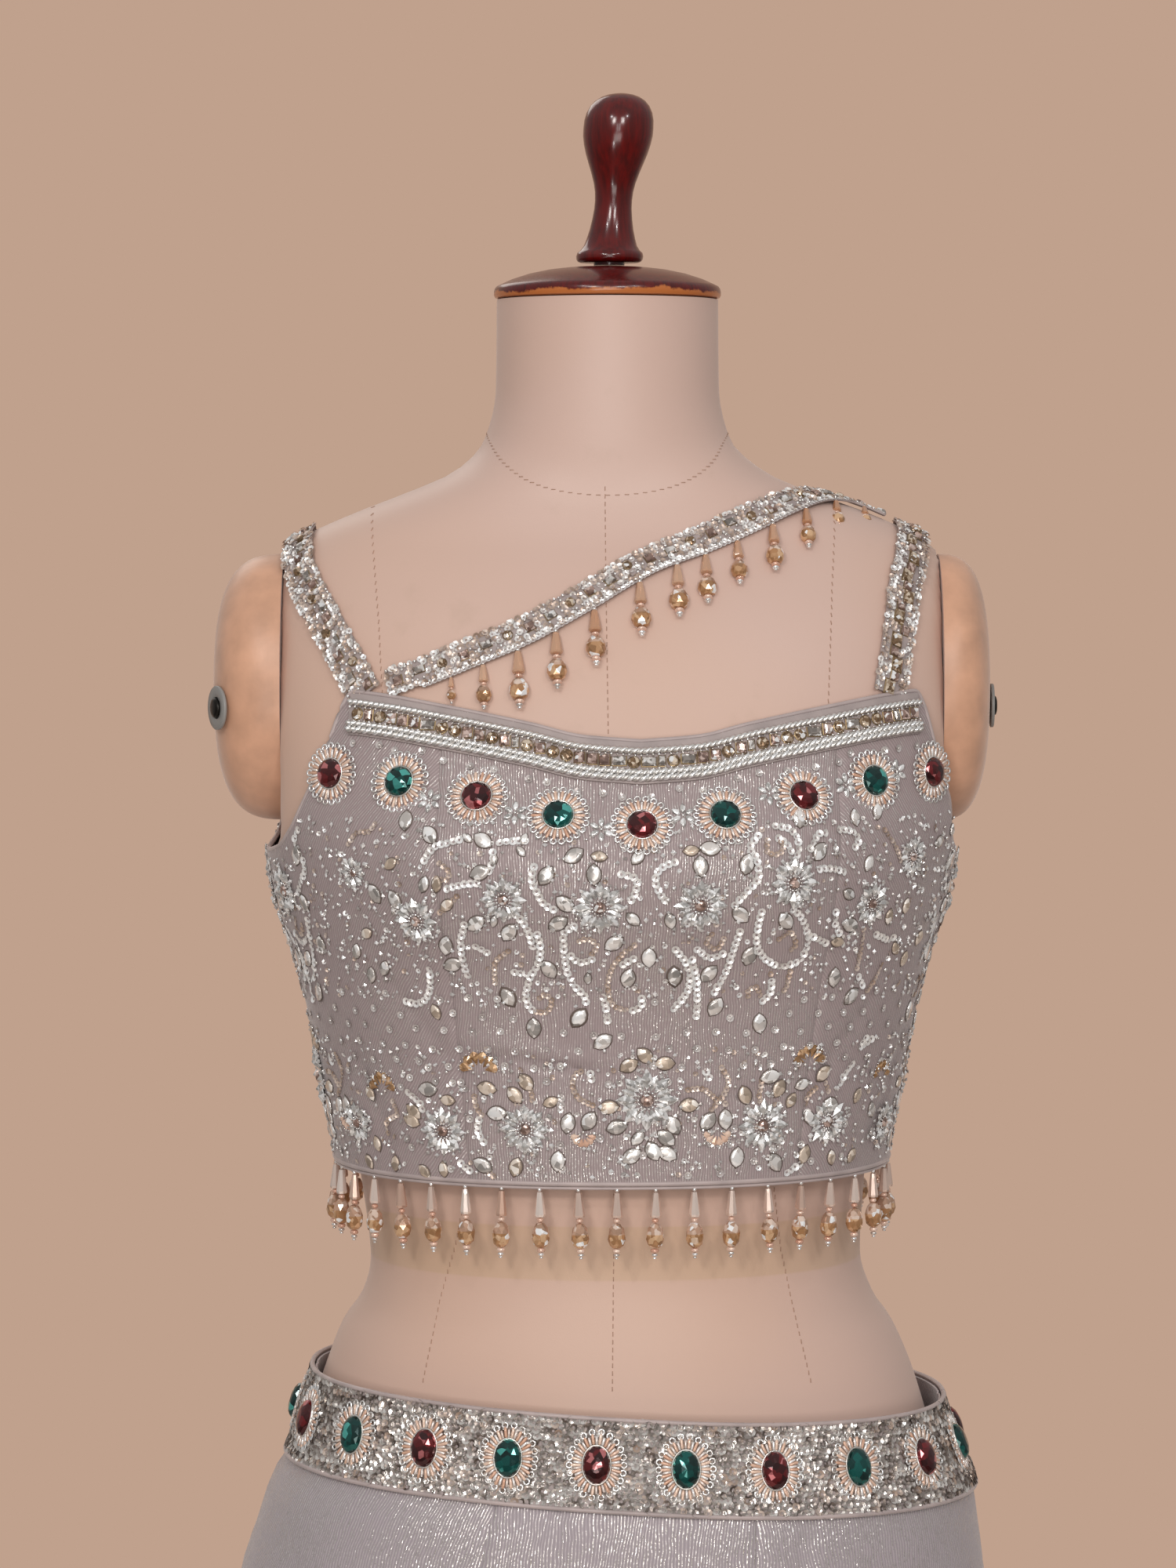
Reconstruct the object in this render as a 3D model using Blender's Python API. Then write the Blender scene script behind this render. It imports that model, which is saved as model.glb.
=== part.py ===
"""Mermaid lehenga on a limbless dress form with its stand, at real size.

Metres, +Z up, the front towards -Y. The floor is z = 0 and the stand's pole is the Z axis. Left and right
are the viewer's, so left is -X. A place round the body is its share of the round: 0 is centre front,
0.25 the right side, 0.5 centre back and negative shares lie on the left.
"""

import math
from collections import namedtuple
from functools import lru_cache

import bmesh
import bpy
import numpy as np
from mathutils import Vector

# Cloth and seams
WALL = 0.0018
SEAM_GAP = 0.0003
SEAT = 0.0006
SKIN_GAP = 0.0009

# Blouse
BLOUSE_HEM = 1.121
BLOUSE_HEM_ROUND = 0.775
BLOUSE_TWIST = 0.0145
GEM_PITCH_SHARE = 0.0418
GEM_TOP_SHARE = 0.0066
ROSETTE_SHARE = 0.0160
GEM_RISE = 0.0042
GEM_DROP = 0.0375
PRINCESS_SEAM = 0.1045
FRONT_CORNER = 0.157
BACK_CORNER = 0.335
LEAST_ROW = 0.004
FRONT_GEM_PAIRS = 4
BACK_GEM_PAIRS = 4
STONE_ROWS = (2, 3)
GEM_ROWS = [GEM_DROP - 0.015, GEM_DROP - 0.006, GEM_DROP + 0.006, GEM_DROP + 0.015]
BLOUSE_DROPS = [0.0, *GEM_ROWS, 0.0655, 0.084, 0.113, 0.155]
BAND_HEIGHT = 0.0195
BAND_WALL = 0.0013
BAND_CROWN = 0.0009
BAND_TURN = 0.0008

# Straps
STRAP_WIDTH = 0.0165
DIAGONAL_WIDTH = 0.0125
STRAP_WALL = 0.002
STRAP_STATIONS = 22
STRAP_SEAT = 0.0009
DIAGONAL_SEAT = 0.0012

# Bead drops
DROP_LENGTH = 0.030
HEM_DROP_LENGTH = 0.034
HEM_DROPS = 42
STRIP_SIDE = 0.002
DROP_ROOT = 0.0018
CHEST_CLEARANCE = 2.7
DIAGONAL_STRIP_START = 0.06
# Where each drop hangs, as a share of the strip's length.
DIAGONAL_ROOTS = [0.108, 0.165, 0.227, 0.297, 0.372, 0.464, 0.536, 0.590, 0.652, 0.724, 0.801, 0.890, 0.960]

# Belt
BELT_TOP = 1.0185
BELT_BOTTOM = 0.9755
BELT_WALL = 0.0022
BELT_GEMS = 21
BELT_FIRST_GEM = -0.01545
BELT_GEMS_TO_OPENING = 5
BELT_ROUND = 0.88
BELT_GEM_HALF = 0.0065
BELT_GEM_HALF_HEIGHT = 0.0085
BELT_ROSETTE_HALF = 0.0150
BELT_ROSETTE_HALF_HEIGHT = 0.0165
BELT_GEM_RISE = 0.0048
BELT_OPENING = 0.0012
BELT_DROP = 0.0068
BELT_ROLL = 0.0075

# Skirt
SKIRT_TOP = 1.0175
SKIRT_HEM = 0.012
SKIRT_ROUND = 0.90
FLARE_START = 0.52
GORE_SEAM = 0.067
FLUTE_COLUMNS = 8
FLUTES_IN_CENTRE_HALF = 1
FLUTES_IN_SIDE = 2
FLUTE_DEPTH = 0.030
SKIRT_ROWS_ABOVE = [SKIRT_TOP, BELT_BOTTOM, 0.965, 0.943, 0.910, 0.855, 0.765, 0.650, FLARE_START]
# How much of the belt's tilt each of these rows takes.
SKIRT_TILT = [1.0, 1.0, 0.9, 0.6, 0.3, 0.0, 0.0, 0.0, 0.0]
SKIRT_ROWS_BELOW = [0.470, 0.415, 0.345, 0.265, 0.180, 0.095, SKIRT_HEM]

# Dress form and stand
NECK_TOP = 1.5325
FORM_BOTTOM = 0.790
FORM_COLUMNS = 34
FORM_EXTRA_ROWS = [1.256, 1.275, 1.294, 1.424]
ARM_PLATE = 0.1565
ARM_HEIGHT = 1.347
ARM_HALF_HEIGHT = 0.064
ARM_FOOT = ARM_HEIGHT - ARM_HALF_HEIGHT - 0.001
ARM_HALF_DEPTH = 0.048
LEFT_REACH = 0.0340
RIGHT_REACH = 0.0245
ARM_COLUMNS = 20
SCREW_HEIGHT = 1.3384
LEFT_SCREW_FORWARD = 0.72
RIGHT_SCREW_FORWARD = 0.15
FINIAL_SHIFT = -0.0012
FINIAL_LEAN = 0.068
POLE_RADIUS = 0.016
BASE_RADIUS = 0.190

MANNEQUIN_SKIN = (0.61, 0.40, 0.30)
ARM_SATIN = (0.58, 0.31, 0.18)
MAHOGANY = (0.045, 0.006, 0.005)
STEEL = (0.42, 0.42, 0.43)
BLACK_IRON = (0.02, 0.02, 0.022)
LUREX_CLOTH = (0.36, 0.29, 0.29)
SEQUIN_CLOTH = (0.50, 0.45, 0.40)
CHAMPAGNE_BEAD = (0.60, 0.34, 0.22)

# z: height. half_width, front, back: reach from the section's centre. shift: the centre's place along X.
# plate: the flat at each side where an arm cap sits. square: 2 is an ellipse, more is fuller.
Section = namedtuple("Section", "z half_width front back shift plate square")
FORM_SECTIONS = [
    Section(FORM_BOTTOM, 0.158, 0.098, 0.106, 0.000, 0.30, 2.20),
    Section(0.875, 0.1824, 0.1175, 0.1319, 0.000, 0.30, 2.25),
    Section(0.922, 0.1735, 0.1130, 0.1265, 0.001, 0.30, 2.25),
    Section(0.970, 0.157, 0.104, 0.110, 0.003, 0.30, 2.20),
    Section(1.0185, 0.142, 0.099, 0.097, 0.0035, 0.30, 2.20),
    Section(1.041, 0.1325, 0.097, 0.091, 0.003, 0.30, 2.20),
    Section(1.053, 0.124, 0.095, 0.088, 0.003, 0.30, 2.20),
    Section(1.073, 0.1185, 0.092, 0.085, 0.002, 0.30, 2.20),
    Section(1.100, 0.1205, 0.094, 0.085, 0.001, 0.30, 2.20),
    Section(1.130, 0.1245, 0.098, 0.088, 0.000, 0.30, 2.20),
    Section(1.165, 0.1330, 0.103, 0.092, 0.000, 0.30, 2.20),
    Section(1.197, 0.1415, 0.109, 0.096, 0.000, 0.30, 2.25),
    Section(1.218, 0.1480, 0.113, 0.098, 0.000, 0.30, 2.25),
    Section(1.245, 0.1575, 0.117, 0.100, 0.000, 0.30, 2.30),
    Section(1.268, 0.1615, 0.118, 0.101, 0.000, 0.1625, 2.35),
    Section(ARM_FOOT, 0.1650, 0.116, 0.101, 0.000, ARM_PLATE, 2.35),
    Section(1.305, 0.1670, 0.111, 0.100, 0.000, ARM_PLATE, 2.35),
    Section(1.345, 0.1690, 0.098, 0.097, 0.000, ARM_PLATE, 2.30),
    Section(1.380, 0.1680, 0.084, 0.091, 0.000, ARM_PLATE, 2.20),
    Section(1.405, 0.1620, 0.069, 0.081, 0.000, ARM_PLATE, 2.05),
    Section(1.418, 0.1500, 0.060, 0.071, 0.000, ARM_PLATE, 2.00),
    Section(1.430, 0.1250, 0.055, 0.064, 0.000, 0.30, 2.00),
    Section(1.4413, 0.0950, 0.052, 0.059, -0.001, 0.30, 2.00),
    Section(1.4504, 0.0745, 0.0515, 0.057, -0.001, 0.30, 2.00),
    Section(1.4658, 0.0590, 0.0520, 0.055, -0.002, 0.30, 2.00),
    Section(1.490, 0.0535, 0.0520, 0.053, -0.002, 0.30, 2.00),
    Section(NECK_TOP, 0.0530, 0.0525, 0.053, -0.002, 0.30, 2.00),
]
SKIRT_SECTIONS = [
    Section(SKIRT_HEM, 0.372, 0.372, 0.372, 0.000, 1.0, 2.00),
    Section(0.095, 0.330, 0.326, 0.328, 0.000, 1.0, 2.00),
    Section(0.180, 0.284, 0.276, 0.279, 0.000, 1.0, 2.00),
    Section(0.265, 0.241, 0.228, 0.231, 0.000, 1.0, 2.00),
    Section(0.345, 0.206, 0.186, 0.189, 0.000, 1.0, 2.00),
    Section(0.415, 0.182, 0.155, 0.158, 0.000, 1.0, 2.05),
    Section(0.470, 0.169, 0.137, 0.139, 0.000, 1.0, 2.10),
    Section(FLARE_START, 0.163, 0.127, 0.129, 0.000, 1.0, 2.15),
    Section(0.600, 0.163, 0.121, 0.124, 0.000, 1.0, 2.20),
    Section(0.700, 0.173, 0.119, 0.126, 0.000, 1.0, 2.20),
    Section(0.780, 0.182, 0.119, 0.130, 0.000, 1.0, 2.25),
    Section(0.840, 0.185, 0.119, 0.133, 0.000, 1.0, 2.25),
    Section(0.880, 0.184, 0.119, 0.134, 0.000, 1.0, 2.25),
    Section(0.9226, 0.1782, 0.119, 0.131, 0.001, 1.0, 2.25),
    Section(0.943, 0.1732, 0.118, 0.127, 0.003, 1.0, 2.25),
    Section(0.965, 0.1677, 0.116, 0.122, 0.005, 1.0, 2.20),
    Section(BELT_BOTTOM, 0.1614, 0.112, 0.116, 0.006, 1.0, 2.20),
    Section(BELT_TOP, 0.1474, 0.1035, 0.104, 0.006, 1.0, 2.20),
]

# How far the blouse's inside stands off the form at each height.
Ease = namedtuple("Ease", "z ease")
BLOUSE_EASE = [
    Ease(BLOUSE_HEM, 0.0095),
    Ease(1.1524, 0.0079),
    Ease(1.1765, 0.0056),
    Ease(1.197, 0.0044),
    Ease(1.218, 0.0030),
    Ease(1.245, 0.0020),
    Ease(1.268, 0.0025),
    Ease(1.284, 0.0024),
    Ease(1.305, SKIN_GAP),
    Ease(1.360, SKIN_GAP),
]

# share: place round the blouse. neckline: height of the line that the gem row follows. cut: the top edge.
TopEdge = namedtuple("TopEdge", "share neckline cut")
BLOUSE_TOP = [
    TopEdge(0.0000, 1.3254, 1.3254),
    TopEdge(0.0300, 1.3275, 1.3275),
    TopEdge(0.0570, 1.3330, 1.3330),
    TopEdge(0.1080, 1.3415, 1.3415),
    TopEdge(0.1375, 1.3455, 1.3455),
    TopEdge(FRONT_CORNER, 1.3470, 1.3470),
    TopEdge(0.1710, 1.3470, 1.3215),
    TopEdge(0.1832, 1.3470, 1.3030),
    TopEdge(0.2000, 1.3470, 1.2830),
    TopEdge(0.2180, 1.3470, 1.2740),
    TopEdge(0.2500, 1.3470, 1.2705),
    TopEdge(0.2780, 1.3470, 1.2740),
    TopEdge(0.2980, 1.3470, 1.2850),
    TopEdge(0.3110, 1.3470, 1.3000),
    TopEdge(0.3220, 1.3470, 1.3215),
    TopEdge(BACK_CORNER, 1.3470, 1.3470),
    TopEdge(0.4200, 1.3430, 1.3430),
    TopEdge(0.5000, 1.3410, 1.3410),
]
FRONT_ARMHOLE = [0.2000, 0.2170, 0.2330, 0.2500]
BACK_ARMHOLE = [0.2500, 0.2660, 0.2820, 0.2980, 0.3110, 0.3220, BACK_CORNER]

# Centre line of each strap: x and z on the form, face -1 front, 0 on the shoulder's ridge, 1 back.
StrapPoint = namedtuple("StrapPoint", "x z face")
LEFT_STRAP = [
    StrapPoint(-0.1172, 1.3515, -1),
    StrapPoint(-0.1258, 1.3665, -1),
    StrapPoint(-0.1362, 1.3840, -1),
    StrapPoint(-0.1450, 1.3990, -1),
    StrapPoint(-0.1482, 1.4185, 0),
    StrapPoint(-0.1450, 1.4010, 1),
    StrapPoint(-0.1350, 1.3800, 1),
    StrapPoint(-0.1195, 1.3520, 1),
]
RIGHT_STRAP = [
    StrapPoint(0.1293, 1.3515, -1),
    StrapPoint(0.1318, 1.3650, -1),
    StrapPoint(0.1345, 1.3800, -1),
    StrapPoint(0.1380, 1.3990, -1),
    StrapPoint(0.1418, 1.4205, 0),
    StrapPoint(0.1398, 1.4030, 1),
    StrapPoint(0.1345, 1.3800, 1),
    StrapPoint(0.1268, 1.3520, 1),
]
DIAGONAL_STRAP = [
    StrapPoint(-0.1037, 1.3512, -1),
    StrapPoint(-0.0860, 1.3575, -1),
    StrapPoint(-0.0640, 1.3665, -1),
    StrapPoint(-0.0400, 1.3765, -1),
    StrapPoint(-0.0139, 1.3904, -1),
    StrapPoint(0.0125, 1.4058, -1),
    StrapPoint(0.0400, 1.4170, -1),
    StrapPoint(0.0610, 1.4263, -1),
    StrapPoint(0.0810, 1.4343, -1),
    StrapPoint(0.1010, 1.4378, -1),
    StrapPoint(0.1130, 1.4345, 0),
    StrapPoint(0.1250, 1.4295, 0),
    StrapPoint(0.1302, 1.4272, 0),
]

# down: share of the drop's length from its root. half: half its width there.
DropSection = namedtuple("DropSection", "down half")
DROP_SECTIONS = [
    DropSection(0.45, 0.0022),
    DropSection(0.80, 0.0038),
]

# Turned pieces, from the axis at the bottom round to the axis at the top.
Turned = namedtuple("Turned", "radius z")
NECK_CAP = [
    Turned(0.0000, 1.5330),
    Turned(0.0530, 1.5330),
    Turned(0.0544, 1.5345),
    Turned(0.0544, 1.5372),
    Turned(0.0520, 1.5395),
    Turned(0.0380, 1.5448),
    Turned(0.0200, 1.5478),
    Turned(0.0000, 1.5486),
]
FINIAL = [
    Turned(0.0000, 1.5490),
    Turned(0.0074, 1.5490),
    Turned(0.0074, 1.5502),
    Turned(0.0152, 1.5506),
    Turned(0.0160, 1.5525),
    Turned(0.0158, 1.5548),
    Turned(0.0122, 1.5600),
    Turned(0.0095, 1.5710),
    Turned(0.0089, 1.5799),
    Turned(0.0100, 1.5880),
    Turned(0.0132, 1.5975),
    Turned(0.0160, 1.6065),
    Turned(0.0168, 1.6140),
    Turned(0.0158, 1.6215),
    Turned(0.0120, 1.6273),
    Turned(0.0062, 1.6302),
    Turned(0.0000, 1.6309),
]
ARM_SCREW = [
    Turned(0.0000, 0.0000),
    Turned(0.0105, 0.0000),
    Turned(0.0105, 0.0014),
    Turned(0.0048, 0.0018),
    Turned(0.0044, 0.0029),
    Turned(0.0000, 0.0033),
]
BASE = [
    Turned(0.0000, 0.0000),
    Turned(BASE_RADIUS - 0.004, 0.0000),
    Turned(BASE_RADIUS, 0.0040),
    Turned(BASE_RADIUS, 0.0130),
    Turned(BASE_RADIUS - 0.006, 0.0180),
    Turned(0.0420, 0.0240),
    Turned(0.0300, 0.0300),
    Turned(0.0280, 0.0480),
    Turned(0.0000, 0.0480),
]

# Bust cups of the form: a pair of low mounds on the front.
CUP_X = 0.073
CUP_Z = 1.262
CUP_SPREAD_X = 0.043
CUP_SPREAD_Z = 0.040
CUP_RISE = 0.013

RING_SAMPLES = 181
NUDGE = 0.0008


class Profile:
    """A table of rows that can be read at any height, by a cubic that never overshoots its rows."""

    def __init__(self, rows):
        self.kind = type(rows[0])
        self.at_rows = np.array([row[0] for row in rows])
        self.values = np.array([row[1:] for row in rows])
        steps = np.diff(self.at_rows)[:, None]
        rises = np.diff(self.values, axis=0) / steps
        self.slopes = np.zeros_like(self.values)
        self.slopes[0] = rises[0]
        self.slopes[-1] = rises[-1]
        for i in range(1, len(rows) - 1):
            near = 2 * steps[i] + steps[i - 1]
            far = steps[i] + 2 * steps[i - 1]
            for k in range(self.values.shape[1]):
                if rises[i - 1, k] * rises[i, k] > 0:
                    blend = near / rises[i - 1, k] + far / rises[i, k]
                    self.slopes[i, k] = (near + far)[0] / blend[0]

    def at(self, place):
        place = min(max(place, self.at_rows[0]), self.at_rows[-1])
        i = int(np.searchsorted(self.at_rows, place, side="right")) - 1
        i = min(max(i, 0), len(self.at_rows) - 2)
        step = self.at_rows[i + 1] - self.at_rows[i]
        u = (place - self.at_rows[i]) / step
        start = (1 + 2 * u) * (1 - u) ** 2 * self.values[i] + u * (1 - u) ** 2 * step * self.slopes[i]
        end = u * u * (3 - 2 * u) * self.values[i + 1] + u * u * (u - 1) * step * self.slopes[i + 1]
        return self.kind(place, *(start + end))


FORM = Profile(FORM_SECTIONS)
BODICE = Profile(FORM_SECTIONS)
SKIRT = Profile(SKIRT_SECTIONS)
EASE = Profile(BLOUSE_EASE)
TOP = Profile(BLOUSE_TOP)


def cup_fullness(x, z, bridged=False):
    """How far the bust stands in front of the plain section at x, z. Cloth bridges the hollow between."""
    away = np.abs(x) - CUP_X
    away = np.maximum(away, 0) if bridged else away
    across = np.exp(-((away / CUP_SPREAD_X) ** 2))
    return CUP_RISE * across * math.exp(-(((z - CUP_Z) / CUP_SPREAD_Z) ** 2))


@lru_cache(maxsize=None)
def half_ring(profile, z, grow):
    """Half a section, centre front to centre back: x, y and the share of the whole round."""
    row = profile.at(z)
    angle = np.linspace(0, math.pi, RING_SAMPLES)
    power = 2 / row.square
    x = (row.half_width + grow) * np.abs(np.sin(angle)) ** power
    reach = np.where(angle < math.pi / 2, row.front + grow, row.back + grow)
    y = -np.sign(np.cos(angle)) * reach * np.abs(np.cos(angle)) ** power
    if profile is not SKIRT:
        y = y - cup_fullness(x, z, profile is BODICE) * np.clip(np.cos(angle), 0, None) ** 0.5
    x = np.minimum(x, row.plate + grow)
    share = np.concatenate([[0], np.cumsum(np.hypot(np.diff(x), np.diff(y)))])
    return x, y, share / (2 * share[-1]), row.shift


def ring_point(profile, share, z, grow=0.0):
    """The section's point at this share of the round, with its reaches grown."""
    x, y, shares, shift = half_ring(profile, round(z, 6), round(grow, 6))
    share = (share + 0.5) % 1 - 0.5
    side = math.copysign(1, share)
    place = abs(share)
    return Vector((side * float(np.interp(place, shares, x)) + shift, float(np.interp(place, shares, y)), z))


def form_surface(share, z):
    return ring_point(FORM, share, z)


def blouse_surface(share, z):
    """Inside of the blouse."""
    return ring_point(BODICE, share + BLOUSE_TWIST, z, EASE.at(z).ease)


def flute_phase(share):
    """Turns of the flutes from centre front, with a crest at each seam, the sides and the back."""
    place = abs((share + 0.5) % 1 - 0.5)
    place = min(place, 0.5 - place)
    if place < GORE_SEAM:
        return FLUTES_IN_CENTRE_HALF * place / GORE_SEAM
    return FLUTES_IN_CENTRE_HALF + FLUTES_IN_SIDE * (place - GORE_SEAM) / (0.25 - GORE_SEAM)


def flute_rise(share, z):
    """How far the flutes stand out from the plain skirt."""
    if z >= FLARE_START:
        return 0.0
    down = (FLARE_START - z) / (FLARE_START - SKIRT_HEM)
    depth = FLUTE_DEPTH * down ** 1.6
    uneven = 1 + 0.14 * math.cos(4 * math.pi * share) + 0.10 * math.cos(12 * math.pi * share)
    return depth * uneven * math.cos(2 * math.pi * flute_phase(share))


def skirt_surface(share, z):
    """Inside of the skirt."""
    point = ring_point(SKIRT, share, z)
    before = ring_point(SKIRT, share - NUDGE, z)
    after = ring_point(SKIRT, share + NUDGE, z)
    out = (after - before).cross(Vector((0, 0, 1))).normalized()
    return point + out * flute_rise(share, z)


def moved_out(surface, share, z, out):
    """The surface's point, moved out along its normal."""
    round_way = surface(share + NUDGE, z) - surface(share - NUDGE, z)
    up_way = surface(share, z + NUDGE) - surface(share, z - NUDGE)
    normal = round_way.cross(up_way).normalized()
    return surface(share, z) + normal * out


def form_value(point):
    """Below 0 inside the dress form, above 0 outside it."""
    row = FORM.at(point.z)
    x = abs(point.x - row.shift) / row.half_width
    y = point.y
    reach = row.back
    if y < 0:
        reach = row.front
        y += float(cup_fullness(point.x, point.z))
    return x**row.square + abs(y / reach) ** row.square - 1


def form_slope(point):
    """Direction and steepness in which form_value grows."""
    axes = (Vector((NUDGE, 0, 0)), Vector((0, NUDGE, 0)), Vector((0, 0, NUDGE)))
    return Vector([(form_value(point + axis) - form_value(point - axis)) / (2 * NUDGE) for axis in axes])


def seated(point, distance):
    """The point moved along the form's normal to this distance from it, and that normal."""
    for _ in range(6):
        slope = form_slope(point)
        steep = max(slope.length, 1e-6)
        point = point + slope / steep * (distance - form_value(point) / steep)
    return point, form_slope(point).normalized()


def material(name, colour, roughness, metallic=0.0):
    made = bpy.data.materials.new(name)
    made.use_nodes = True
    shader = made.node_tree.nodes["Principled BSDF"]
    shader.inputs["Base Color"].default_value = (*colour, 1)
    shader.inputs["Roughness"].default_value = roughness
    shader.inputs["Metallic"].default_value = metallic
    return made


def finished(name, mesh, made_of):
    """A named object from a bmesh of one closed body, its faces turned outwards and shaded smooth."""
    bmesh.ops.recalc_face_normals(mesh, faces=mesh.faces)
    data = bpy.data.meshes.new(name)
    mesh.to_mesh(data)
    mesh.free()
    data.materials.append(made_of)
    data.shade_smooth()
    data.set_sharp_from_angle(angle=math.radians(40))
    piece = bpy.data.objects.new(name, data)
    bpy.context.scene.collection.objects.link(piece)
    return piece


def skin(mesh, rows, closed):
    """Quads between rows of vertices. A row may have twice the columns of the one above it."""
    for upper, lower in zip(rows, rows[1:]):
        cells = len(upper) if closed else len(upper) - 1
        doubled = len(lower) > len(upper)
        for c in range(cells):
            right = (c + 1) % len(upper)
            if doubled:
                mesh.faces.new((upper[c], lower[2 * c], lower[2 * c + 1], lower[2 * c + 2], upper[right]))
            else:
                mesh.faces.new((upper[c], lower[c], lower[right], upper[right]))


def strip_between(mesh, first, second, closed):
    """Quads from one row of vertices to another with as many."""
    cells = len(first) if closed else len(first) - 1
    for c in range(cells):
        right = (c + 1) % len(first)
        mesh.faces.new((first[c], second[c], second[right], first[right]))


def cloth_wall(name, outer, inner, made_of, plain_rows=()):
    """A wall between an outer and an inner grid of points, both from the top row down. The inner grid
    lacks the outer rows numbered in plain_rows."""
    mesh = bmesh.new()
    outside = [[mesh.verts.new(point) for point in row] for row in outer]
    inside = [[mesh.verts.new(point) for point in row] for row in inner]
    skin(mesh, outside, False)
    skin(mesh, inside, False)
    strip_between(mesh, outside[0], inside[0], False)
    strip_between(mesh, outside[-1], inside[-1], False)
    kept = [i for i in range(len(outside)) if i not in plain_rows]
    for end in (0, -1):
        for k, (first, last) in enumerate(zip(kept, kept[1:])):
            outward = [row[end] for row in outside[first:last + 1]]
            mesh.faces.new([*outward, inside[k + 1][end], inside[k][end]])
    return finished(name, mesh, made_of)


def trimmed(shares, round_length):
    """Shares of a panel's columns, its two ends drawn in by half a seam gap."""
    half_gap = SEAM_GAP / 2 / round_length
    return [shares[0] + half_gap, *shares[1:-1], shares[-1] - half_gap]


def turned(name, rows, steps, made_of):
    """A solid of revolution about Z, from a profile that starts and ends on the axis."""
    mesh = bmesh.new()
    verts = [mesh.verts.new((row.radius, 0, row.z)) for row in rows]
    edges = [mesh.edges.new(pair) for pair in zip(verts, verts[1:])]
    bmesh.ops.spin(mesh, geom=verts + edges, axis=(0, 0, 1), cent=(0, 0, 0), steps=steps, angle=2 * math.pi)
    bmesh.ops.remove_doubles(mesh, verts=mesh.verts, dist=1e-6)
    return finished(name, mesh, made_of)


def make_torso(made_of):
    """Padded trunk and neck of the form, one closed body."""
    heights = sorted([row.z for row in FORM_SECTIONS] + FORM_EXTRA_ROWS, reverse=True)
    mesh = bmesh.new()
    rows = []
    for z in heights:
        points = [form_surface(c / FORM_COLUMNS, z) for c in range(FORM_COLUMNS)]
        rows.append([mesh.verts.new(point) for point in points])
    skin(mesh, rows, True)
    mesh.faces.new(rows[0])
    mesh.faces.new(reversed(rows[-1]))
    return finished("form_torso", mesh, made_of)


def arm_point(side, reach, turn, lift):
    """A point of an arm cap: turn goes round its seam, lift from the seam (0) to its outermost point (1)."""
    bulge = math.sin(lift * math.pi / 2) ** (2 / 3)
    waist = math.cos(lift * math.pi / 2) ** (2 / 3)
    y = ARM_HALF_DEPTH * waist * math.cos(turn)
    z = ARM_HEIGHT + ARM_HALF_HEIGHT * waist * math.sin(turn)
    return Vector((side * (ARM_PLATE + SEAM_GAP + reach * bulge), y, z))


def make_arm_cap(name, side, reach, made_of):
    """Satin covered stub that closes the form's arm opening."""
    mesh = bmesh.new()
    rows = []
    for lift in (0.0, 0.10, 0.28, 0.50, 0.74):
        turns = [2 * math.pi * c / ARM_COLUMNS for c in range(ARM_COLUMNS)]
        rows.append([mesh.verts.new(arm_point(side, reach, turn, lift)) for turn in turns])
    tip = mesh.verts.new(arm_point(side, reach, 0, 1.0))
    skin(mesh, rows, True)
    for c in range(ARM_COLUMNS):
        mesh.faces.new((rows[-1][c], rows[-1][(c + 1) % ARM_COLUMNS], tip))
    mesh.faces.new(rows[0])
    return finished(name, mesh, made_of)


def make_arm_screw(name, side, reach, forward, made_of):
    """Washer and screw that hold an arm cap, seated on its outermost stretch, forward of its middle by
    this share of its half depth."""
    piece = turned(name, ARM_SCREW, 12, made_of)
    fullness = (1 - forward**3) ** (1 / 3)
    out = Vector((side * fullness**2 / reach, -(forward**2) / ARM_HALF_DEPTH, 0)).normalized()
    across = side * (ARM_PLATE + SEAM_GAP + reach * fullness)
    foot = Vector((across, -ARM_HALF_DEPTH * forward, SCREW_HEIGHT))
    piece.location = foot + out * SEAT
    piece.rotation_euler = out.to_track_quat("Z", "Y").to_euler()
    return piece


def gem_columns(middle):
    """The four columns that carry one gem: the rosette's edges and the stone's."""
    return [middle - ROSETTE_SHARE, middle - GEM_TOP_SHARE, middle + GEM_TOP_SHARE, middle + ROSETTE_SHARE]


def blouse_height(share, drop, rank=0):
    """Height of the row that lies this far under the neckline, or under the rows above it at an armhole."""
    edge = TOP.at(abs((share + 0.5) % 1 - 0.5))
    return min(edge.neckline - drop, edge.cut - rank * LEAST_ROW)


def panel_grid(shares, gems, out):
    """Rows of points of a blouse panel, moved out, with the stone of each gem given raised."""
    grid = []
    for rank, drop in enumerate(BLOUSE_DROPS):
        line = []
        for share in shares:
            on_gem = rank in STONE_ROWS and any(abs(share - gem) < GEM_TOP_SHARE * 1.01 for gem in gems)
            height = blouse_height(share, drop, rank)
            line.append(moved_out(blouse_surface, share, height, out + GEM_RISE * on_gem))
        grid.append(line)
    grid.append([moved_out(blouse_surface, share, BLOUSE_HEM, out) for share in shares])
    return grid


def make_blouse_panel(name, shares, gems, made_of):
    edges = trimmed(shares, BLOUSE_HEM_ROUND)
    inner = panel_grid(edges, [], 0.0)
    inner = [row for i, row in enumerate(inner) if i not in STONE_ROWS]
    return cloth_wall(name, panel_grid(edges, gems, WALL), inner, made_of, STONE_ROWS)


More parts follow.
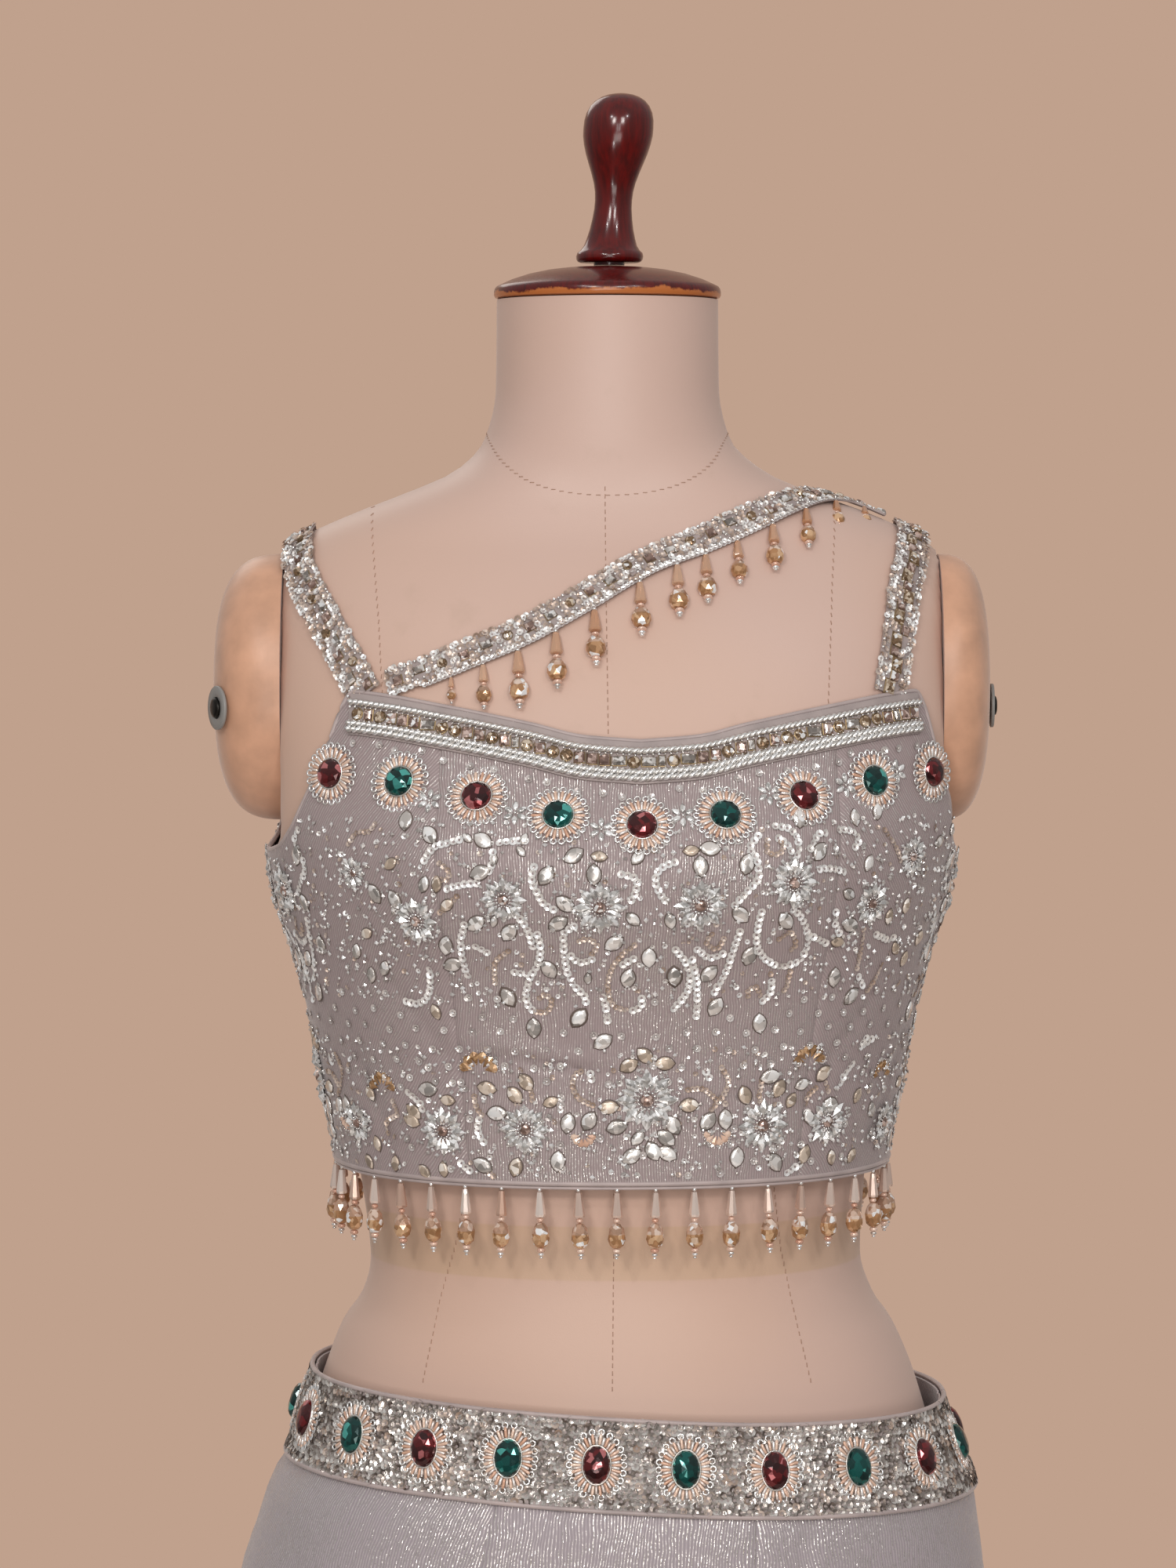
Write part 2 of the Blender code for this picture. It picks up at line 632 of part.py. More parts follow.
def make_neck_band(name, shares, made_of):
    """Border along the neckline, made from the blouse's points, moved out."""
    edges = trimmed(shares, BLOUSE_HEM_ROUND)
    foot = WALL + SEAM_GAP
    outer = []
    inner = []
    for drop, crown in ((BAND_TURN, 0.0), (BAND_HEIGHT / 2, BAND_CROWN), (BAND_HEIGHT, 0.0)):
        places = [(share, blouse_height(share, drop)) for share in edges]
        outer.append([moved_out(blouse_surface, *place, foot + BAND_WALL + crown) for place in places])
        inner.append([moved_out(blouse_surface, *place, foot) for place in places])
    return cloth_wall(name, outer, inner, made_of)


def mirrored(shares):
    return [-share for share in reversed(shares)]


def make_blouse(cloth, border):
    """Five panels with princess seams, side seams and a hooked centre back, and the neck border."""
    front_gems = [k * GEM_PITCH_SHARE for k in range(-FRONT_GEM_PAIRS, FRONT_GEM_PAIRS + 1)]
    back_gems = [0.5 - (k + 0.5) * GEM_PITCH_SHARE for k in reversed(range(BACK_GEM_PAIRS))]
    centre = [gem for gem in front_gems if abs(gem) < PRINCESS_SEAM]
    middle = [column for gem in centre for column in gem_columns(gem)]
    outer_front = [column for gem in front_gems if gem > PRINCESS_SEAM for column in gem_columns(gem)]
    outer_front = sorted([*outer_front, FRONT_CORNER])
    right_front = [PRINCESS_SEAM, *outer_front, *FRONT_ARMHOLE]
    back = [column for gem in back_gems for column in gem_columns(gem)]
    right_back = [*BACK_ARMHOLE, *back, 0.5]
    every_gem = front_gems + back_gems + [-gem for gem in back_gems]
    make_blouse_panel("blouse_front_centre", [-PRINCESS_SEAM, *middle, PRINCESS_SEAM], every_gem, cloth)
    make_blouse_panel("blouse_front_right", right_front, every_gem, cloth)
    make_blouse_panel("blouse_front_left", mirrored(right_front), every_gem, cloth)
    make_blouse_panel("blouse_back_right", right_back, every_gem, cloth)
    make_blouse_panel("blouse_back_left", mirrored(right_back), every_gem, cloth)
    front_half = [PRINCESS_SEAM, *(share for share in outer_front if share <= FRONT_CORNER)]
    make_neck_band("neck_band_front", [*mirrored(front_half), *middle, *front_half], border)
    right_half = [BACK_CORNER, *back, 0.5]
    make_neck_band("neck_band_back_right", right_half, border)
    make_neck_band("neck_band_back_left", mirrored(right_half), border)


def smooth_route(points, count):
    """Evenly spaced points on a Catmull-Rom curve through the given ones."""
    ends = [2 * points[0] - points[1], *points, 2 * points[-1] - points[-2]]
    fine = []
    for a, b, c, d in zip(ends, ends[1:], ends[2:], ends[3:]):
        for u in np.linspace(0, 1, 12, endpoint=False):
            fine.append(0.5 * (2 * b + (c - a) * u + (2 * a - 5 * b + 4 * c - d) * u**2
                               + (3 * b - a - 3 * c + d) * u**3))
    fine.append(points[-1])
    lengths = np.concatenate([[0], np.cumsum([(q - p).length for p, q in zip(fine, fine[1:])])])
    even = np.linspace(0, lengths[-1], count)
    axes = [np.interp(even, lengths, [point[k] for point in fine]) for k in range(3)]
    return [Vector(point) for point in zip(*axes)]


def front_of(x, z):
    """The form's front at x, z, as y."""
    section = FORM.at(z)
    inside = max(1 - (abs(x - section.shift) / section.half_width) ** section.square, 0)
    return -section.front * inside ** (1 / section.square) - float(cup_fullness(x, z))


def strap_frames(rows, seat):
    """Centre, side direction and normal at each station of a strap seated this far off the form."""
    marks = []
    for row in rows:
        section = FORM.at(row.z)
        reach = section.front if row.face < 0 else section.back
        inside = max(1 - (abs(row.x) / section.half_width) ** section.square, 0)
        y = row.face * reach * inside ** (1 / section.square)
        marks.append(seated(Vector((row.x, y, row.z)), seat)[0])
    route = [seated(point, seat) for point in smooth_route(marks, STRAP_STATIONS)]
    frames = []
    for i, (centre, normal) in enumerate(route):
        ahead = route[min(i + 1, len(route) - 1)][0] - route[max(i - 1, 0)][0]
        side = ahead.cross(normal).normalized()
        frames.append((centre, side, side.cross(ahead).normalized()))
    return frames


def make_strap(name, frames, width, made_of):
    """A flat strap with its two long edges a little thinner than its middle."""
    half = width / 2
    outer = []
    inner = []
    for across, rise in ((-1.0, 0.75), (0.0, 1.0), (1.0, 0.75)):
        outer.append([c + side * half * across + up * STRAP_WALL * rise for c, side, up in frames])
        inner.append([c + side * half * across for c, side, up in frames])
    return cloth_wall(name, outer, inner, made_of)


def add_drop(mesh, root, along, out, length, on_chest):
    """A bead drop hung straight down from four root vertices, in front of the form where it lies on it."""
    top = sum((vert.co for vert in root), Vector()) / 4
    out = Vector((out.x, out.y, 0)).normalized()
    side = Vector((-out.y, out.x, 0))
    if side.dot(along) < 0:
        side.negate()
    above = root
    centre = top
    for section in DROP_SECTIONS:
        centre = hung(top, length * section.down, section.half, on_chest)
        corners = ((-1, 1), (1, 1), (1, -1), (-1, -1))
        below = [mesh.verts.new(centre + side * section.half * a + out * section.half * b) for a, b in corners]
        strip_between(mesh, above, below, True)
        above = below
    tip = mesh.verts.new(hung(top, length, 0.0, on_chest))
    for here, there in zip(above, above[1:] + above[:1]):
        mesh.faces.new((here, there, tip))


def hung(top, down, half, on_chest):
    """A place this far below a drop's root, brought forward where the chest stands in its way."""
    point = top - Vector((0, 0, down))
    if on_chest:
        point.y = min(point.y, front_of(point.x, point.z) - CHEST_CLEARANCE * (half + SKIN_GAP))
    return point


def fringe(name, stations, drops, closed, on_chest, made_of):
    """A narrow strip with bead drops fused to it. A station is (centre, along, out, down). drops gives
    the length of the drop that hangs between a station and the next one, by the first one's number."""
    half = STRIP_SIDE / 2
    mesh = bmesh.new()
    rings = []
    for centre, _along, out, down in stations:
        corners = ((1, 1), (-1, 1), (-1, -1), (1, -1))
        rings.append([mesh.verts.new(centre + out * half * a + down * half * b) for a, b in corners])
    spans = list(zip(rings, rings[1:]))
    if closed:
        spans.append((rings[-1], rings[0]))
    for i, (here, there) in enumerate(spans):
        for a, b in ((1, 2), (2, 3), (3, 0)):
            mesh.faces.new((here[a], here[b], there[b], there[a]))
        _centre, along, out, _down = stations[i]
        if i in drops:
            add_drop(mesh, [here[0], there[0], there[1], here[1]], along, out, drops[i], on_chest)
        else:
            mesh.faces.new((here[0], here[1], there[1], there[0]))
    if not closed:
        mesh.faces.new(rings[0])
        mesh.faces.new(rings[-1])
    return finished(name, mesh, made_of)


def make_hem_drops(made_of):
    """Strip under the blouse's hem with its ring of bead drops."""
    height = BLOUSE_HEM - SEAM_GAP - STRIP_SIDE / 2
    root = DROP_ROOT / 2 / BLOUSE_HEM_ROUND
    stations = []
    for k in range(HEM_DROPS):
        for share in ((k + 0.5) / HEM_DROPS - root, (k + 0.5) / HEM_DROPS + root):
            point = moved_out(blouse_surface, share, BLOUSE_HEM, WALL / 2)
            along = blouse_surface(share + NUDGE, BLOUSE_HEM) - blouse_surface(share - NUDGE, BLOUSE_HEM)
            along.normalize()
            out = along.cross(Vector((0, 0, 1))).normalized()
            stations.append((Vector((point.x, point.y, height)), along, out, Vector((0, 0, -1))))
    drops = {2 * k: HEM_DROP_LENGTH for k in range(HEM_DROPS)}
    return fringe("hem_drops", stations, drops, True, False, made_of)


def neckline_under(point):
    """Height of the blouse's front edge under a point on the chest."""
    shares = np.linspace(-FRONT_CORNER, FRONT_CORNER, 61)
    edge = [blouse_surface(share, TOP.at(abs(share)).cut) for share in shares]
    return float(np.interp(point.x, [p.x for p in edge], [p.z for p in edge]))


def make_diagonal_drops(frames, made_of):
    """Strip along the diagonal strap's lower edge with its bead drops."""
    reach = DIAGONAL_WIDTH / 2 + SEAM_GAP + STRIP_SIDE / 2
    centres = [c + side * reach + up * STRIP_SIDE / 2 for c, side, up in frames]
    lengths = np.concatenate([[0], np.cumsum([(q - p).length for p, q in zip(centres, centres[1:])])])
    roots = np.array(DIAGONAL_ROOTS) * lengths[-1]
    starts = [root - DROP_ROOT / 2 for root in roots]
    ends = [root + DROP_ROOT / 2 for root in roots]
    first = DIAGONAL_STRIP_START * lengths[-1]
    plain = [place for place in lengths if place > first and all(abs(place - root) > DROP_ROOT for root in roots)]
    stations = []
    drops = {}
    for i, place in enumerate(sorted(starts + ends + plain)):
        centre = Vector([np.interp(place, lengths, [c[k] for c in centres]) for k in range(3)])
        near = min(int(np.searchsorted(lengths, place)), len(frames) - 1)
        _centre, side, up = frames[near]
        stations.append((centre, (centres[near] - centres[near - 1]).normalized(), up, side))
        if place in starts:
            room = centre.z - neckline_under(centre) - STRIP_SIDE
            drops[i] = min(DROP_LENGTH, room)
    return fringe("diagonal_drops", stations, drops, False, True, made_of)


def make_straps(cloth, beads):
    make_strap("strap_left", strap_frames(LEFT_STRAP, STRAP_SEAT), STRAP_WIDTH, cloth)
    make_strap("strap_right", strap_frames(RIGHT_STRAP, STRAP_SEAT), STRAP_WIDTH, cloth)
    diagonal = strap_frames(DIAGONAL_STRAP, DIAGONAL_SEAT)
    make_strap("strap_diagonal", diagonal, DIAGONAL_WIDTH, cloth)
    make_diagonal_drops(diagonal, beads)


def gore_columns(first, last, flutes, per_flute):
    """Even columns of a gore, per_flute to each flute."""
    return list(np.linspace(first, last, flutes * per_flute + 1))


def belt_tilt(share):
    """How far the belt hangs off level, lower towards the right."""
    return -BELT_DROP - BELT_ROLL * math.sin(2 * math.pi * share)


def make_skirt(cloth):
    """Six gores from waist to hem, fitted to the knee and fluted below it."""
    side = 0.25
    # Each gore's name, its first and last seam, and how many flutes lie between them
    gores = [
        ("skirt_front_centre", -GORE_SEAM, GORE_SEAM, 2 * FLUTES_IN_CENTRE_HALF),
        ("skirt_front_right", GORE_SEAM, side, FLUTES_IN_SIDE),
        ("skirt_back_right", side, 0.5 - GORE_SEAM, FLUTES_IN_SIDE),
        ("skirt_back_centre", 0.5 - GORE_SEAM, 0.5 + GORE_SEAM, 2 * FLUTES_IN_CENTRE_HALF),
        ("skirt_back_left", 0.5 + GORE_SEAM, 1 - side, FLUTES_IN_SIDE),
        ("skirt_front_left", -side, -GORE_SEAM, FLUTES_IN_SIDE),
    ]
    for name, first, last, flutes in gores:
        few = trimmed(gore_columns(first, last, flutes, FLUTE_COLUMNS // 2), SKIRT_ROUND)
        many = trimmed(gore_columns(first, last, flutes, FLUTE_COLUMNS), SKIRT_ROUND)
        rows = []
        for z, tilt in zip(SKIRT_ROWS_ABOVE, SKIRT_TILT):
            rows.append([(share, z + tilt * belt_tilt(share)) for share in few])
        rows += [[(share, z) for share in many] for z in SKIRT_ROWS_BELOW]
        outer = [[moved_out(skirt_surface, *place, WALL) for place in row] for row in rows]
        inner = [[skirt_surface(*place) for place in row] for row in rows]
        cloth_wall(name, outer, inner, cloth)


def make_belt(made_of):
    """Stiff belt round the skirt's top, each oval gem and its rosette raised in the outer points."""
    pitch = 1 / BELT_GEMS
    foot = WALL + SEAT
    start = BELT_FIRST_GEM + pitch * (BELT_GEMS_TO_OPENING + 1 - BELT_GEMS)
    middle = (BELT_TOP + BELT_BOTTOM) / 2
    ends = BELT_OPENING / 2 / BELT_ROUND
    shares = [start - pitch / 2 + ends]
    raised = []
    for k in range(BELT_GEMS):
        gem = start + k * pitch
        for reach in (-BELT_ROSETTE_HALF, -BELT_GEM_HALF, BELT_GEM_HALF, BELT_ROSETTE_HALF):
            if abs(reach) == BELT_GEM_HALF:
                raised.append(len(shares))
            shares.append(gem + reach / BELT_ROUND)
    shares.append(start + (BELT_GEMS - 0.5) * pitch - ends)
    stone_rows = [middle + BELT_GEM_HALF_HEIGHT, middle - BELT_GEM_HALF_HEIGHT]
    rosette_rows = [middle + BELT_ROSETTE_HALF_HEIGHT, middle - BELT_ROSETTE_HALF_HEIGHT]
    outer = []
    for z in (BELT_TOP, rosette_rows[0], *stone_rows, rosette_rows[1], BELT_BOTTOM):
        line = []
        for i, share in enumerate(shares):
            stone = i in raised and z in stone_rows
            out = foot + BELT_WALL + (BELT_GEM_RISE if stone else 0.0)
            line.append(moved_out(skirt_surface, share, z + belt_tilt(share), out))
        outer.append(line)
    inner = []
    for z in (BELT_TOP, BELT_BOTTOM):
        inner.append([moved_out(skirt_surface, share, z + belt_tilt(share), foot) for share in shares])
    return cloth_wall("belt", outer, inner, made_of, range(1, len(outer) - 1))


def make_stand(iron):
    """Round foot and pole that carry the form."""
    turned("stand_base", BASE, 36, iron)
    foot = BASE[-1].z + SEAM_GAP
    top = FORM_BOTTOM - SEAM_GAP
    mesh = bmesh.new()
    bmesh.ops.create_cone(
        mesh, cap_ends=True, segments=20, radius1=POLE_RADIUS, radius2=POLE_RADIUS, depth=top - foot
    )
    pole = finished("stand_pole", mesh, iron)
    pole.location.z = (top + foot) / 2


def make_form(skin_cloth, satin, wood, steel):
    make_torso(skin_cloth)
    make_arm_cap("arm_cap_left", -1, LEFT_REACH, satin)
    make_arm_cap("arm_cap_right", 1, RIGHT_REACH, satin)
    make_arm_screw("arm_screw_left", -1, LEFT_REACH, LEFT_SCREW_FORWARD, steel)
    make_arm_screw("arm_screw_right", 1, RIGHT_REACH, RIGHT_SCREW_FORWARD, steel)
    cap = turned("neck_cap", NECK_CAP, 28, wood)
    cap.location.x = FORM_SECTIONS[-1].shift
    finial = turned("finial", FINIAL, 14, wood)
    for vertex in finial.data.vertices:
        vertex.co.x += FINIAL_SHIFT + FINIAL_LEAN * (vertex.co.z - FINIAL[0].z)


def main():
    for old in list(bpy.data.objects):
        bpy.data.objects.remove(old)
    lurex = material("lurex_rib_cloth", LUREX_CLOTH, 0.45, 0.2)
    sequined = material("sequined_cloth", SEQUIN_CLOTH, 0.35, 0.5)
    beads = material("champagne_beads", CHAMPAGNE_BEAD, 0.2)
    make_form(
        material("form_jersey", MANNEQUIN_SKIN, 0.6),
        material("arm_satin", ARM_SATIN, 0.4),
        material("varnished_mahogany", MAHOGANY, 0.25),
        material("screw_steel", STEEL, 0.35, 1.0),
    )
    make_stand(material("black_iron", BLACK_IRON, 0.5, 0.6))
    make_blouse(lurex, sequined)
    make_straps(sequined, beads)
    make_hem_drops(beads)
    make_skirt(lurex)
    make_belt(sequined)


main()
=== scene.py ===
"""Looks of the mermaid lehenga on its limbless dress form.

Metres, +Z up, the front towards -Y. Left and right are the viewer's, so left is -X. A place round the body
is its share of the round: 0 is centre front, 0.25 the right side, 0.5 centre back and negative on the left.
"""

import logging
import math
from dataclasses import dataclass, field
from enum import Enum
from typing import Callable, NamedTuple, Sequence

import bpy
import numpy as np
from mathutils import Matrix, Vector


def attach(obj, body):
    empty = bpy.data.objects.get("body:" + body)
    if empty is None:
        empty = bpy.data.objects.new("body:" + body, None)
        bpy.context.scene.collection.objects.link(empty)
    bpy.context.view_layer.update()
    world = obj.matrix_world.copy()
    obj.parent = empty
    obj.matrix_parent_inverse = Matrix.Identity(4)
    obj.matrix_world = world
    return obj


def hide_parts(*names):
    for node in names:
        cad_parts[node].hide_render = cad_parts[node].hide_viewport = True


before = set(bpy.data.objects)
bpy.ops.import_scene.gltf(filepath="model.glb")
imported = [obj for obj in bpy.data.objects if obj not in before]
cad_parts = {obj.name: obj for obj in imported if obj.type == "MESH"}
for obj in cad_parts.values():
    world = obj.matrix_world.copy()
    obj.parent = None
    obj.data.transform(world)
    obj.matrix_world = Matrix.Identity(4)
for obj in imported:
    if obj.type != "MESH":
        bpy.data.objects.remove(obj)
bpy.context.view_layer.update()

LOG = logging.getLogger("lehenga")
ROOT = "root"
MM = 0.001
UP = np.array((0.0, 0.0, 1.0))
Array = np.ndarray
Random = np.random.Generator
Piece = bpy.types.Object
Node = bpy.types.Node
Socket = bpy.types.NodeSocket
Tree = bpy.types.NodeTree


class Section(NamedTuple):
    """One level cut through the form or the skirt, from its centre."""

    z: float
    half_width: float
    front: float
    back: float
    shift: float
    plate: float
    square: float


class Ease(NamedTuple):
    """How far the blouse's inside stands off the form at a height."""

    z: float
    ease: float


class TopEdge(NamedTuple):
    """The blouse's neckline, which the gems follow, and its cut edge at a share of the round."""

    share: float
    neckline: float
    cut: float


class StrapPoint(NamedTuple):
    """A point of a strap's centre line. face is -1 in front, 0 on the shoulder's ridge and 1 behind."""

    x: float
    z: float
    face: int


ARM_PLATE = 0.1565
NECK_TOP = 1.5325
FORM_BOTTOM = 0.790
ROUND_SIDE = 0.30
FORM_SECTIONS = tuple(Section(*row) for row in (
    (FORM_BOTTOM, 0.158, 0.098, 0.106, 0, ROUND_SIDE, 2.2),
    (0.875, 0.1824, 0.1175, 0.1319, 0, ROUND_SIDE, 2.25),
    (0.922, 0.1735, 0.113, 0.1265, 0.001, ROUND_SIDE, 2.25),
    (0.97, 0.157, 0.104, 0.11, 0.003, ROUND_SIDE, 2.2),
    (1.0185, 0.142, 0.099, 0.097, 0.0035, ROUND_SIDE, 2.2),
    (1.041, 0.1325, 0.097, 0.091, 0.003, ROUND_SIDE, 2.2),
    (1.053, 0.124, 0.095, 0.088, 0.003, ROUND_SIDE, 2.2),
    (1.073, 0.1185, 0.092, 0.085, 0.002, ROUND_SIDE, 2.2),
    (1.1, 0.1205, 0.094, 0.085, 0.001, ROUND_SIDE, 2.2),
    (1.13, 0.1245, 0.098, 0.088, 0, ROUND_SIDE, 2.2),
    (1.165, 0.133, 0.103, 0.092, 0, ROUND_SIDE, 2.2),
    (1.197, 0.1415, 0.109, 0.096, 0, ROUND_SIDE, 2.25),
    (1.218, 0.148, 0.113, 0.098, 0, ROUND_SIDE, 2.25),
    (1.245, 0.1575, 0.117, 0.1, 0, ROUND_SIDE, 2.3),
    (1.268, 0.1615, 0.118, 0.101, 0, 0.1625, 2.35),
    (1.282, 0.165, 0.116, 0.101, 0, ARM_PLATE, 2.35),
    (1.305, 0.167, 0.111, 0.1, 0, ARM_PLATE, 2.35),
    (1.345, 0.169, 0.098, 0.097, 0, ARM_PLATE, 2.3),
    (1.38, 0.168, 0.084, 0.091, 0, ARM_PLATE, 2.2),
    (1.405, 0.162, 0.069, 0.081, 0, ARM_PLATE, 2.05),
    (1.418, 0.15, 0.06, 0.071, 0, ARM_PLATE, 2),
    (1.43, 0.125, 0.055, 0.064, 0, ROUND_SIDE, 2),
    (1.4413, 0.095, 0.052, 0.059, -0.001, ROUND_SIDE, 2),
    (1.4504, 0.0745, 0.0515, 0.057, -0.001, ROUND_SIDE, 2),
    (1.4658, 0.059, 0.052, 0.055, -0.002, ROUND_SIDE, 2),
    (1.49, 0.0535, 0.052, 0.053, -0.002, ROUND_SIDE, 2),
    (NECK_TOP, 0.053, 0.0525, 0.053, -0.002, ROUND_SIDE, 2),
))
SKIRT_TOP = 1.0175
SKIRT_HEM = 0.012
FLARE_START = 0.52
SKIRT_SECTIONS = tuple(Section(*row) for row in (
    (SKIRT_HEM, 0.372, 0.372, 0.372, 0, 1, 2),
    (0.095, 0.33, 0.326, 0.328, 0, 1, 2),
    (0.18, 0.284, 0.276, 0.279, 0, 1, 2),
    (0.265, 0.241, 0.228, 0.231, 0, 1, 2),
    (0.345, 0.206, 0.186, 0.189, 0, 1, 2),
    (0.415, 0.182, 0.155, 0.158, 0, 1, 2.05),
    (0.47, 0.169, 0.137, 0.139, 0, 1, 2.1),
    (FLARE_START, 0.163, 0.127, 0.129, 0, 1, 2.15),
    (0.6, 0.163, 0.121, 0.124, 0, 1, 2.2),
    (0.7, 0.173, 0.119, 0.126, 0, 1, 2.2),
    (0.78, 0.182, 0.119, 0.13, 0, 1, 2.25),
    (0.84, 0.185, 0.119, 0.133, 0, 1, 2.25),
    (0.88, 0.184, 0.119, 0.134, 0, 1, 2.25),
    (0.9226, 0.1782, 0.119, 0.131, 0.001, 1, 2.25),
    (0.943, 0.1732, 0.118, 0.127, 0.003, 1, 2.25),
    (0.965, 0.1677, 0.116, 0.122, 0.005, 1, 2.2),
    (0.9755, 0.1614, 0.112, 0.116, 0.006, 1, 2.2),
    (1.0185, 0.1474, 0.1035, 0.104, 0.006, 1, 2.2),
))
BLOUSE_HEM = 1.121
# The blouse's round at the bust, in mm, that the tables of its motifs are laid out on.
BLOUSE_ROUND = 880
BLOUSE_EASE = tuple(Ease(*row) for row in (
    (BLOUSE_HEM, 0.0095),
    (1.1524, 0.0079),
    (1.1765, 0.0056),
    (1.197, 0.0044),
    (1.218, 0.003),
    (1.245, 0.002),
    (1.268, 0.0025),
    (1.284, 0.0024),
    (1.305, 0.0009),
    (1.36, 0.0009),
))
FRONT_CORNER = 0.157
BACK_CORNER = 0.335
BLOUSE_TOP = tuple(TopEdge(*row) for row in (
    (0, 1.3254, 1.3254),
    (0.03, 1.3275, 1.3275),
    (0.057, 1.333, 1.333),
    (0.108, 1.3415, 1.3415),
    (0.1375, 1.3455, 1.3455),
    (FRONT_CORNER, 1.347, 1.347),
    (0.171, 1.347, 1.3215),
    (0.1832, 1.347, 1.303),
    (0.2, 1.347, 1.283),
    (0.218, 1.347, 1.274),
    (0.25, 1.347, 1.2705),
    (0.278, 1.347, 1.274),
    (0.298, 1.347, 1.285),
    (0.311, 1.347, 1.3),
    (0.322, 1.347, 1.3215),
    (BACK_CORNER, 1.347, 1.347),
    (0.42, 1.343, 1.343),
    (0.5, 1.341, 1.341),
))


def unit(vectors: Array) -> Array:
    """The vectors, each one long."""
    return vectors / np.maximum(np.linalg.norm(vectors, axis=-1, keepdims=True), 1e-12)


def even_turns(count: int) -> Array:
    """Angles in radians, spaced evenly round a whole turn."""
    return np.arange(count) / count * 2 * math.pi


def run_length(path: Array) -> Array:
    """Length along a path up to each of its points."""
    return np.concatenate([[0], np.cumsum(np.linalg.norm(np.diff(path, axis=0), axis=1))])


def wrapped(shares: Array) -> Array:
    """Shares of the round, each as a value from -0.5 to 0.5."""
    return (shares + 0.5) % 1 - 0.5


def linear(hex_colour: str) -> tuple[float, float, float, float]:
    """Turns an sRGB hex colour to linear light.

    Args:
        hex_colour: Six hex digits after a hash.

    Returns:
        Red, green, blue and an alpha of 1.
    """
    channels = [int(hex_colour[i:i + 2], 16) / 255 for i in (1, 3, 5)]
    red, green, blue = (c / 12.92 if c <= 0.04045 else ((c + 0.055) / 1.055) ** 2.4 for c in channels)
    return red, green, blue, 1.0


def fill(tree: Tree, node: Node, inputs: dict[str | int, object]) -> None:
    """Sets a node's inputs, by name or number, or links them where the value is a socket."""
    for name, value in inputs.items():
        if isinstance(value, Socket):
            tree.links.new(value, node.inputs[name])
        else:
            node.inputs[name].default_value = value


def add_node(
    tree: Tree, kind: str, inputs: dict[str | int, object] | None = None, output: str | int = 0,
    stops: Sequence[tuple[float, str]] = (), **settings: object,
) -> Socket:
    """Adds a node, with its settings, and fills or links its inputs.

    Args:
        tree: The node tree that gets it.
        kind: The node's type name without its first word.
        inputs: Values, or sockets to link from, by the input's name or number.
        output: Name or number of the output that is wanted.
        stops: A colour ramp's places and sRGB hex colours.
        settings: The node's own properties.

    Returns:
        The output.
    """
    node = tree.nodes.new("ShaderNode" + kind)
    for name, value in settings.items():
        setattr(node, name, value)
    if stops:
        elements = node.color_ramp.elements
        while len(elements) < len(stops):
            elements.new(0.5)
        for element, (place, colour) in zip(elements, stops):
            element.position, element.color = place, linear(colour)
    fill(tree, node, inputs or {})
    return node.outputs[output]


class Profile:
    """A table of rows that can be read at any height, by a cubic that never overshoots its rows."""

    def __init__(self, rows: Sequence[tuple]) -> None:
        """Works out the slope at each row.

        Args:
            rows: Named tuples of one kind, whose first value is the place.
        """
        self.kind = type(rows[0])
        self.at_rows = np.array([row[0] for row in rows])
        self.values = np.array([row[1:] for row in rows])
        steps = np.diff(self.at_rows)[:, None]
        rises = np.diff(self.values, axis=0) / steps
        self.slopes = np.zeros_like(self.values)
        self.slopes[0] = rises[0]
        self.slopes[-1] = rises[-1]
        before, after = rises[:-1], rises[1:]
        near = 2 * steps[1:] + steps[:-1]
        far = steps[1:] + 2 * steps[:-1]
        same = before * after > 0
        blend = near / np.where(same, before, 1) + far / np.where(same, after, 1)
        self.slopes[1:-1] = np.where(same, (near + far) / np.where(same, blend, 1), 0)

    def read(self, places: Array) -> Array:
        """The rows' values at the places, one column for each value."""
        places = np.clip(places, self.at_rows[0], self.at_rows[-1])
        i = np.clip(np.searchsorted(self.at_rows, places, side="right") - 1, 0, len(self.at_rows) - 2)
        step = (self.at_rows[i + 1] - self.at_rows[i])[..., None]
        u = (places - self.at_rows[i])[..., None] / step
        start = (1 + 2 * u) * (1 - u) ** 2 * self.values[i] + u * (1 - u) ** 2 * step * self.slopes[i]
        end = u * u * (3 - 2 * u) * self.values[i + 1] + u * u * (u - 1) * step * self.slopes[i + 1]
        return start + end

    def at(self, place: float) -> tuple:
        """The row at one place, as a named tuple."""
        return self.kind(place, *self.read(np.array(place)))


FORM = Profile(FORM_SECTIONS)
SKIRT = Profile(SKIRT_SECTIONS)
EASE = Profile(BLOUSE_EASE)
TOP = Profile(BLOUSE_TOP)


class Cups(Enum):
    """How the bust shows in a section."""

    NONE = 0
    FORM = 1
    BRIDGED = 2


@dataclass(frozen=True)
class Bust:
    """A pair of low mounds on the front of the form."""

    x: float = 0.073
    z: float = 1.262
    spread_x: float = 0.043
    spread_z: float = 0.040
    rise: float = 0.013

    def fullness(self, x: Array, z: Array | float, cups: Cups) -> Array:
        """How far the bust stands in front of the plain section at x, z."""
        if cups is Cups.NONE:
            return np.zeros_like(x)
        away = np.abs(x) - self.x
        if cups is Cups.BRIDGED:
            away = np.maximum(away, 0)
        down = np.exp(-(((z - self.z) / self.spread_z) ** 2))
        return self.rise * np.exp(-((away / self.spread_x) ** 2)) * down


BUST = Bust()


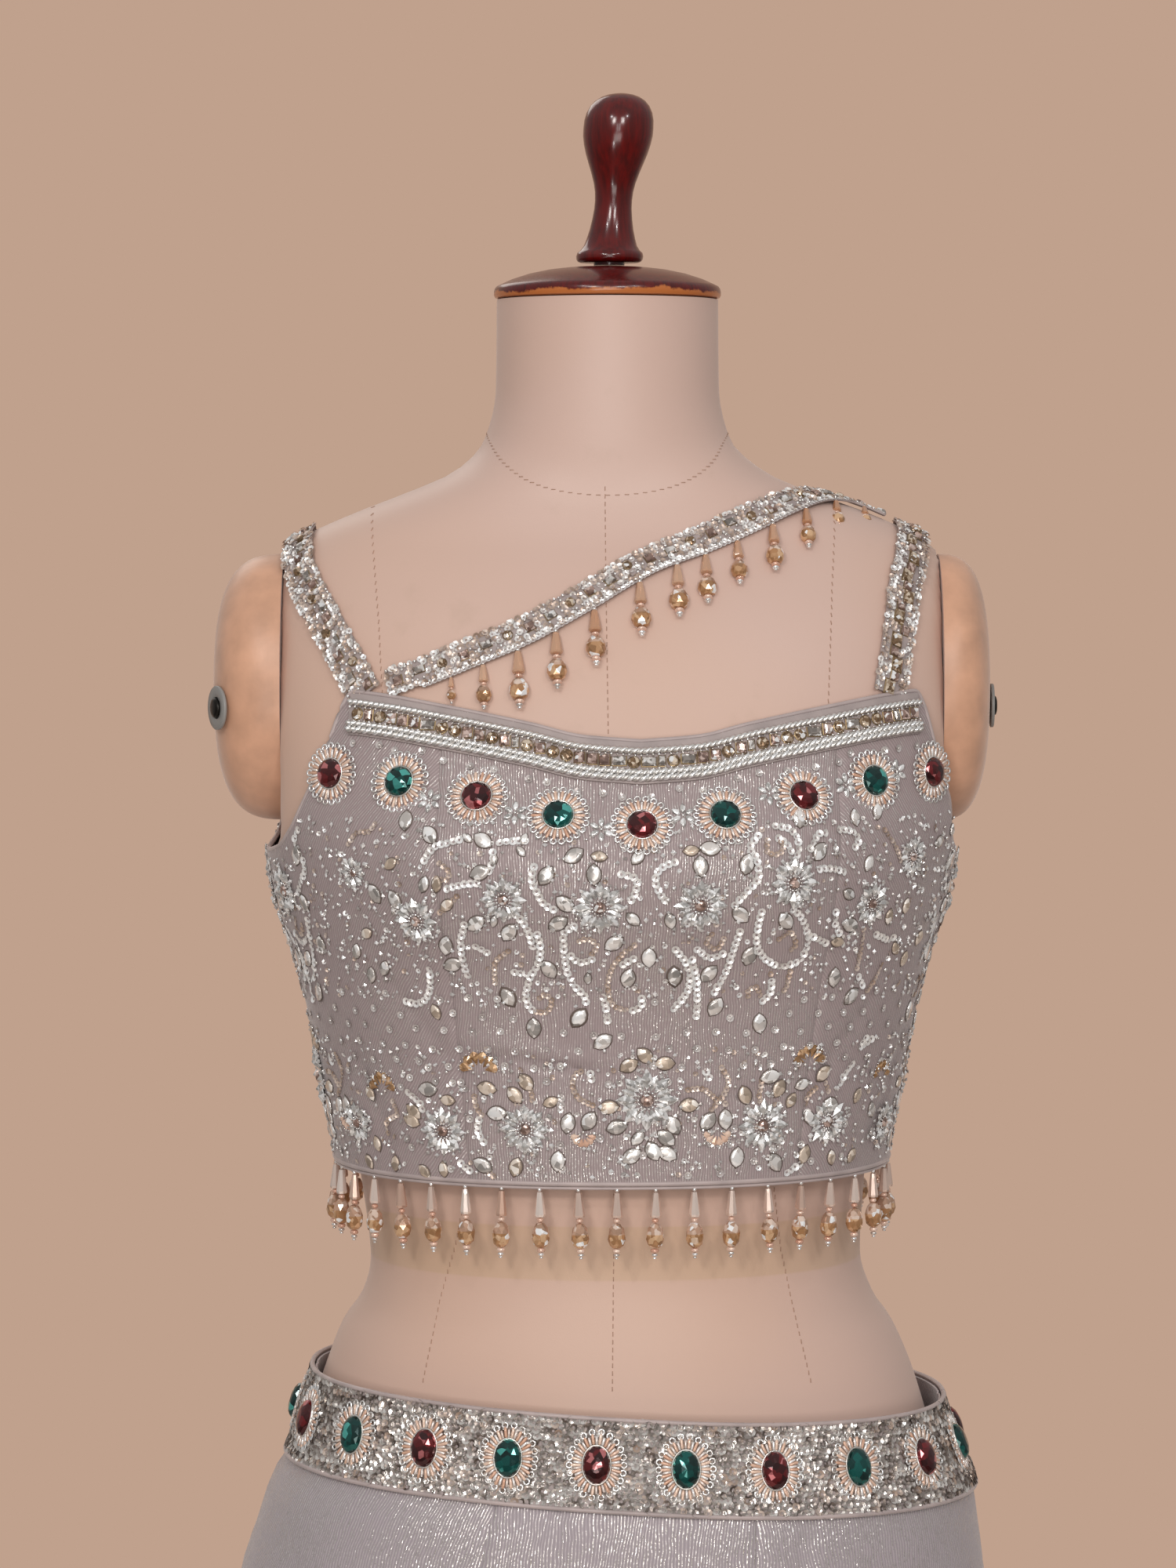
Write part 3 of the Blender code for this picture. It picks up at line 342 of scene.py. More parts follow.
def ring_points(profile: Profile, cups: Cups, z: float, shares: Array, grow: float = 0.0) -> Array:
    """Points of a level section at shares of its round.

    Args:
        profile: The sections' table.
        cups: How the bust shows.
        z: The section's height.
        shares: Shares of the round.
        grow: How far the section's reaches are grown.

    Returns:
        One point for each share.
    """
    row = profile.at(z)
    angle = np.linspace(0, math.pi, 361)
    power = 2 / row.square
    x = (row.half_width + grow) * np.abs(np.sin(angle)) ** power
    reach = np.where(angle < math.pi / 2, row.front + grow, row.back + grow)
    y = -np.sign(np.cos(angle)) * reach * np.abs(np.cos(angle)) ** power
    y = y - BUST.fullness(x, z, cups) * np.clip(np.cos(angle), 0, None) ** 0.5
    x = np.minimum(x, row.plate + grow)
    length = np.concatenate([[0], np.cumsum(np.hypot(np.diff(x), np.diff(y)))])
    half = length / (2 * length[-1])
    place = wrapped(shares)
    px = np.sign(place) * np.interp(np.abs(place), half, x) + row.shift
    py = np.interp(np.abs(place), half, y)
    return np.stack([px, py, np.full_like(px, z)], axis=-1)


@dataclass
class Spots:
    """Places on a surface, each with its own axes: right, up and out."""

    origin: Array
    right: Array
    up: Array
    out: Array

    def __len__(self) -> int:
        """How many places there are."""
        return len(self.origin)

    def spun(self, angles: Array | float) -> "Spots":
        """The places turned about their out axes, by angles in radians."""
        c, s = (np.broadcast_to(f(angles), len(self))[:, None] for f in (np.cos, np.sin))
        return Spots(self.origin, self.right * c + self.up * s, self.up * c - self.right * s, self.out)

    def moved(self, right: Array | float = 0.0, up: Array | float = 0.0, out: Array | float = 0.0) -> "Spots":
        """The places moved along their own axes."""
        r, u, o = (np.broadcast_to(value, len(self))[:, None] for value in (right, up, out))
        origin = self.origin + self.right * r + self.up * u + self.out * o
        return Spots(origin, self.right, self.up, self.out)

    def tilted(self, rng: Random, most: float) -> "Spots":
        """The places with their out axes tipped at random.

        Args:
            rng: Source of the tilts.
            most: Spread of the tilt in radians.

        Returns:
            New places.
        """
        tip = rng.normal(0, most, (len(self), 2))
        out = unit(self.out + self.right * tip[:, :1] + self.up * tip[:, 1:])
        right = unit(self.right - out * np.sum(self.right * out, axis=1, keepdims=True))
        return Spots(self.origin, right, np.cross(out, right), out)

    def taken(self, index: Array) -> "Spots":
        """Some of the places."""
        return Spots(self.origin[index], self.right[index], self.up[index], self.out[index])

    def arm(self, angles: Array, reach: Array | float) -> "Spots":
        """Places round each of these, at the angles, their up axes pointing away from it.

        Args:
            angles: Angles from the right axis, in radians.
            reach: Distance from the centre, one value or one for each angle.

        Returns:
            len(self) times len(angles) places.
        """
        index = np.repeat(np.arange(len(self)), len(angles))
        turned = self.taken(index).spun(np.tile(angles, len(self)) - math.pi / 2)
        return turned.moved(up=np.tile(np.broadcast_to(reach, len(angles)), len(self)))


class Surface:
    """A closed surface round the body, read at any share of the round and any height."""

    def __init__(
        self, ring: Callable[[float, Array], Array], low: float, high: float, rows: int, wall: float = 0.0,
    ) -> None:
        """Samples the surface.

        Args:
            ring: Gives the points of the section at a height for shares of the round.
            low: Lowest height.
            high: Highest height.
            rows: How many heights are sampled.
            wall: How far the surface is moved out of the ring.
        """
        columns = 960
        self.low, self.high = low, high
        self.heights = np.linspace(low, high, rows)
        shares = np.arange(columns) / columns - 0.5
        self.points = np.stack([ring(float(z), shares) for z in self.heights])
        round_way = np.roll(self.points, -1, 1) - np.roll(self.points, 1, 1)
        self.normals = unit(np.cross(round_way, np.gradient(self.points, axis=0)))
        self.points = self.points + self.normals * wall
        self.rounds = np.linalg.norm(np.roll(self.points, -1, 1) - self.points, axis=2).sum(axis=1)

    def _read(self, table: Array, share: Array, z: Array) -> Array:
        """Reads a table between its samples."""
        rows, columns = table.shape[:2]
        column = (share + 0.5) % 1 * columns
        row = np.clip((z - self.low) / (self.high - self.low), 0, 1) * (rows - 1)
        c = np.floor(column).astype(int)
        r = np.minimum(np.floor(row).astype(int), rows - 2)
        u, v = (column - c)[..., None], (row - r)[..., None]
        c, after = c % columns, (c + 1) % columns
        lower = table[r, c] * (1 - u) + table[r, after] * u
        upper = table[r + 1, c] * (1 - u) + table[r + 1, after] * u
        return lower * (1 - v) + upper * v

    def at(self, share: Array, z: Array, out: Array | float = 0.0) -> Array:
        """Points at the shares and heights, moved out along the surface's normal."""
        share, z, out = np.broadcast_arrays(share, z, out)
        return self._read(self.points, share, z) + unit(self._read(self.normals, share, z)) * out[..., None]

    def spots(self, share: Array, z: Array, out: Array | float = 0.0) -> Spots:
        """Places at the shares and heights, with the surface's own axes."""
        share, z, out = (np.atleast_1d(a) for a in np.broadcast_arrays(share, z, out))
        normal = unit(self._read(self.normals, share, z))
        right = unit(np.cross(UP, normal))
        return Spots(self.at(share, z, out), right, np.cross(normal, right), normal)


@dataclass(frozen=True)
class Finish:
    """A surface finish. Its even values go on the shader's own sockets."""

    name: str
    colour: str
    roughness: float
    metallic: float = 0.0
    ior: float = 1.5
    transmission: float = 0.0
    coat: float = 0.0
    sheen: float = 0.0

    def material(self) -> bpy.types.Material:
        """The finish's material, made once."""
        made = bpy.data.materials.get(self.name)
        if made is not None:
            return made
        made = bpy.data.materials.new(self.name)
        made.use_nodes = True
        shader = made.node_tree.nodes["Principled BSDF"]
        values = {
            "Base Color": linear(self.colour),
            "Roughness": self.roughness,
            "Metallic": self.metallic,
            "IOR": self.ior,
            "Transmission Weight": self.transmission,
            "Coat Weight": self.coat,
            "Coat Roughness": 0.06,
            "Sheen Weight": self.sheen,
            "Sheen Roughness": 0.4,
        }
        for name, value in values.items():
            shader.inputs[name].default_value = value
        self.dress(made.node_tree, shader)
        made.diffuse_color = linear(self.colour)
        return made

    def dress(self, tree: Tree, shader: Node) -> None:
        """Adds a slight unevenness, which keeps the gloss from looking machine made."""
        place = add_node(tree, "TexCoord", output="Object")
        noise = add_node(tree, "TexNoise", {"Vector": place, "Scale": 1 / (2.5 * MM), "Detail": 2.0})
        gloss = add_node(tree, "MapRange", {0: noise, 3: self.roughness * 0.8, 4: self.roughness * 1.25})
        fill(tree, shader, {"Roughness": gloss})


@dataclass(frozen=True)
class LurexRib(Finish):
    """Georgette woven with silver metal thread and set in fine crinkled ribs.

    The eye sees a matt mauve-grey ground, thin upright ribs with painted shade in their hollows and painted light
    on their crests, and broken lines of glitter that light up where the cloth turns to the lamps. lean turns the
    ribs, as where a side panel is cut on the cross.
    """

    silver: str = "#d9d4cf"
    rib_mm: float = 1.25
    flake_mm: float = 0.75
    lean: float = 0.0
    glitter: float = 0.5

    def dress(self, tree: Tree, shader: Node) -> None:
        """Adds the ribs with their painted shade and light, the broken threads and their flakes of light."""
        cloth = add_node(tree, "UVMap", uv_map="cloth")
        scale = (1 / MM, 1 / MM, 1)
        in_mm = add_node(tree, "Mapping", {"Vector": cloth, "Rotation": (0, 0, self.lean), "Scale": scale})
        drift = add_node(tree, "TexNoise", {"Vector": in_mm, "Scale": 0.045, "Detail": 2.0}, "Color")
        bent = add_node(tree, "VectorMath", {0: drift, 1: (5, 0, 0), 2: in_mm}, operation="MULTIPLY_ADD")
        # A wave's period is 0.314 of its unit at scale 1. Real ribs are near 1 mm and are drawn coarser.
        wave = {"Vector": bent, "Scale": 0.314 / self.rib_mm, "Distortion": 1.1, "Detail": 1.0, "Detail Scale": 0.6}
        rib = add_node(tree, "TexWave", wave, "Fac")
        long_way = add_node(tree, "VectorMath", {0: bent, 1: (1.0, 0.22, 1.0)}, operation="MULTIPLY")
        breaks = add_node(tree, "TexNoise", {"Vector": long_way, "Scale": 0.75, "Detail": 3.0, "Roughness": 0.7})
        patches = add_node(tree, "TexNoise", {"Vector": in_mm, "Scale": 0.02, "Detail": 2.0})
        thread = add_node(tree, "Math", {0: rib, 1: breaks}, operation="MULTIPLY")
        lifted = add_node(tree, "Math", {0: patches, 1: 0.35, 2: thread}, operation="MULTIPLY_ADD")
        edge = 0.72 - 0.2 * self.glitter
        shown = add_node(tree, "MapRange", {0: lifted, 1: edge, 2: edge + 0.14, 3: 0.0, 4: 1.0})
        flakes = add_node(tree, "TexVoronoi", {"Vector": bent, "Scale": 1 / self.flake_mm}, "Color")
        tip = add_node(tree, "VectorMath", {0: flakes, 1: (0.5, 0.5, 0.5)}, operation="SUBTRACT")
        bump = add_node(tree, "Bump", {"Strength": 0.38, "Distance": 0.30 * MM, "Height": rib})
        leaning = add_node(tree, "VectorMath", {0: tip, "Scale": 0.55}, operation="SCALE")
        masked = add_node(tree, "VectorMath", {0: leaning, 1: shown, 2: bump}, operation="MULTIPLY_ADD")
        # The ground is painted darker in the ribs' hollows and lighter on their crests: painted shade and light.
        ground = add_node(tree, "ValToRGB", {0: rib}, stops=[
            (0.0, darker(self.colour, 0.93)), (0.6, self.colour), (1.0, darker(self.colour, 1.05)),
        ])
        fill(tree, shader, {
            "Base Color": add_node(tree, "Mix", {0: shown, 6: ground, 7: linear(self.silver)}, 2, data_type="RGBA"),
            "Metallic": add_node(tree, "Math", {0: shown, 1: 0.85}, operation="MULTIPLY"),
            "Roughness": add_node(tree, "MapRange", {0: shown, 3: self.roughness, 4: 0.26}),
            "Normal": add_node(tree, "VectorMath", {0: masked}, operation="NORMALIZE"),
        })


@dataclass(frozen=True)
class Satin(Finish):
    """Woven satin: a smooth face with a soft long highlight and faint pulls."""

    pull_mm: float = 14.0

    def dress(self, tree: Tree, shader: Node) -> None:
        """Adds faint pulls with painted shade and light, and a thread grain drawn at half a millimetre."""
        place = add_node(tree, "TexCoord", output="Object")
        pulls = add_node(tree, "TexNoise", {"Vector": place, "Scale": 1 / (self.pull_mm * MM), "Detail": 3.0})
        grain = add_node(tree, "TexNoise", {"Vector": place, "Scale": 1 / (0.5 * MM), "Detail": 1.0})
        height = add_node(tree, "Math", {0: grain, 1: 0.04, 2: pulls}, operation="MULTIPLY_ADD")
        # The colour follows the pulls: painted shade in their hollows and painted light on their crests.
        stops = [(0.3, darker(self.colour, 0.93)), (0.7, darker(self.colour, 1.04))]
        fill(tree, shader, {
            "Base Color": add_node(tree, "ValToRGB", {0: pulls}, stops=stops),
            "Normal": add_node(tree, "Bump", {"Strength": 0.30, "Distance": 1.2 * MM, "Height": height}),
        })


@dataclass(frozen=True)
class Jersey(Finish):
    """Stretch jersey over padding: a matt, even skin with fine loops, faint handling marks and a waist tape."""

    mark: str = "#ab927c"
    tape: str = "#c4a482"
    tint: str = "#cda483"
    tape_low: float = 1.0735
    tape_high: float = 1.0990

    def dress(self, tree: Tree, shader: Node) -> None:
        """Adds the loops, drawn at 0.8 mm, the marks and the tape that shows through."""
        place = add_node(tree, "TexCoord", output="Object")
        marks = add_node(tree, "TexNoise", {"Vector": place, "Scale": 14.0, "Detail": 6.0, "Roughness": 0.62})
        worn = add_node(tree, "MapRange", {0: marks, 1: 0.60, 2: 0.78, 3: 0.0, 4: 0.38})
        loops = add_node(tree, "TexNoise", {"Vector": place, "Scale": 1 / (0.8 * MM), "Detail": 1.0})
        broad = add_node(tree, "TexNoise", {"Vector": place, "Scale": 4.5, "Detail": 2.0})
        warmer = add_node(tree, "MapRange", {0: broad, 1: 0.42, 2: 0.68, 3: 0.0, 4: 0.32})
        height = add_node(tree, "SeparateXYZ", {0: place}, "Z")
        low, high = (
            add_node(tree, "MapRange", {0: height, 1: at, 2: at + MM, 3: start, 4: 0.7 - start})
            for at, start in ((self.tape_low, 0.0), (self.tape_high, 0.7))
        )
        taped = add_node(tree, "Math", {0: low, 1: high}, operation="MULTIPLY")
        colour: object = linear(self.colour)
        for share, other in ((warmer, self.tint), (worn, self.mark), (taped, self.tape)):
            colour = add_node(tree, "Mix", {0: share, 6: colour, 7: linear(other)}, 2, data_type="RGBA")
        bump = add_node(tree, "Bump", {"Strength": 0.12, "Distance": 0.25 * MM, "Height": loops})
        fill(tree, shader, {"Base Color": colour, "Normal": bump})


@dataclass(frozen=True)
class Foil(Finish):
    """Metal-coated plastic or foil-backed glass in many small pieces, no two of which match."""

    other: str = "#ffffff"

    def dress(self, tree: Tree, shader: Node) -> None:
        """Gives each piece its own colour between the two, and its own gloss."""
        chance = add_node(tree, "NewGeometry", output="Random Per Island")
        shades = {0: chance, 6: linear(self.colour), 7: linear(self.other)}
        fill(tree, shader, {
            "Base Color": add_node(tree, "Mix", shades, 2, data_type="RGBA"),
            "Roughness": add_node(
                tree, "MapRange", {0: chance, 3: self.roughness * 1.5, 4: self.roughness * 0.7}),
        })


@dataclass(frozen=True)
class CutGlass(Foil):
    """Foil-backed cut glass whose inner facets carry painted shade and painted highlights, some dark, some almost
    white.
    """

    facet_mm: float = 2.6
    painted_glint: str = "#ffffff"
    painted_shade_share: float = 0.75

    def dress(self, tree: Tree, shader: Node) -> None:
        """Gives each inner facet a painted shade or painted highlight of its own."""
        place = add_node(tree, "TexCoord", output="Object")
        cells = add_node(tree, "TexVoronoi", {"Vector": place, "Scale": 1 / (self.facet_mm * MM)}, "Color")
        chance = add_node(tree, "SeparateXYZ", {0: cells}, "X")
        # Cells run from painted shade, darker than the glass, through its own colour to a pale painted highlight.
        stops = [
            (0.0, darker(self.colour, self.painted_shade_share)), (0.5, self.colour), (0.75, self.other), (0.90, self.other),
            (0.92, self.painted_glint),
        ]
        fill(tree, shader, {"Base Color": add_node(tree, "ValToRGB", {0: chance}, stops=stops)})


@dataclass(frozen=True)
class Varnish(Finish):
    """Turned hardwood, stained and varnished, with the stain rubbed through at its lower edge."""

    bare: str = "#b86a34"
    rim_height: float = -1.0
    rim_depth: float = 0.006

    def dress(self, tree: Tree, shader: Node) -> None:
        """Adds the grain, about 2 mm wide, and the worn rim."""
        place = add_node(tree, "TexCoord", output="Object")
        long_way = add_node(tree, "VectorMath", {0: place, 1: (1.0, 1.0, 0.12)}, operation="MULTIPLY")
        grain = add_node(tree, "TexNoise", {"Vector": long_way, "Scale": 1 / (2 * MM), "Detail": 4.0})
        stops = [(0.35, darker(self.colour, 0.82)), (0.65, darker(self.colour, 1.12))]
        stain = add_node(tree, "ValToRGB", {0: grain}, stops=stops)
        height = add_node(tree, "SeparateXYZ", {0: place}, "Z")
        rub = add_node(tree, "TexNoise", {"Vector": place, "Scale": 60.0, "Detail": 5.0, "Roughness": 0.7})
        rim = self.rim_height
        near = add_node(tree, "MapRange", {0: height, 1: rim, 2: rim + self.rim_depth, 3: 0.62, 4: 0.0})
        both = add_node(tree, "Math", {0: near, 1: rub}, operation="ADD")
        worn = add_node(tree, "MapRange", {0: both, 1: 0.82, 2: 0.92, 3: 0.0, 4: 1.0})
        shades = {0: worn, 6: stain, 7: linear(self.bare)}
        fill(tree, shader, {"Base Color": add_node(tree, "Mix", shades, 2, data_type="RGBA")})


@dataclass(frozen=True)
class PowderCoat(Finish):
    """Baked powder paint on steel: black with a fine orange-peel skin."""

    def dress(self, tree: Tree, shader: Node) -> None:
        """Adds the skin's low bumps, about 1 mm apart."""
        place = add_node(tree, "TexCoord", output="Object")
        peel = add_node(tree, "TexNoise", {"Vector": place, "Scale": 1 / MM, "Detail": 2.0})
        bump = add_node(tree, "Bump", {"Strength": 0.25, "Distance": 0.3 * MM, "Height": peel})
        fill(tree, shader, {"Normal": bump})


def darker(hex_colour: str, share: float) -> str:
    """The colour at this share of its brightness, or brighter when the share is over 1."""
    channels = [min(255, round(int(hex_colour[i:i + 2], 16) * share)) for i in (1, 3, 5)]
    return "#%02x%02x%02x" % tuple(channels)


# Silver lurex in crinkled georgette: dull mauve from afar, with thin lines of sparks where it turns to a lamp.
CLOTH = "#9e8e8e"
RIB_CLOTH = LurexRib("lurex_rib_georgette", CLOTH, 0.62, sheen=0.35, glitter=0.66)
LEFT_CROSS_CLOTH = LurexRib("lurex_cut_on_the_cross_left", CLOTH, 0.62, sheen=0.35, lean=0.62, glitter=0.45)
RIGHT_CROSS_CLOTH = LurexRib("lurex_cut_on_the_cross_right", CLOTH, 0.62, sheen=0.35, lean=-0.62, glitter=0.45)
SKIRT_CLOTH = LurexRib("lurex_skirt_georgette", "#a69ba0", 0.60, sheen=0.35, rib_mm=1.5, glitter=0.92)
# Satin edges catch one soft line of light, and the net ground stays matt under the beads.
PIPING = Satin("mauve_satin_piping", "#b3a3a1", 0.42, sheen=0.3)
BACKING = Satin("mauve_net_ground", "#a59895", 0.65)
# Silvered cord and cup sequins: each throws back its own small glare, so a patch of them looks alive.
ROPE = Foil("silver_metal_cord", "#cfcac4", 0.24, metallic=0.85, other="#ffffff")
SEQUIN = Foil("silver_cup_sequin", "#e9e5e1", 0.28, metallic=0.5, other="#ffffff", coat=0.3)
WARM_SEQUIN = Foil("tan_cup_sequin", "#ae9787", 0.28, metallic=0.5, other="#e2d2c7")
MIRROR = Foil("peach_silvered_glass", "#d6b19d", 0.12, metallic=0.6, other="#fff1e8", coat=0.3)
# Pearl and tan foil leaves: milky faces broken into a few flats, painted bright or painted dark, one for each inner
# facet.
PEARL_LEAF = CutGlass(
    "pearl_foil_leaf", "#ddd6d1", 0.22, metallic=0.45, other="#fffdfb", coat=0.3, facet_mm=3.2, painted_shade_share=0.68,
)
TAN_LEAF = CutGlass(
    "tan_foil_leaf", "#c9b6a3", 0.28, metallic=0.3, other="#e3d4c5", coat=0.3, facet_mm=3.2, painted_glint="#fbf3ea",
)
# Clear cut glass over foil: small hard painted glints and painted shade, from grey to white, that change with each
# facet.
ICE = CutGlass(
    "ice_clear_cut_glass", "#cfcdca", 0.14, metallic=0.5, other="#ffffff", coat=0.4, facet_mm=1.6, painted_shade_share=0.8,
)
CHIPS = Foil("strewn_glass_chips", "#b3aca8", 0.16, metallic=0.55, other="#ffffff")
STONE = CutGlass("foiled_clear_stone", "#aaa19a", 0.10, metallic=0.7, other="#fbf7f3", coat=0.4, facet_mm=2.2)
ROSE_STONE = CutGlass("foiled_rose_stone", "#9c7f74", 0.12, metallic=0.55, other="#dcc4ba", coat=0.4, facet_mm=1.8)
CHAMPAGNE_STONE = CutGlass(
    "foiled_champagne_stone", "#8d7053", 0.10, metallic=0.6, other="#e8d6c0", coat=0.4, facet_mm=1.6,
)
# Lined bugles, petals and seed beads: a warm core seen through a glassy skin.
BUGLE = Foil("peach_lined_bugle", "#cfa085", 0.16, metallic=0.15, other="#ecd0bd", coat=0.5)
PALE_BUGLE = Foil("rose_lined_bugle", "#ead9cf", 0.14, metallic=0.4, other="#ffffff", coat=0.5)
# Amber petals are cut glass with painted shade and painted highlights on their facets.
AMBER = CutGlass(
    "amber_glass_petal", "#a07850", 0.16, metallic=0.3, other="#cfa880", coat=0.4, facet_mm=1.8, painted_shade_share=0.85,
)
SEED = Foil("silver_lined_seed_bead", "#dad4cf", 0.14, metallic=0.75, other="#ffffff", coat=0.4)
CLEAR_CUP = Foil("clear_cup_sequin", "#b8afad", 0.16, metallic=0.4, other="#ded8d5", coat=0.5)
# Settings and dulled sequins: darker metal against which stones and leaves stand out. The flat dark rim under each
# leaf is painted shade.
BEZEL = Foil("silver_setting", "#c4bfb9", 0.25, metallic=0.85, other="#efebe6")
BRASS = Foil("old_brass_setting", "#6f5c45", 0.35, metallic=0.7, other="#a08a68")
SILVER_CUP = Foil("dulled_silver_cup_sequin", "#7d7068", 0.22, metallic=0.85, other="#f4efea")
LEAF_SHADE_RIM = Finish("painted_leaf_shade_rim", "#62544d", 0.6)
# The set stones and drops: deep, wet colour; on the cut glass one or two facets carry a pale painted highlight,
# others painted shade.
GARNET = CutGlass(
    "foil_backed_garnet_glass", "#4a070c", 0.06, metallic=0.6, other="#75161c", coat=0.7, facet_mm=3.4,
    painted_glint="#c9787a", painted_shade_share=0.6,
)
EMERALD = CutGlass(
    "foil_backed_emerald_glass", "#003f3c", 0.06, metallic=0.6, other="#005d57", coat=0.6, facet_mm=3.4,
    painted_glint="#55b5ac", painted_shade_share=0.6,
)
CRYSTAL = Foil("peach_cut_crystal", "#dba379", 0.05, ior=1.54, transmission=0.45, other="#f3cfb2", coat=0.6)
ROSE_GREY_GLASS = CutGlass(
    "rose_grey_cut_glass", "#cba389", 0.06, metallic=0.4, other="#eed6c6", coat=0.5, facet_mm=2.4, painted_shade_share=0.85,
)
AMBER_GLASS = CutGlass(
    "amber_cut_glass", "#ba8a5f", 0.06, metallic=0.35, other="#dfb68e", coat=0.5, facet_mm=2.4, painted_shade_share=0.85,
)
GLINT = Foil("rose_lined_crystal", "#dba992", 0.08, metallic=0.35, other="#f6d9c8", coat=0.5)
# The form: matt padded jersey, arm caps in satin with a broad sheen, and dull seam thread.
SKIN_JERSEY = Jersey("peach_stretch_jersey", "#cfb1a4", 0.46, sheen=0.25)
ARM_SATIN = Satin("peach_satin", "#cf9f82", 0.38, sheen=0.3)
SEAM_THREAD = Finish("brown_seam_thread", "#ad8b77", 0.7)
# Varnished turned wood: near black with a red heart and a sharp highlight.
MAHOGANY_RED = "#540402"
MAHOGANY = Varnish("varnished_mahogany", MAHOGANY_RED, 0.18, coat=0.1)
WORN_MAHOGANY = Varnish("varnished_mahogany_worn_rim", MAHOGANY_RED, 0.24, coat=0.1, rim_height=1.5335)
# Nylon, steel and powder coat: grey and matt, dark and glinting, black with a soft broken gleam.
WASHER = Finish("grey_nylon_washer", "#8d8b88", 0.4)
SCREW = Finish("blackened_screw", "#2a2826", 0.35, metallic=0.9)
IRON = PowderCoat("black_powder_coat", "#1b1b1c", 0.5)


def ride(piece: Piece, replaces: Sequence[str] = ()) -> Piece:
    """Puts a piece on the part's body, hides the solids that it stands for and logs its faces.

    Args:
        piece: The piece.
        replaces: Solids that it stands for.

    Returns:
        The same piece.
    """
    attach(piece, ROOT)
    if replaces:
        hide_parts(*replaces)
    LOG.info("%s: %d faces", piece.name, len(piece.data.polygons))
    return piece


def mesh_piece(
    name: str, points: Array, faces: Sequence[Sequence[int]], finishes: Sequence[Finish],
    indexes: Array | None = None, smooth: Array | bool = True, sharp: float | None = None,
) -> Piece:
    """Makes an object from points and faces.

    Args:
        name: The piece's name.
        points: Its points.
        faces: Its faces, as point numbers.
        finishes: Its finishes.
        indexes: Which finish each face has.
        smooth: Whether each face is shaded smooth.
        sharp: Angle in degrees past which an edge is shaded sharp.

    Returns:
        The object.
    """
    data = bpy.data.meshes.new(name)
    data.from_pydata(np.asarray(points).tolist(), [], faces)
    for finish in finishes:
        data.materials.append(finish.material())
    if indexes is not None:
        data.polygons.foreach_set("material_index", np.asarray(indexes, dtype=np.int32))
    data.polygons.foreach_set("use_smooth", np.broadcast_to(smooth, len(faces)).astype(bool))
    if sharp is not None:
        data.set_sharp_from_angle(angle=math.radians(sharp))
    data.update()
    piece = bpy.data.objects.new(name, data)
    bpy.context.scene.collection.objects.link(piece)
    return piece


def shell(name: str, outer: Array, inner: Array, finish: Finish, cloth: Array) -> Piece:
    """A thin closed wall between two grids of points, both from the top row down.

    Args:
        name: The piece's name.
        outer: Grid of the outer face.
        inner: Grid of the inner face, as large.
        finish: Its finish.
        cloth: The outer grid's place on the flat cloth, in metres, for the weave.

    Returns:
        The object.
    """
    rows, columns = outer.shape[:2]
    number = np.arange(rows * columns).reshape(rows, columns)
    back = number + rows * columns
    faces = np.stack([number[:-1, :-1], number[1:, :-1], number[1:, 1:], number[:-1, 1:]], -1).reshape(-1, 4)
    behind = np.stack([back[:-1, :-1], back[:-1, 1:], back[1:, 1:], back[1:, :-1]], -1).reshape(-1, 4)
    rim = np.concatenate([number[0, :], number[1:, -1], number[-1, -2::-1], number[-2:0:-1, 0]])
    after = np.roll(rim, -1)
    edge = np.stack([rim, after, after + rows * columns, rim + rows * columns], -1)
    points = np.concatenate([outer.reshape(-1, 3), inner.reshape(-1, 3)])
    every = np.concatenate([faces, behind, edge])
    piece = mesh_piece(name, points, every.tolist(), [finish], sharp=50)
    layer = piece.data.uv_layers.new(name="cloth")
    flat = np.tile(cloth.reshape(-1, 2), (2, 1))
    layer.data.foreach_set("uv", flat[every.ravel()].astype(np.float32).ravel())
    return piece


def skin(name: str, rings: Array, finish: Finish, sharp: float) -> Piece:
    """A closed skin over rings of points, with a flat lid on the first ring and the last.

    Args:
        name: The piece's name.
        rings: Rows of points, one row for each ring, all round the same way.
        finish: Its finish.
        sharp: Angle in degrees past which an edge is shaded sharp.

    Returns:
        The object.
    """
    rows, columns = rings.shape[:2]
    number = np.arange(rows * columns).reshape(rows, columns)
    after = np.roll(number, -1, 1)
    faces = np.stack([number[:-1], number[1:], after[1:], after[:-1]], -1).reshape(-1, 4).tolist()
    faces += [number[0].tolist(), number[-1][::-1].tolist()]
    return mesh_piece(name, rings.reshape(-1, 3), faces, [finish], sharp=sharp)


def tube_mesh(path: Array, radius: float, closed: bool, sides: int) -> tuple[Array, list[list[int]]]:
    """Points and faces of a round cord along a path. Its section keeps one way up along the path.

    Args:
        path: Points of its middle.
        radius: Its radius.
        closed: Whether its ends meet.
        sides: Sides of its section.

    Returns:
        The points and the faces.
    """
    if closed:
        ahead = np.roll(path, -1, 0) - np.roll(path, 1, 0)
    else:
        ahead = np.gradient(path, axis=0)
    ahead = unit(ahead)
    guide = np.where(np.abs(ahead[:, 2:]) > 0.93, [[1.0, 0.0, 0.0]], [[0.0, 0.0, 1.0]])
    side = unit(np.cross(ahead, guide))
    over = np.cross(side, ahead)
    turn = even_turns(sides)
    ring = side[:, None] * np.cos(turn)[None, :, None] + over[:, None] * np.sin(turn)[None, :, None]
    points = (path[:, None] + ring * radius).reshape(-1, 3)
    count = len(path)
    last = count if closed else count - 1
    faces = []
    for i in range(last):
        here, there = i * sides, (i + 1) % count * sides
        faces += [[here + k, here + (k + 1) % sides, there + (k + 1) % sides, there + k] for k in range(sides)]
    if not closed:
        faces.append(list(range(sides))[::-1])
        faces.append(list(range((count - 1) * sides, count * sides)))
    return points, faces


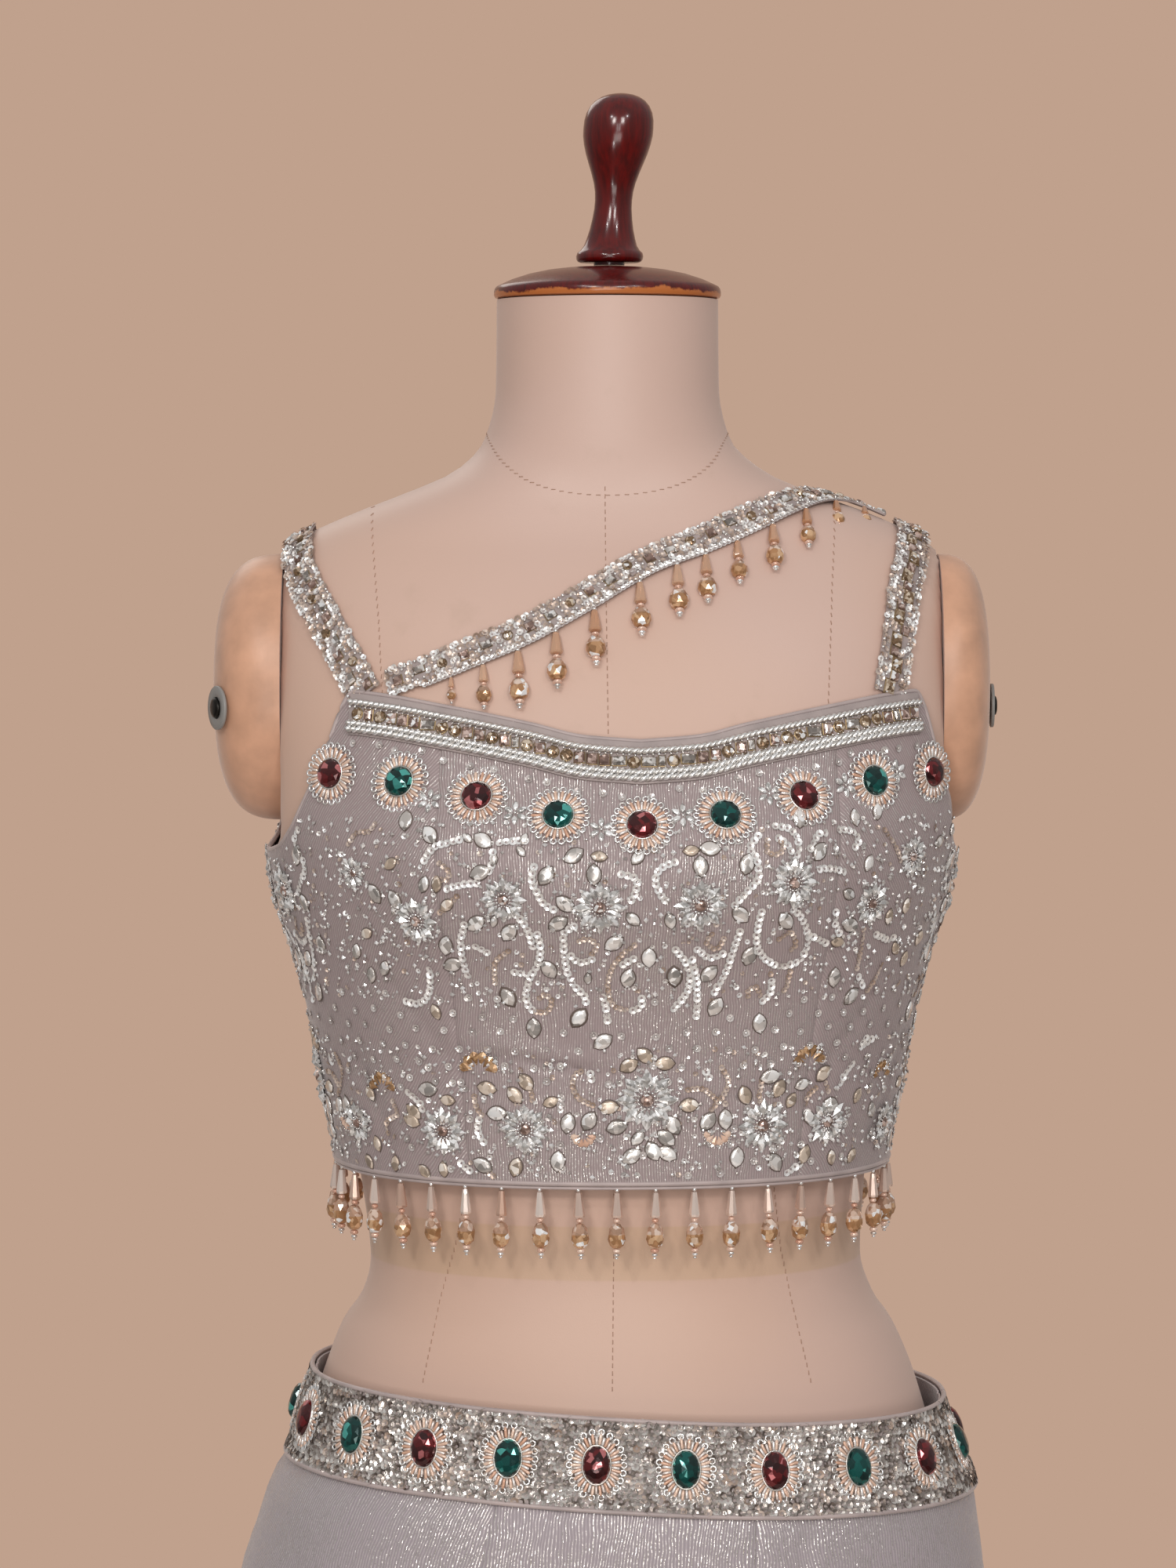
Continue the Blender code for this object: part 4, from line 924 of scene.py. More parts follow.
@dataclass(frozen=True)
class Bead:
    """A small hard piece that is repeated. Its foot is at the origin and it stands along +Z."""

    points: Array
    faces: tuple[tuple[int, ...], ...]
    smooth: bool

    def laid(self) -> "Bead":
        """The piece lying along its up axis."""
        x, y, z = self.points.T
        return Bead(np.stack([-x, z, y], -1), self.faces, self.smooth)

    def stretched(self, right: float, up: float, out: float = 1.0) -> "Bead":
        """The piece stretched along its three axes."""
        return Bead(self.points * (right, up, out), self.faces, self.smooth)

    def lifted(self, out: float) -> "Bead":
        """The piece moved out."""
        return Bead(self.points + (0, 0, out), self.faces, self.smooth)


def revolved(rows: Sequence[tuple[float, float]], sides: int, smooth: bool = True, facets: bool = False) -> Bead:
    """A turned piece from rows of radius and height in millimetres, lowest first.

    Args:
        rows: Radius and height of each ring. A radius of 0 is a point.
        sides: Sides of each ring.
        smooth: Whether it is shaded smooth.
        facets: Whether every second ring is turned by half a side, which cuts triangular facets.

    Returns:
        The piece.
    """
    points: list[tuple[float, float, float]] = []
    rings: list[list[int]] = []
    for k, (radius, z) in enumerate(rows):
        start = len(points)
        half = 0.5 * (k % 2) if facets else 0.0
        steps = 1 if radius == 0 else sides
        rings.append([start + i for i in range(steps)])
        for i in range(steps):
            turn = 2 * math.pi * (i + half) / sides
            points.append((radius * MM * math.cos(turn), radius * MM * math.sin(turn), z * MM))
    faces: list[tuple[int, ...]] = []
    for k, (low, high) in enumerate(zip(rings, rings[1:])):
        for i in range(sides):
            j = (i + 1) % sides
            a, b = low[i % len(low)], low[j % len(low)]
            c, d = high[j % len(high)], high[i % len(high)]
            whole = len(low) > 1 and len(high) > 1 and facets
            if whole and k % 2 == 0:
                faces += [(a, b, d), (b, c, d)]
            elif whole:
                faces += [(a, b, c), (a, c, d)]
            else:
                faces.append(tuple(dict.fromkeys((a, b, c, d))))
    return Bead(np.array(points), tuple(faces), smooth)


def cup_sequin(radius_mm: float, sides: int = 8) -> Bead:
    """A cup sequin: a shallow dish with a hole for the thread."""
    turns = 2 * math.pi * np.arange(sides) / sides
    ring = np.stack([np.cos(turns), np.sin(turns), np.zeros(sides)], -1) * radius_mm * MM
    hole = ring * 0.34 + (0, 0, 0.06 * radius_mm * MM)
    points = np.concatenate([ring + (0, 0, 0.34 * radius_mm * MM), hole])
    faces = tuple((i, (i + 1) % sides, sides + (i + 1) % sides, sides + i) for i in range(sides))
    return Bead(points, faces, False)


def navette(width_mm: float, length_mm: float, height_mm: float) -> Bead:
    """A boat-shaped leaf with pointed ends and a soft crown."""
    count = 7
    along = np.concatenate([np.linspace(-1, 1, count), np.linspace(1, -1, count)[1:-1]])
    side = np.concatenate([np.ones(count), -np.ones(count - 2)])
    bow = side * (1 - along**2) ** 0.8 * (np.abs(along) < 1)
    outline = np.stack([bow * width_mm / 2, along * length_mm / 2, np.zeros(len(along))], -1) * MM
    levels = ((1.0, 0.35), (0.86, 0.80), (0.50, 1.0))
    rings = [outline] + [outline * (s, s, 1) + (0, 0, h * height_mm * MM) for s, h in levels]
    total = len(outline)
    faces: list[tuple[int, ...]] = []
    for k in range(len(levels)):
        for i in range(total):
            j = (i + 1) % total
            faces.append((k * total + j, k * total + i, (k + 1) * total + i, (k + 1) * total + j))
    faces.append(tuple(range(4 * total - 1, 3 * total - 1, -1)))
    return Bead(np.concatenate(rings), tuple(faces), True)


def petal(width_mm: float, length_mm: float, height_mm: float, shoulder: float, tip: float = 0.25) -> Bead:
    """A ridged petal that grows from its foot at the origin.

    Args:
        width_mm: Its greatest width.
        length_mm: Its length.
        height_mm: Height of its ridge.
        shoulder: Share of its length at which it is widest.
        tip: Half its width halfway from there to its end, as a share of the whole: 0.25 is a straight kite.

    Returns:
        The petal.
    """
    side = [(0.5, shoulder), (tip, (1 + shoulder) / 2)]
    rim = [(0.0, 0.0), *side, (0.0, 1.0), *[(-x, y) for x, y in reversed(side)]]
    points = [(x * width_mm, y * length_mm, 0.15) for x, y in rim] + [(0.0, shoulder * length_mm, height_mm)]
    top = len(rim)
    faces = tuple((i, (i + 1) % top, top) for i in range(top))
    return Bead(np.array(points) * MM, faces, False)


def square_stone(width_mm: float, length_mm: float, height_mm: float) -> Bead:
    """A rectangular stone with a stepped crown."""
    corners = np.array([(-1, -1, 0), (1, -1, 0), (1, 1, 0), (-1, 1, 0)]) * (width_mm / 2, length_mm / 2, 1)
    levels = ((1.0, 0.0), (1.0, 0.4), (0.78, 0.8), (0.55, 1.0))
    points = np.concatenate([corners * (s, s, 1) + (0, 0, height_mm * h) for s, h in levels]) * MM
    faces = [(4 * k + i, 4 * k + (i + 1) % 4, 4 * k + 4 + (i + 1) % 4, 4 * k + 4 + i)
             for k in range(len(levels) - 1) for i in range(4)]
    return Bead(points, (*faces, (12, 13, 14, 15)), False)


SEQUIN_CUP = cup_sequin(1.95)
LINE_CUP = cup_sequin(1.95, 9)
MIDDLE_CUP = cup_sequin(1.5, 7)
SMALL_CUP = cup_sequin(1.05, 6)
DOT_CUP = cup_sequin(1.9, 9)
SEED_BEAD = revolved([(0, -0.1), (0.62, 0.25), (0.75, 0.7), (0.45, 1.15), (0, 1.25)], 6)
CHIP = revolved([(0, 0.1), (1.0, 0.6), (0, 1.3)], 4, False)
STAR_REACH = 7.4
STAR_STONE = revolved([(2.1, 0.0), (2.1, 0.6), (1.7, 1.3), (0.9, 1.7), (0, 1.75)], 10, False, True)
KITE = petal(3.7, 6.6, 1.6, 0.48, 0.30)
SHORT_KITE = petal(3.4, 5.4, 1.0, 0.5, 0.30)
FAN_PETAL = petal(4.5, 6.9, 1.3, 0.66, 0.42)
PETAL_BEAD = navette(2.7, 5.0, 1.1)
BUGLE_BEAD = revolved([(0, 0), (0.55, 0.05), (0.80, 0.5), (0.80, 4.4), (0.55, 4.85), (0, 4.9)], 7).laid()
SHORT_BUGLE = revolved([(0, 0), (0.6, 0.2), (0.6, 3.6), (0, 3.9)], 6).laid()
LOOP = revolved([(0.95, 0.3), (1.4, 0.85), (1.8, 0.3)], 8)
ROUND_GEM = revolved(
    [(7.0, 0.0), (7.0, 1.2), (6.4, 2.7), (5.0, 3.8), (2.9, 4.5), (0, 4.7)], 12, False, True)
OVAL_GEM = ROUND_GEM.stretched(6.5 / 7, 9.0 / 7, 1.05)
ROUND_BEZEL = revolved([(7.5, 0.0), (7.5, 1.5), (7.25, 1.8), (6.9, 1.6)], 28)
OVAL_BEZEL = ROUND_BEZEL.stretched(7.0 / 7.5, 9.5 / 7.5)
ROUND_STONE = revolved([(2.7, 0.0), (2.7, 0.8), (2.0, 1.7), (0, 2.1)], 10, False, True)


class BeadWork:
    """Many small hard pieces gathered into one joined mesh."""

    def __init__(self, name: str) -> None:
        """Starts an empty piece of that name."""
        self.name = name
        self.points: list[Array] = []
        self.faces: list[list[int]] = []
        self.finishes: list[Finish] = []
        self.indexes: list[Array] = []
        self.smooth: list[Array] = []
        self.count = 0

    def add(self, bead: Bead, spots: Spots, finish: Finish, size: Array | float = 1.0) -> None:
        """Puts a bead on each spot.

        Args:
            bead: The bead.
            spots: Where each one goes.
            finish: Its finish.
            size: Its size, one value or one for each spot.
        """
        if not len(spots):
            return
        scale = np.broadcast_to(size, len(spots))[:, None, None]
        local = bead.points[None] * scale
        axes = (spots.right, spots.up, spots.out)
        points = spots.origin[:, None] + sum(local[..., k:k + 1] * axes[k][:, None] for k in range(3))
        starts = self.count + np.arange(len(spots)) * len(bead.points)
        for corners in bead.faces:
            self.faces += (starts[:, None] + np.array(corners)).tolist()
        self._note(points.reshape(-1, 3), len(spots) * len(bead.faces), finish, bead.smooth)

    def add_tube(self, path: Array, radius: float, finish: Finish, closed: bool, sides: int = 6) -> None:
        """Puts a round cord along a path."""
        points, faces = tube_mesh(path, radius, closed, sides)
        self.faces += [[corner + self.count for corner in face] for face in faces]
        self._note(points, len(faces), finish, True)

    def add_mix(
        self, spots: Spots, mix: Sequence[tuple[Bead, Finish, float]], rng: Random, tilt: float,
        sizes: tuple[float, float],
    ) -> None:
        """Puts one of a mix of beads on each spot by chance, tipped and of uneven size.

        Args:
            spots: Where they go.
            mix: Each bead, its finish and the share of the spots that it and those before it take.
            rng: Source of the chances.
            tilt: Spread of the tilt in radians.
            sizes: Smallest and largest size.
        """
        chance = rng.uniform(size=len(spots))
        low = 0.0
        for bead, finish, high in mix:
            mine = (chance >= low) & (chance < high)
            self.add(bead, spots.taken(mine).tilted(rng, tilt), finish, rng.uniform(*sizes, mine.sum()))
            low = high

    def _note(self, points: Array, faces: int, finish: Finish, smooth: bool) -> None:
        """Keeps the points, and the finish and shading of the faces just added."""
        if finish not in self.finishes:
            self.finishes.append(finish)
        self.points.append(points)
        self.indexes.append(np.full(faces, self.finishes.index(finish)))
        self.smooth.append(np.full(faces, smooth))
        self.count += len(points)

    def make(self, slot: str, replaces: Sequence[str] = ()) -> Piece:
        """Makes the joined mesh and puts it on the body."""
        points = np.concatenate(self.points)
        indexes = np.concatenate(self.indexes)
        piece = mesh_piece(self.name, points, self.faces, self.finishes, indexes, np.concatenate(self.smooth))
        return ride(piece, replaces)


# The cloth solids' wall, and the drawn cloth's own.
WALL = 0.0018
CLOTH_WALL = 0.0009
# How deep a seam sinks, how wide, and how near it the cloth has its first column of points.
SEAM_SINK = 0.0007
SEAM_WIDTH = 0.0013
SEAM_STEP = 0.0012
# How far sewn things stand off the cloth, stones off their settings' feet and a strap's face off its seat, and
# how far motifs keep from the blouse's edges.
SEWN = 0.0001
STONE_LIFT = 0.0003
RIBBON_FACE = 0.0012
EDGE_ROOM = 0.004
HEM_ROOM = 0.003
BLOUSE_TWIST = 0.0145
GORE_SEAM = 0.067
FLUTE_DEPTH = 0.030


def body_ring(z: float, shares: Array) -> Array:
    """The dress form at a height."""
    return ring_points(FORM, Cups.FORM, z, shares)


def bodice_ring(z: float, shares: Array) -> Array:
    """Inside of the blouse at a height."""
    return ring_points(FORM, Cups.BRIDGED, z, shares + BLOUSE_TWIST, EASE.at(z).ease)


def skirt_ring(z: float, shares: Array) -> Array:
    """Inside of the skirt at a height, with its flutes."""
    points = ring_points(SKIRT, Cups.NONE, z, shares)
    if z >= FLARE_START:
        return points
    nudge = 0.0008
    round_way = ring_points(SKIRT, Cups.NONE, z, shares + nudge) - ring_points(SKIRT, Cups.NONE, z, shares - nudge)
    place = np.abs(wrapped(shares))
    place = np.minimum(place, 0.5 - place)
    phase = np.where(place < GORE_SEAM, place / GORE_SEAM, 1 + 2 * (place - GORE_SEAM) / (0.25 - GORE_SEAM))
    down = (FLARE_START - z) / (FLARE_START - SKIRT_HEM)
    uneven = 1 + 0.14 * np.cos(4 * math.pi * shares) + 0.10 * np.cos(12 * math.pi * shares)
    rise = FLUTE_DEPTH * down**1.6 * uneven * np.cos(2 * math.pi * phase)
    return points + unit(np.cross(round_way, UP)) * rise[:, None]


BODY = Surface(body_ring, FORM_BOTTOM, NECK_TOP, 300)
BODICE = Surface(bodice_ring, BLOUSE_HEM, 1.349, 140, WALL)
SKIRT_FACE = Surface(skirt_ring, SKIRT_HEM, 1.0195, 260, WALL)


def belt_tilt(share: Array) -> Array:
    """How far the belt and the skirt's top hang off level, lower towards the right."""
    return -0.0068 - 0.0075 * np.sin(2 * math.pi * share)


def form_level(points: Array) -> Array:
    """Below 0 inside the dress form, above 0 outside it."""
    half_width, front, back, shift, _plate, square = np.moveaxis(FORM.read(points[..., 2]), -1, 0)
    x, y = points[..., 0], points[..., 1]
    in_front = y < 0
    y = y + np.where(in_front, BUST.fullness(x, points[..., 2], Cups.FORM), 0)
    reach = np.where(in_front, front, back)
    return (np.abs(x - shift) / half_width) ** square + np.abs(y / reach) ** square - 1


def form_slope(points: Array) -> Array:
    """Direction and steepness in which form_level grows."""
    nudge = 0.0008
    steps = np.eye(3) * nudge
    return np.stack([form_level(points + s) - form_level(points - s) for s in steps], -1) / (2 * nudge)


def seated(points: Array, distance: Array | float) -> tuple[Array, Array]:
    """The points moved along the form's normal to this distance from it, and those normals."""
    for _ in range(6):
        slope = form_slope(points)
        steep = np.maximum(np.linalg.norm(slope, axis=-1), 1e-6)
        points = points + slope * ((distance - form_level(points) / steep) / steep)[..., None]
    return points, unit(form_slope(points))


@dataclass(frozen=True)
class Crease:
    """A soft fold in cloth, at its middle. depth_mm is how far it is pressed in, or stands out below 0.

    turn is its lean from upright in degrees, anticlockwise as the viewer sees it.
    """

    share: float
    z: float
    length_mm: float
    width_mm: float
    depth_mm: float
    turn: float = 0.0

    def rise(self, surface: Surface, share: Array, z: Array) -> Array:
        """How far it moves the cloth out at these places."""
        round_length = np.interp(z, surface.heights, surface.rounds)
        x = wrapped(share - self.share) * round_length
        y = z - self.z
        c, s = math.cos(math.radians(self.turn)), math.sin(math.radians(self.turn))
        across = (x * c + y * s) / (self.width_mm * MM)
        along = (y * c - x * s) / (0.5 * self.length_mm * MM)
        return -self.depth_mm * MM * np.exp(-(across**2) - along**4)


BLOUSE_CREASES = tuple(Crease(*row) for row in (
    (-0.055, 1.178, 62, 2.2, 1.8, 84),
    (-0.06, 1.184, 70, 3, -0.8, 80),
    (0.07, 1.165, 46, 2.4, 0.8, -72),
    (-0.12, 1.19, 74, 4, 0.9, 38),
    (0.125, 1.184, 66, 4.2, 0.9, -35),
    (-0.02, 1.15, 48, 4.5, 0.8, 6),
    (0.03, 1.146, 44, 4, 0.7, -4),
    (-0.17, 1.16, 60, 5, 1.1, 22),
    (0.18, 1.158, 64, 5, 1.2, -24),
    (-0.215, 1.205, 52, 3.6, 0.8, 60),
    (0.222, 1.2, 56, 3.8, 0.9, -58),
    (0.3, 1.17, 70, 4.5, 1, 20),
    (-0.31, 1.176, 66, 4.5, 1, -18),
    (0.4, 1.185, 58, 3.2, 0.8, 74),
    (-0.41, 1.18, 64, 3.4, 0.9, -70),
    (0.455, 1.15, 46, 4, 0.8, 8),
    (-0.46, 1.156, 42, 4.2, 0.8, -6),
))
SKIRT_CREASES = tuple(Crease(*row) for row in (
    (-0.165, 0.93, 60, 3.6, 0.9, 62),
    (0.17, 0.936, 54, 3.4, 0.8, -60),
    (-0.21, 0.905, 90, 5, 1.2, 48),
    (0.215, 0.9, 84, 5.2, 1.1, -46),
    (-0.03, 0.95, 46, 4, 0.7, 10),
    (0.09, 0.945, 50, 4, 0.8, -14),
    (-0.12, 0.7, 210, 9, 1.5, 18),
    (0.13, 0.69, 230, 9, 1.6, -16),
    (-0.06, 0.56, 170, 8, 1.4, 7),
    (0.05, 0.55, 180, 8, 1.4, -5),
    (-0.215, 0.57, 160, 7.5, 1.5, 12),
    (0.225, 0.575, 170, 8, 1.5, -12),
    (0.33, 0.915, 80, 5, 1.1, 44),
    (-0.325, 0.91, 86, 5, 1.1, -47),
    (0.44, 0.7, 220, 9, 1.5, 9),
    (-0.43, 0.69, 210, 9, 1.5, -11),
    (0.37, 0.565, 170, 8, 1.4, 6),
    (-0.375, 0.56, 160, 8, 1.4, -8),
    (-0.02, 0.33, 240, 11, 2.2, 3),
    (0.105, 0.31, 230, 11, 2, -5),
    (-0.14, 0.3, 240, 12, 2.2, 5),
    (0.2, 0.32, 230, 12, 2, -6),
    (-0.235, 0.29, 220, 12, 2.1, 4),
    (0.29, 0.3, 230, 12, 2, -3),
    (-0.3, 0.31, 240, 12, 2.2, 6),
    (0.41, 0.3, 230, 12, 2.1, 4),
    (-0.42, 0.32, 230, 12, 2, -5),
    (0.49, 0.31, 240, 12, 2.1, 2),
))


@dataclass(frozen=True)
class Cut:
    """A piece of cloth's size on the cutting table, read off its finished shape."""

    width: float
    length: float
    area: float

    @classmethod
    def of(cls, grid: Array) -> "Cut":
        """The cut of a grid of points."""
        across = np.linalg.norm(np.diff(grid, axis=1), axis=2)
        down = np.linalg.norm(np.diff(grid, axis=0), axis=2)
        one, two = grid[1:, 1:] - grid[:-1, :-1], grid[1:, :-1] - grid[:-1, 1:]
        area = 0.5 * np.linalg.norm(np.cross(one, two), axis=2).sum()
        width, length = across.sum(axis=1).max(), down.sum(axis=0).max()
        return cls(float(width), float(length), float(min(area, width * length)))

    def declare(self, piece: Piece, held: str, rests_on: Sequence[str]) -> None:
        """Logs the piece's name and its cut."""
        LOG.info("%s cut %.3f x %.3f m, %.4f m2", piece.name, self.width, self.length, self.area)


@dataclass(frozen=True)
class Panel:
    """One cut piece of cloth on a surface, between two seams."""

    name: str
    first: float
    last: float
    finish: Finish
    step: float = 0.003

    def make(
        self, surface: Surface, top: Callable[[Array], Array], bottom: float, creases: Sequence[Crease],
        held: str, rests_on: str, row_step: float | None = None,
    ) -> Piece:
        """Args:
            surface: Its outer face.
            top: Height of its top edge at shares of the round.
            bottom: Height of its foot.
            creases: Folds in it.
            rests_on: What it lies on; not used.
            row_step: Height of a row, or None for the panel's own step.

        Returns:
            The panel.
        """
        round_length = float(surface.rounds.mean())
        columns = max(8, round((self.last - self.first) * round_length / self.step))
        beside = SEAM_STEP / round_length
        shares = np.linspace(self.first + 2 * beside, self.last - 2 * beside, columns)
        shares = np.concatenate([[self.first, self.first + beside], shares, [self.last - beside, self.last]])
        heads = top(shares)
        rows = max(8, round((heads.max() - bottom) / (row_step or self.step)))
        down = np.linspace(0, 1, rows)[:, None]
        z = heads[None] * (1 - down) + bottom * down
        share = np.broadcast_to(shares, z.shape)
        rounds = np.interp(z, surface.heights, surface.rounds)
        edge = np.minimum(share - self.first, self.last - share) * rounds
        lift = sum(crease.rise(surface, share, z) for crease in creases)
        lift = lift - SEAM_SINK * np.exp(-((edge / SEAM_WIDTH) ** 2))
        outer = surface.at(share, z, lift)
        inner = surface.at(share, z, lift - CLOTH_WALL)
        middle = (self.first + self.last) / 2
        cloth = np.stack([(share - middle) * rounds + middle, z], -1)
        piece = shell(self.name + "_cloth", outer, inner, self.finish, cloth)
        ride(piece, [self.name])
        Cut.of(outer).declare(piece, held, [rests_on])
        return piece


def neckline(share: Array) -> Array:
    """Height of the line that the blouse's border and gems follow."""
    return TOP.read(np.abs(wrapped(share)))[..., 0]


def cut_edge(share: Array) -> Array:
    """Height of the blouse's cut edge."""
    return TOP.read(np.abs(wrapped(share)))[..., 1]


def on_blouse(share: Array, z: Array) -> Array:
    """Whether a motif at each place keeps clear of the blouse's hem and cut edge."""
    return (z < cut_edge(share) - EDGE_ROOM) & (z > BLOUSE_HEM + HEM_ROOM)


def laid_flat(share: Array, z: Array) -> Array:
    """Places on the blouse let down flat, in metres."""
    return np.stack([(share + 0.5) % 1 * BLOUSE_ROUND * MM, z], -1)


@dataclass(frozen=True)
class Studio:
    """Camera, lights, backdrop and floor."""

    camera_at: tuple[float, float, float] = (-0.0113, -2.2, 1.432)
    pitch: float = 3.43
    lens: float = 104.9
    wall: str = "#c0a18d"
    floor: str = "#cfc6bf"
    floor_radius: float = 1.9
    floor_level: float = -0.0004

    def make(self) -> None:
        """Sets up the whole studio."""
        self._camera()
        self._world()
        self._floor()
        self._lights()

    def _camera(self) -> None:
        """Adds the camera at the photograph's place and sets it as the scene's own."""
        data = bpy.data.cameras.new("photo_camera")
        data.lens, data.sensor_width = self.lens, 36.0
        camera = bpy.data.objects.new("photo_camera", data)
        camera.location = self.camera_at
        camera.rotation_euler = (math.radians(90 - self.pitch), 0, 0)
        bpy.context.scene.collection.objects.link(camera)
        bpy.context.scene.camera = camera
        bpy.context.scene.view_settings.view_transform = "Standard"

    def _world(self) -> None:
        """Gives the studio a tan backdrop behind the form and neutral walls, paler above, on its other sides."""
        world = bpy.data.worlds.new("studio_walls")
        world.use_nodes = True
        tree = world.node_tree
        way = add_node(tree, "TexCoord", output="Generated")
        height = add_node(tree, "MapRange", {0: add_node(tree, "SeparateXYZ", {0: way}, "Z"), 1: -1.0, 2: 1.0})
        stops = [(0.30, "#6f6a66"), (0.42, "#8f8b88"), (0.58, "#a19e9c"), (0.80, "#bdbcbb")]
        walls = add_node(tree, "ValToRGB", {0: height}, stops=stops)
        behind = add_node(tree, "MapRange", {0: add_node(tree, "SeparateXYZ", {0: way}, "Y"), 1: 0.55, 2: 0.85})
        shades = {0: behind, 6: walls, 7: linear(self.wall)}
        colour = add_node(tree, "Mix", shades, 2, data_type="RGBA")
        fill(tree, tree.nodes["Background"], {"Color": colour})
        bpy.context.scene.world = world

    def _floor(self) -> None:
        """Lays a plain pale floor."""
        turns = even_turns(96)
        across, deep = self.floor_radius * np.cos(turns), self.floor_radius * np.sin(turns)
        rim = np.stack([across, deep, np.full(len(turns), self.floor_level)], -1)
        finish = Finish("pale_studio_floor", self.floor, 0.8)
        floor = mesh_piece("studio_floor", rim, [list(range(len(turns)))], [finish], smooth=False)

    def _lights(self) -> None:
        """Adds two key lamps, a soft low one, strips near the camera and small lamps that wake the glitter."""
        chest = Vector((0, 0, 1.2))
        lamps = (
            ("key_left", (-0.75, -2.70, 2.45), (0.42, 0.42), 15.0, "#fffaf5"),
            ("key_right", (0.65, -2.70, 2.35), (0.42, 0.42), 12.5, "#fffbf8"),
            ("low_softbox", (0.0, -3.0, 0.9), (1.3, 0.7), 12.0, "#fffaf5"),
            ("strip_left", (-0.16, -2.7, 1.75), (0.10, 0.7), 2.4, "#ffffff"),
            ("strip_right", (0.20, -2.7, 1.75), (0.10, 0.7), 2.4, "#ffffff"),
            ("back_softbox", (-1.1, 2.0, 2.9), (1.2, 1.2), 7.5, "#fffaf5"),
            ("spark_left", (-0.9, -1.9, 2.6), (0.07, 0.07), 3.0, "#ffffff"),
            ("spark_right", (1.0, -1.8, 2.5), (0.07, 0.07), 3.0, "#ffffff"),
            ("spark_low", (-0.5, -2.3, 0.7), (0.08, 0.08), 2.0, "#ffffff"),
        )
        for name, place, size, power, colour in lamps:
            data = bpy.data.lights.new(name, "AREA")
            data.shape = "RECTANGLE"
            data.size, data.size_y = size
            data.energy = power
            data.color = linear(colour)[:3]
            lamp = bpy.data.objects.new(name, data)
            lamp.location = place
            lamp.rotation_euler = (chest - Vector(place)).to_track_quat("-Z", "Y").to_euler()
            bpy.context.scene.collection.objects.link(lamp)


def turned(name: str, rows: Sequence[tuple[float, float]], finish: Finish, steps: int = 96) -> Piece:
    """A piece turned about Z from radii and heights in metres, with its edges a little rounded."""
    bead = revolved([(radius / MM, z / MM) for radius, z in rows], steps)
    return mesh_piece(name, bead.points, [list(face) for face in bead.faces], [finish], sharp=38)


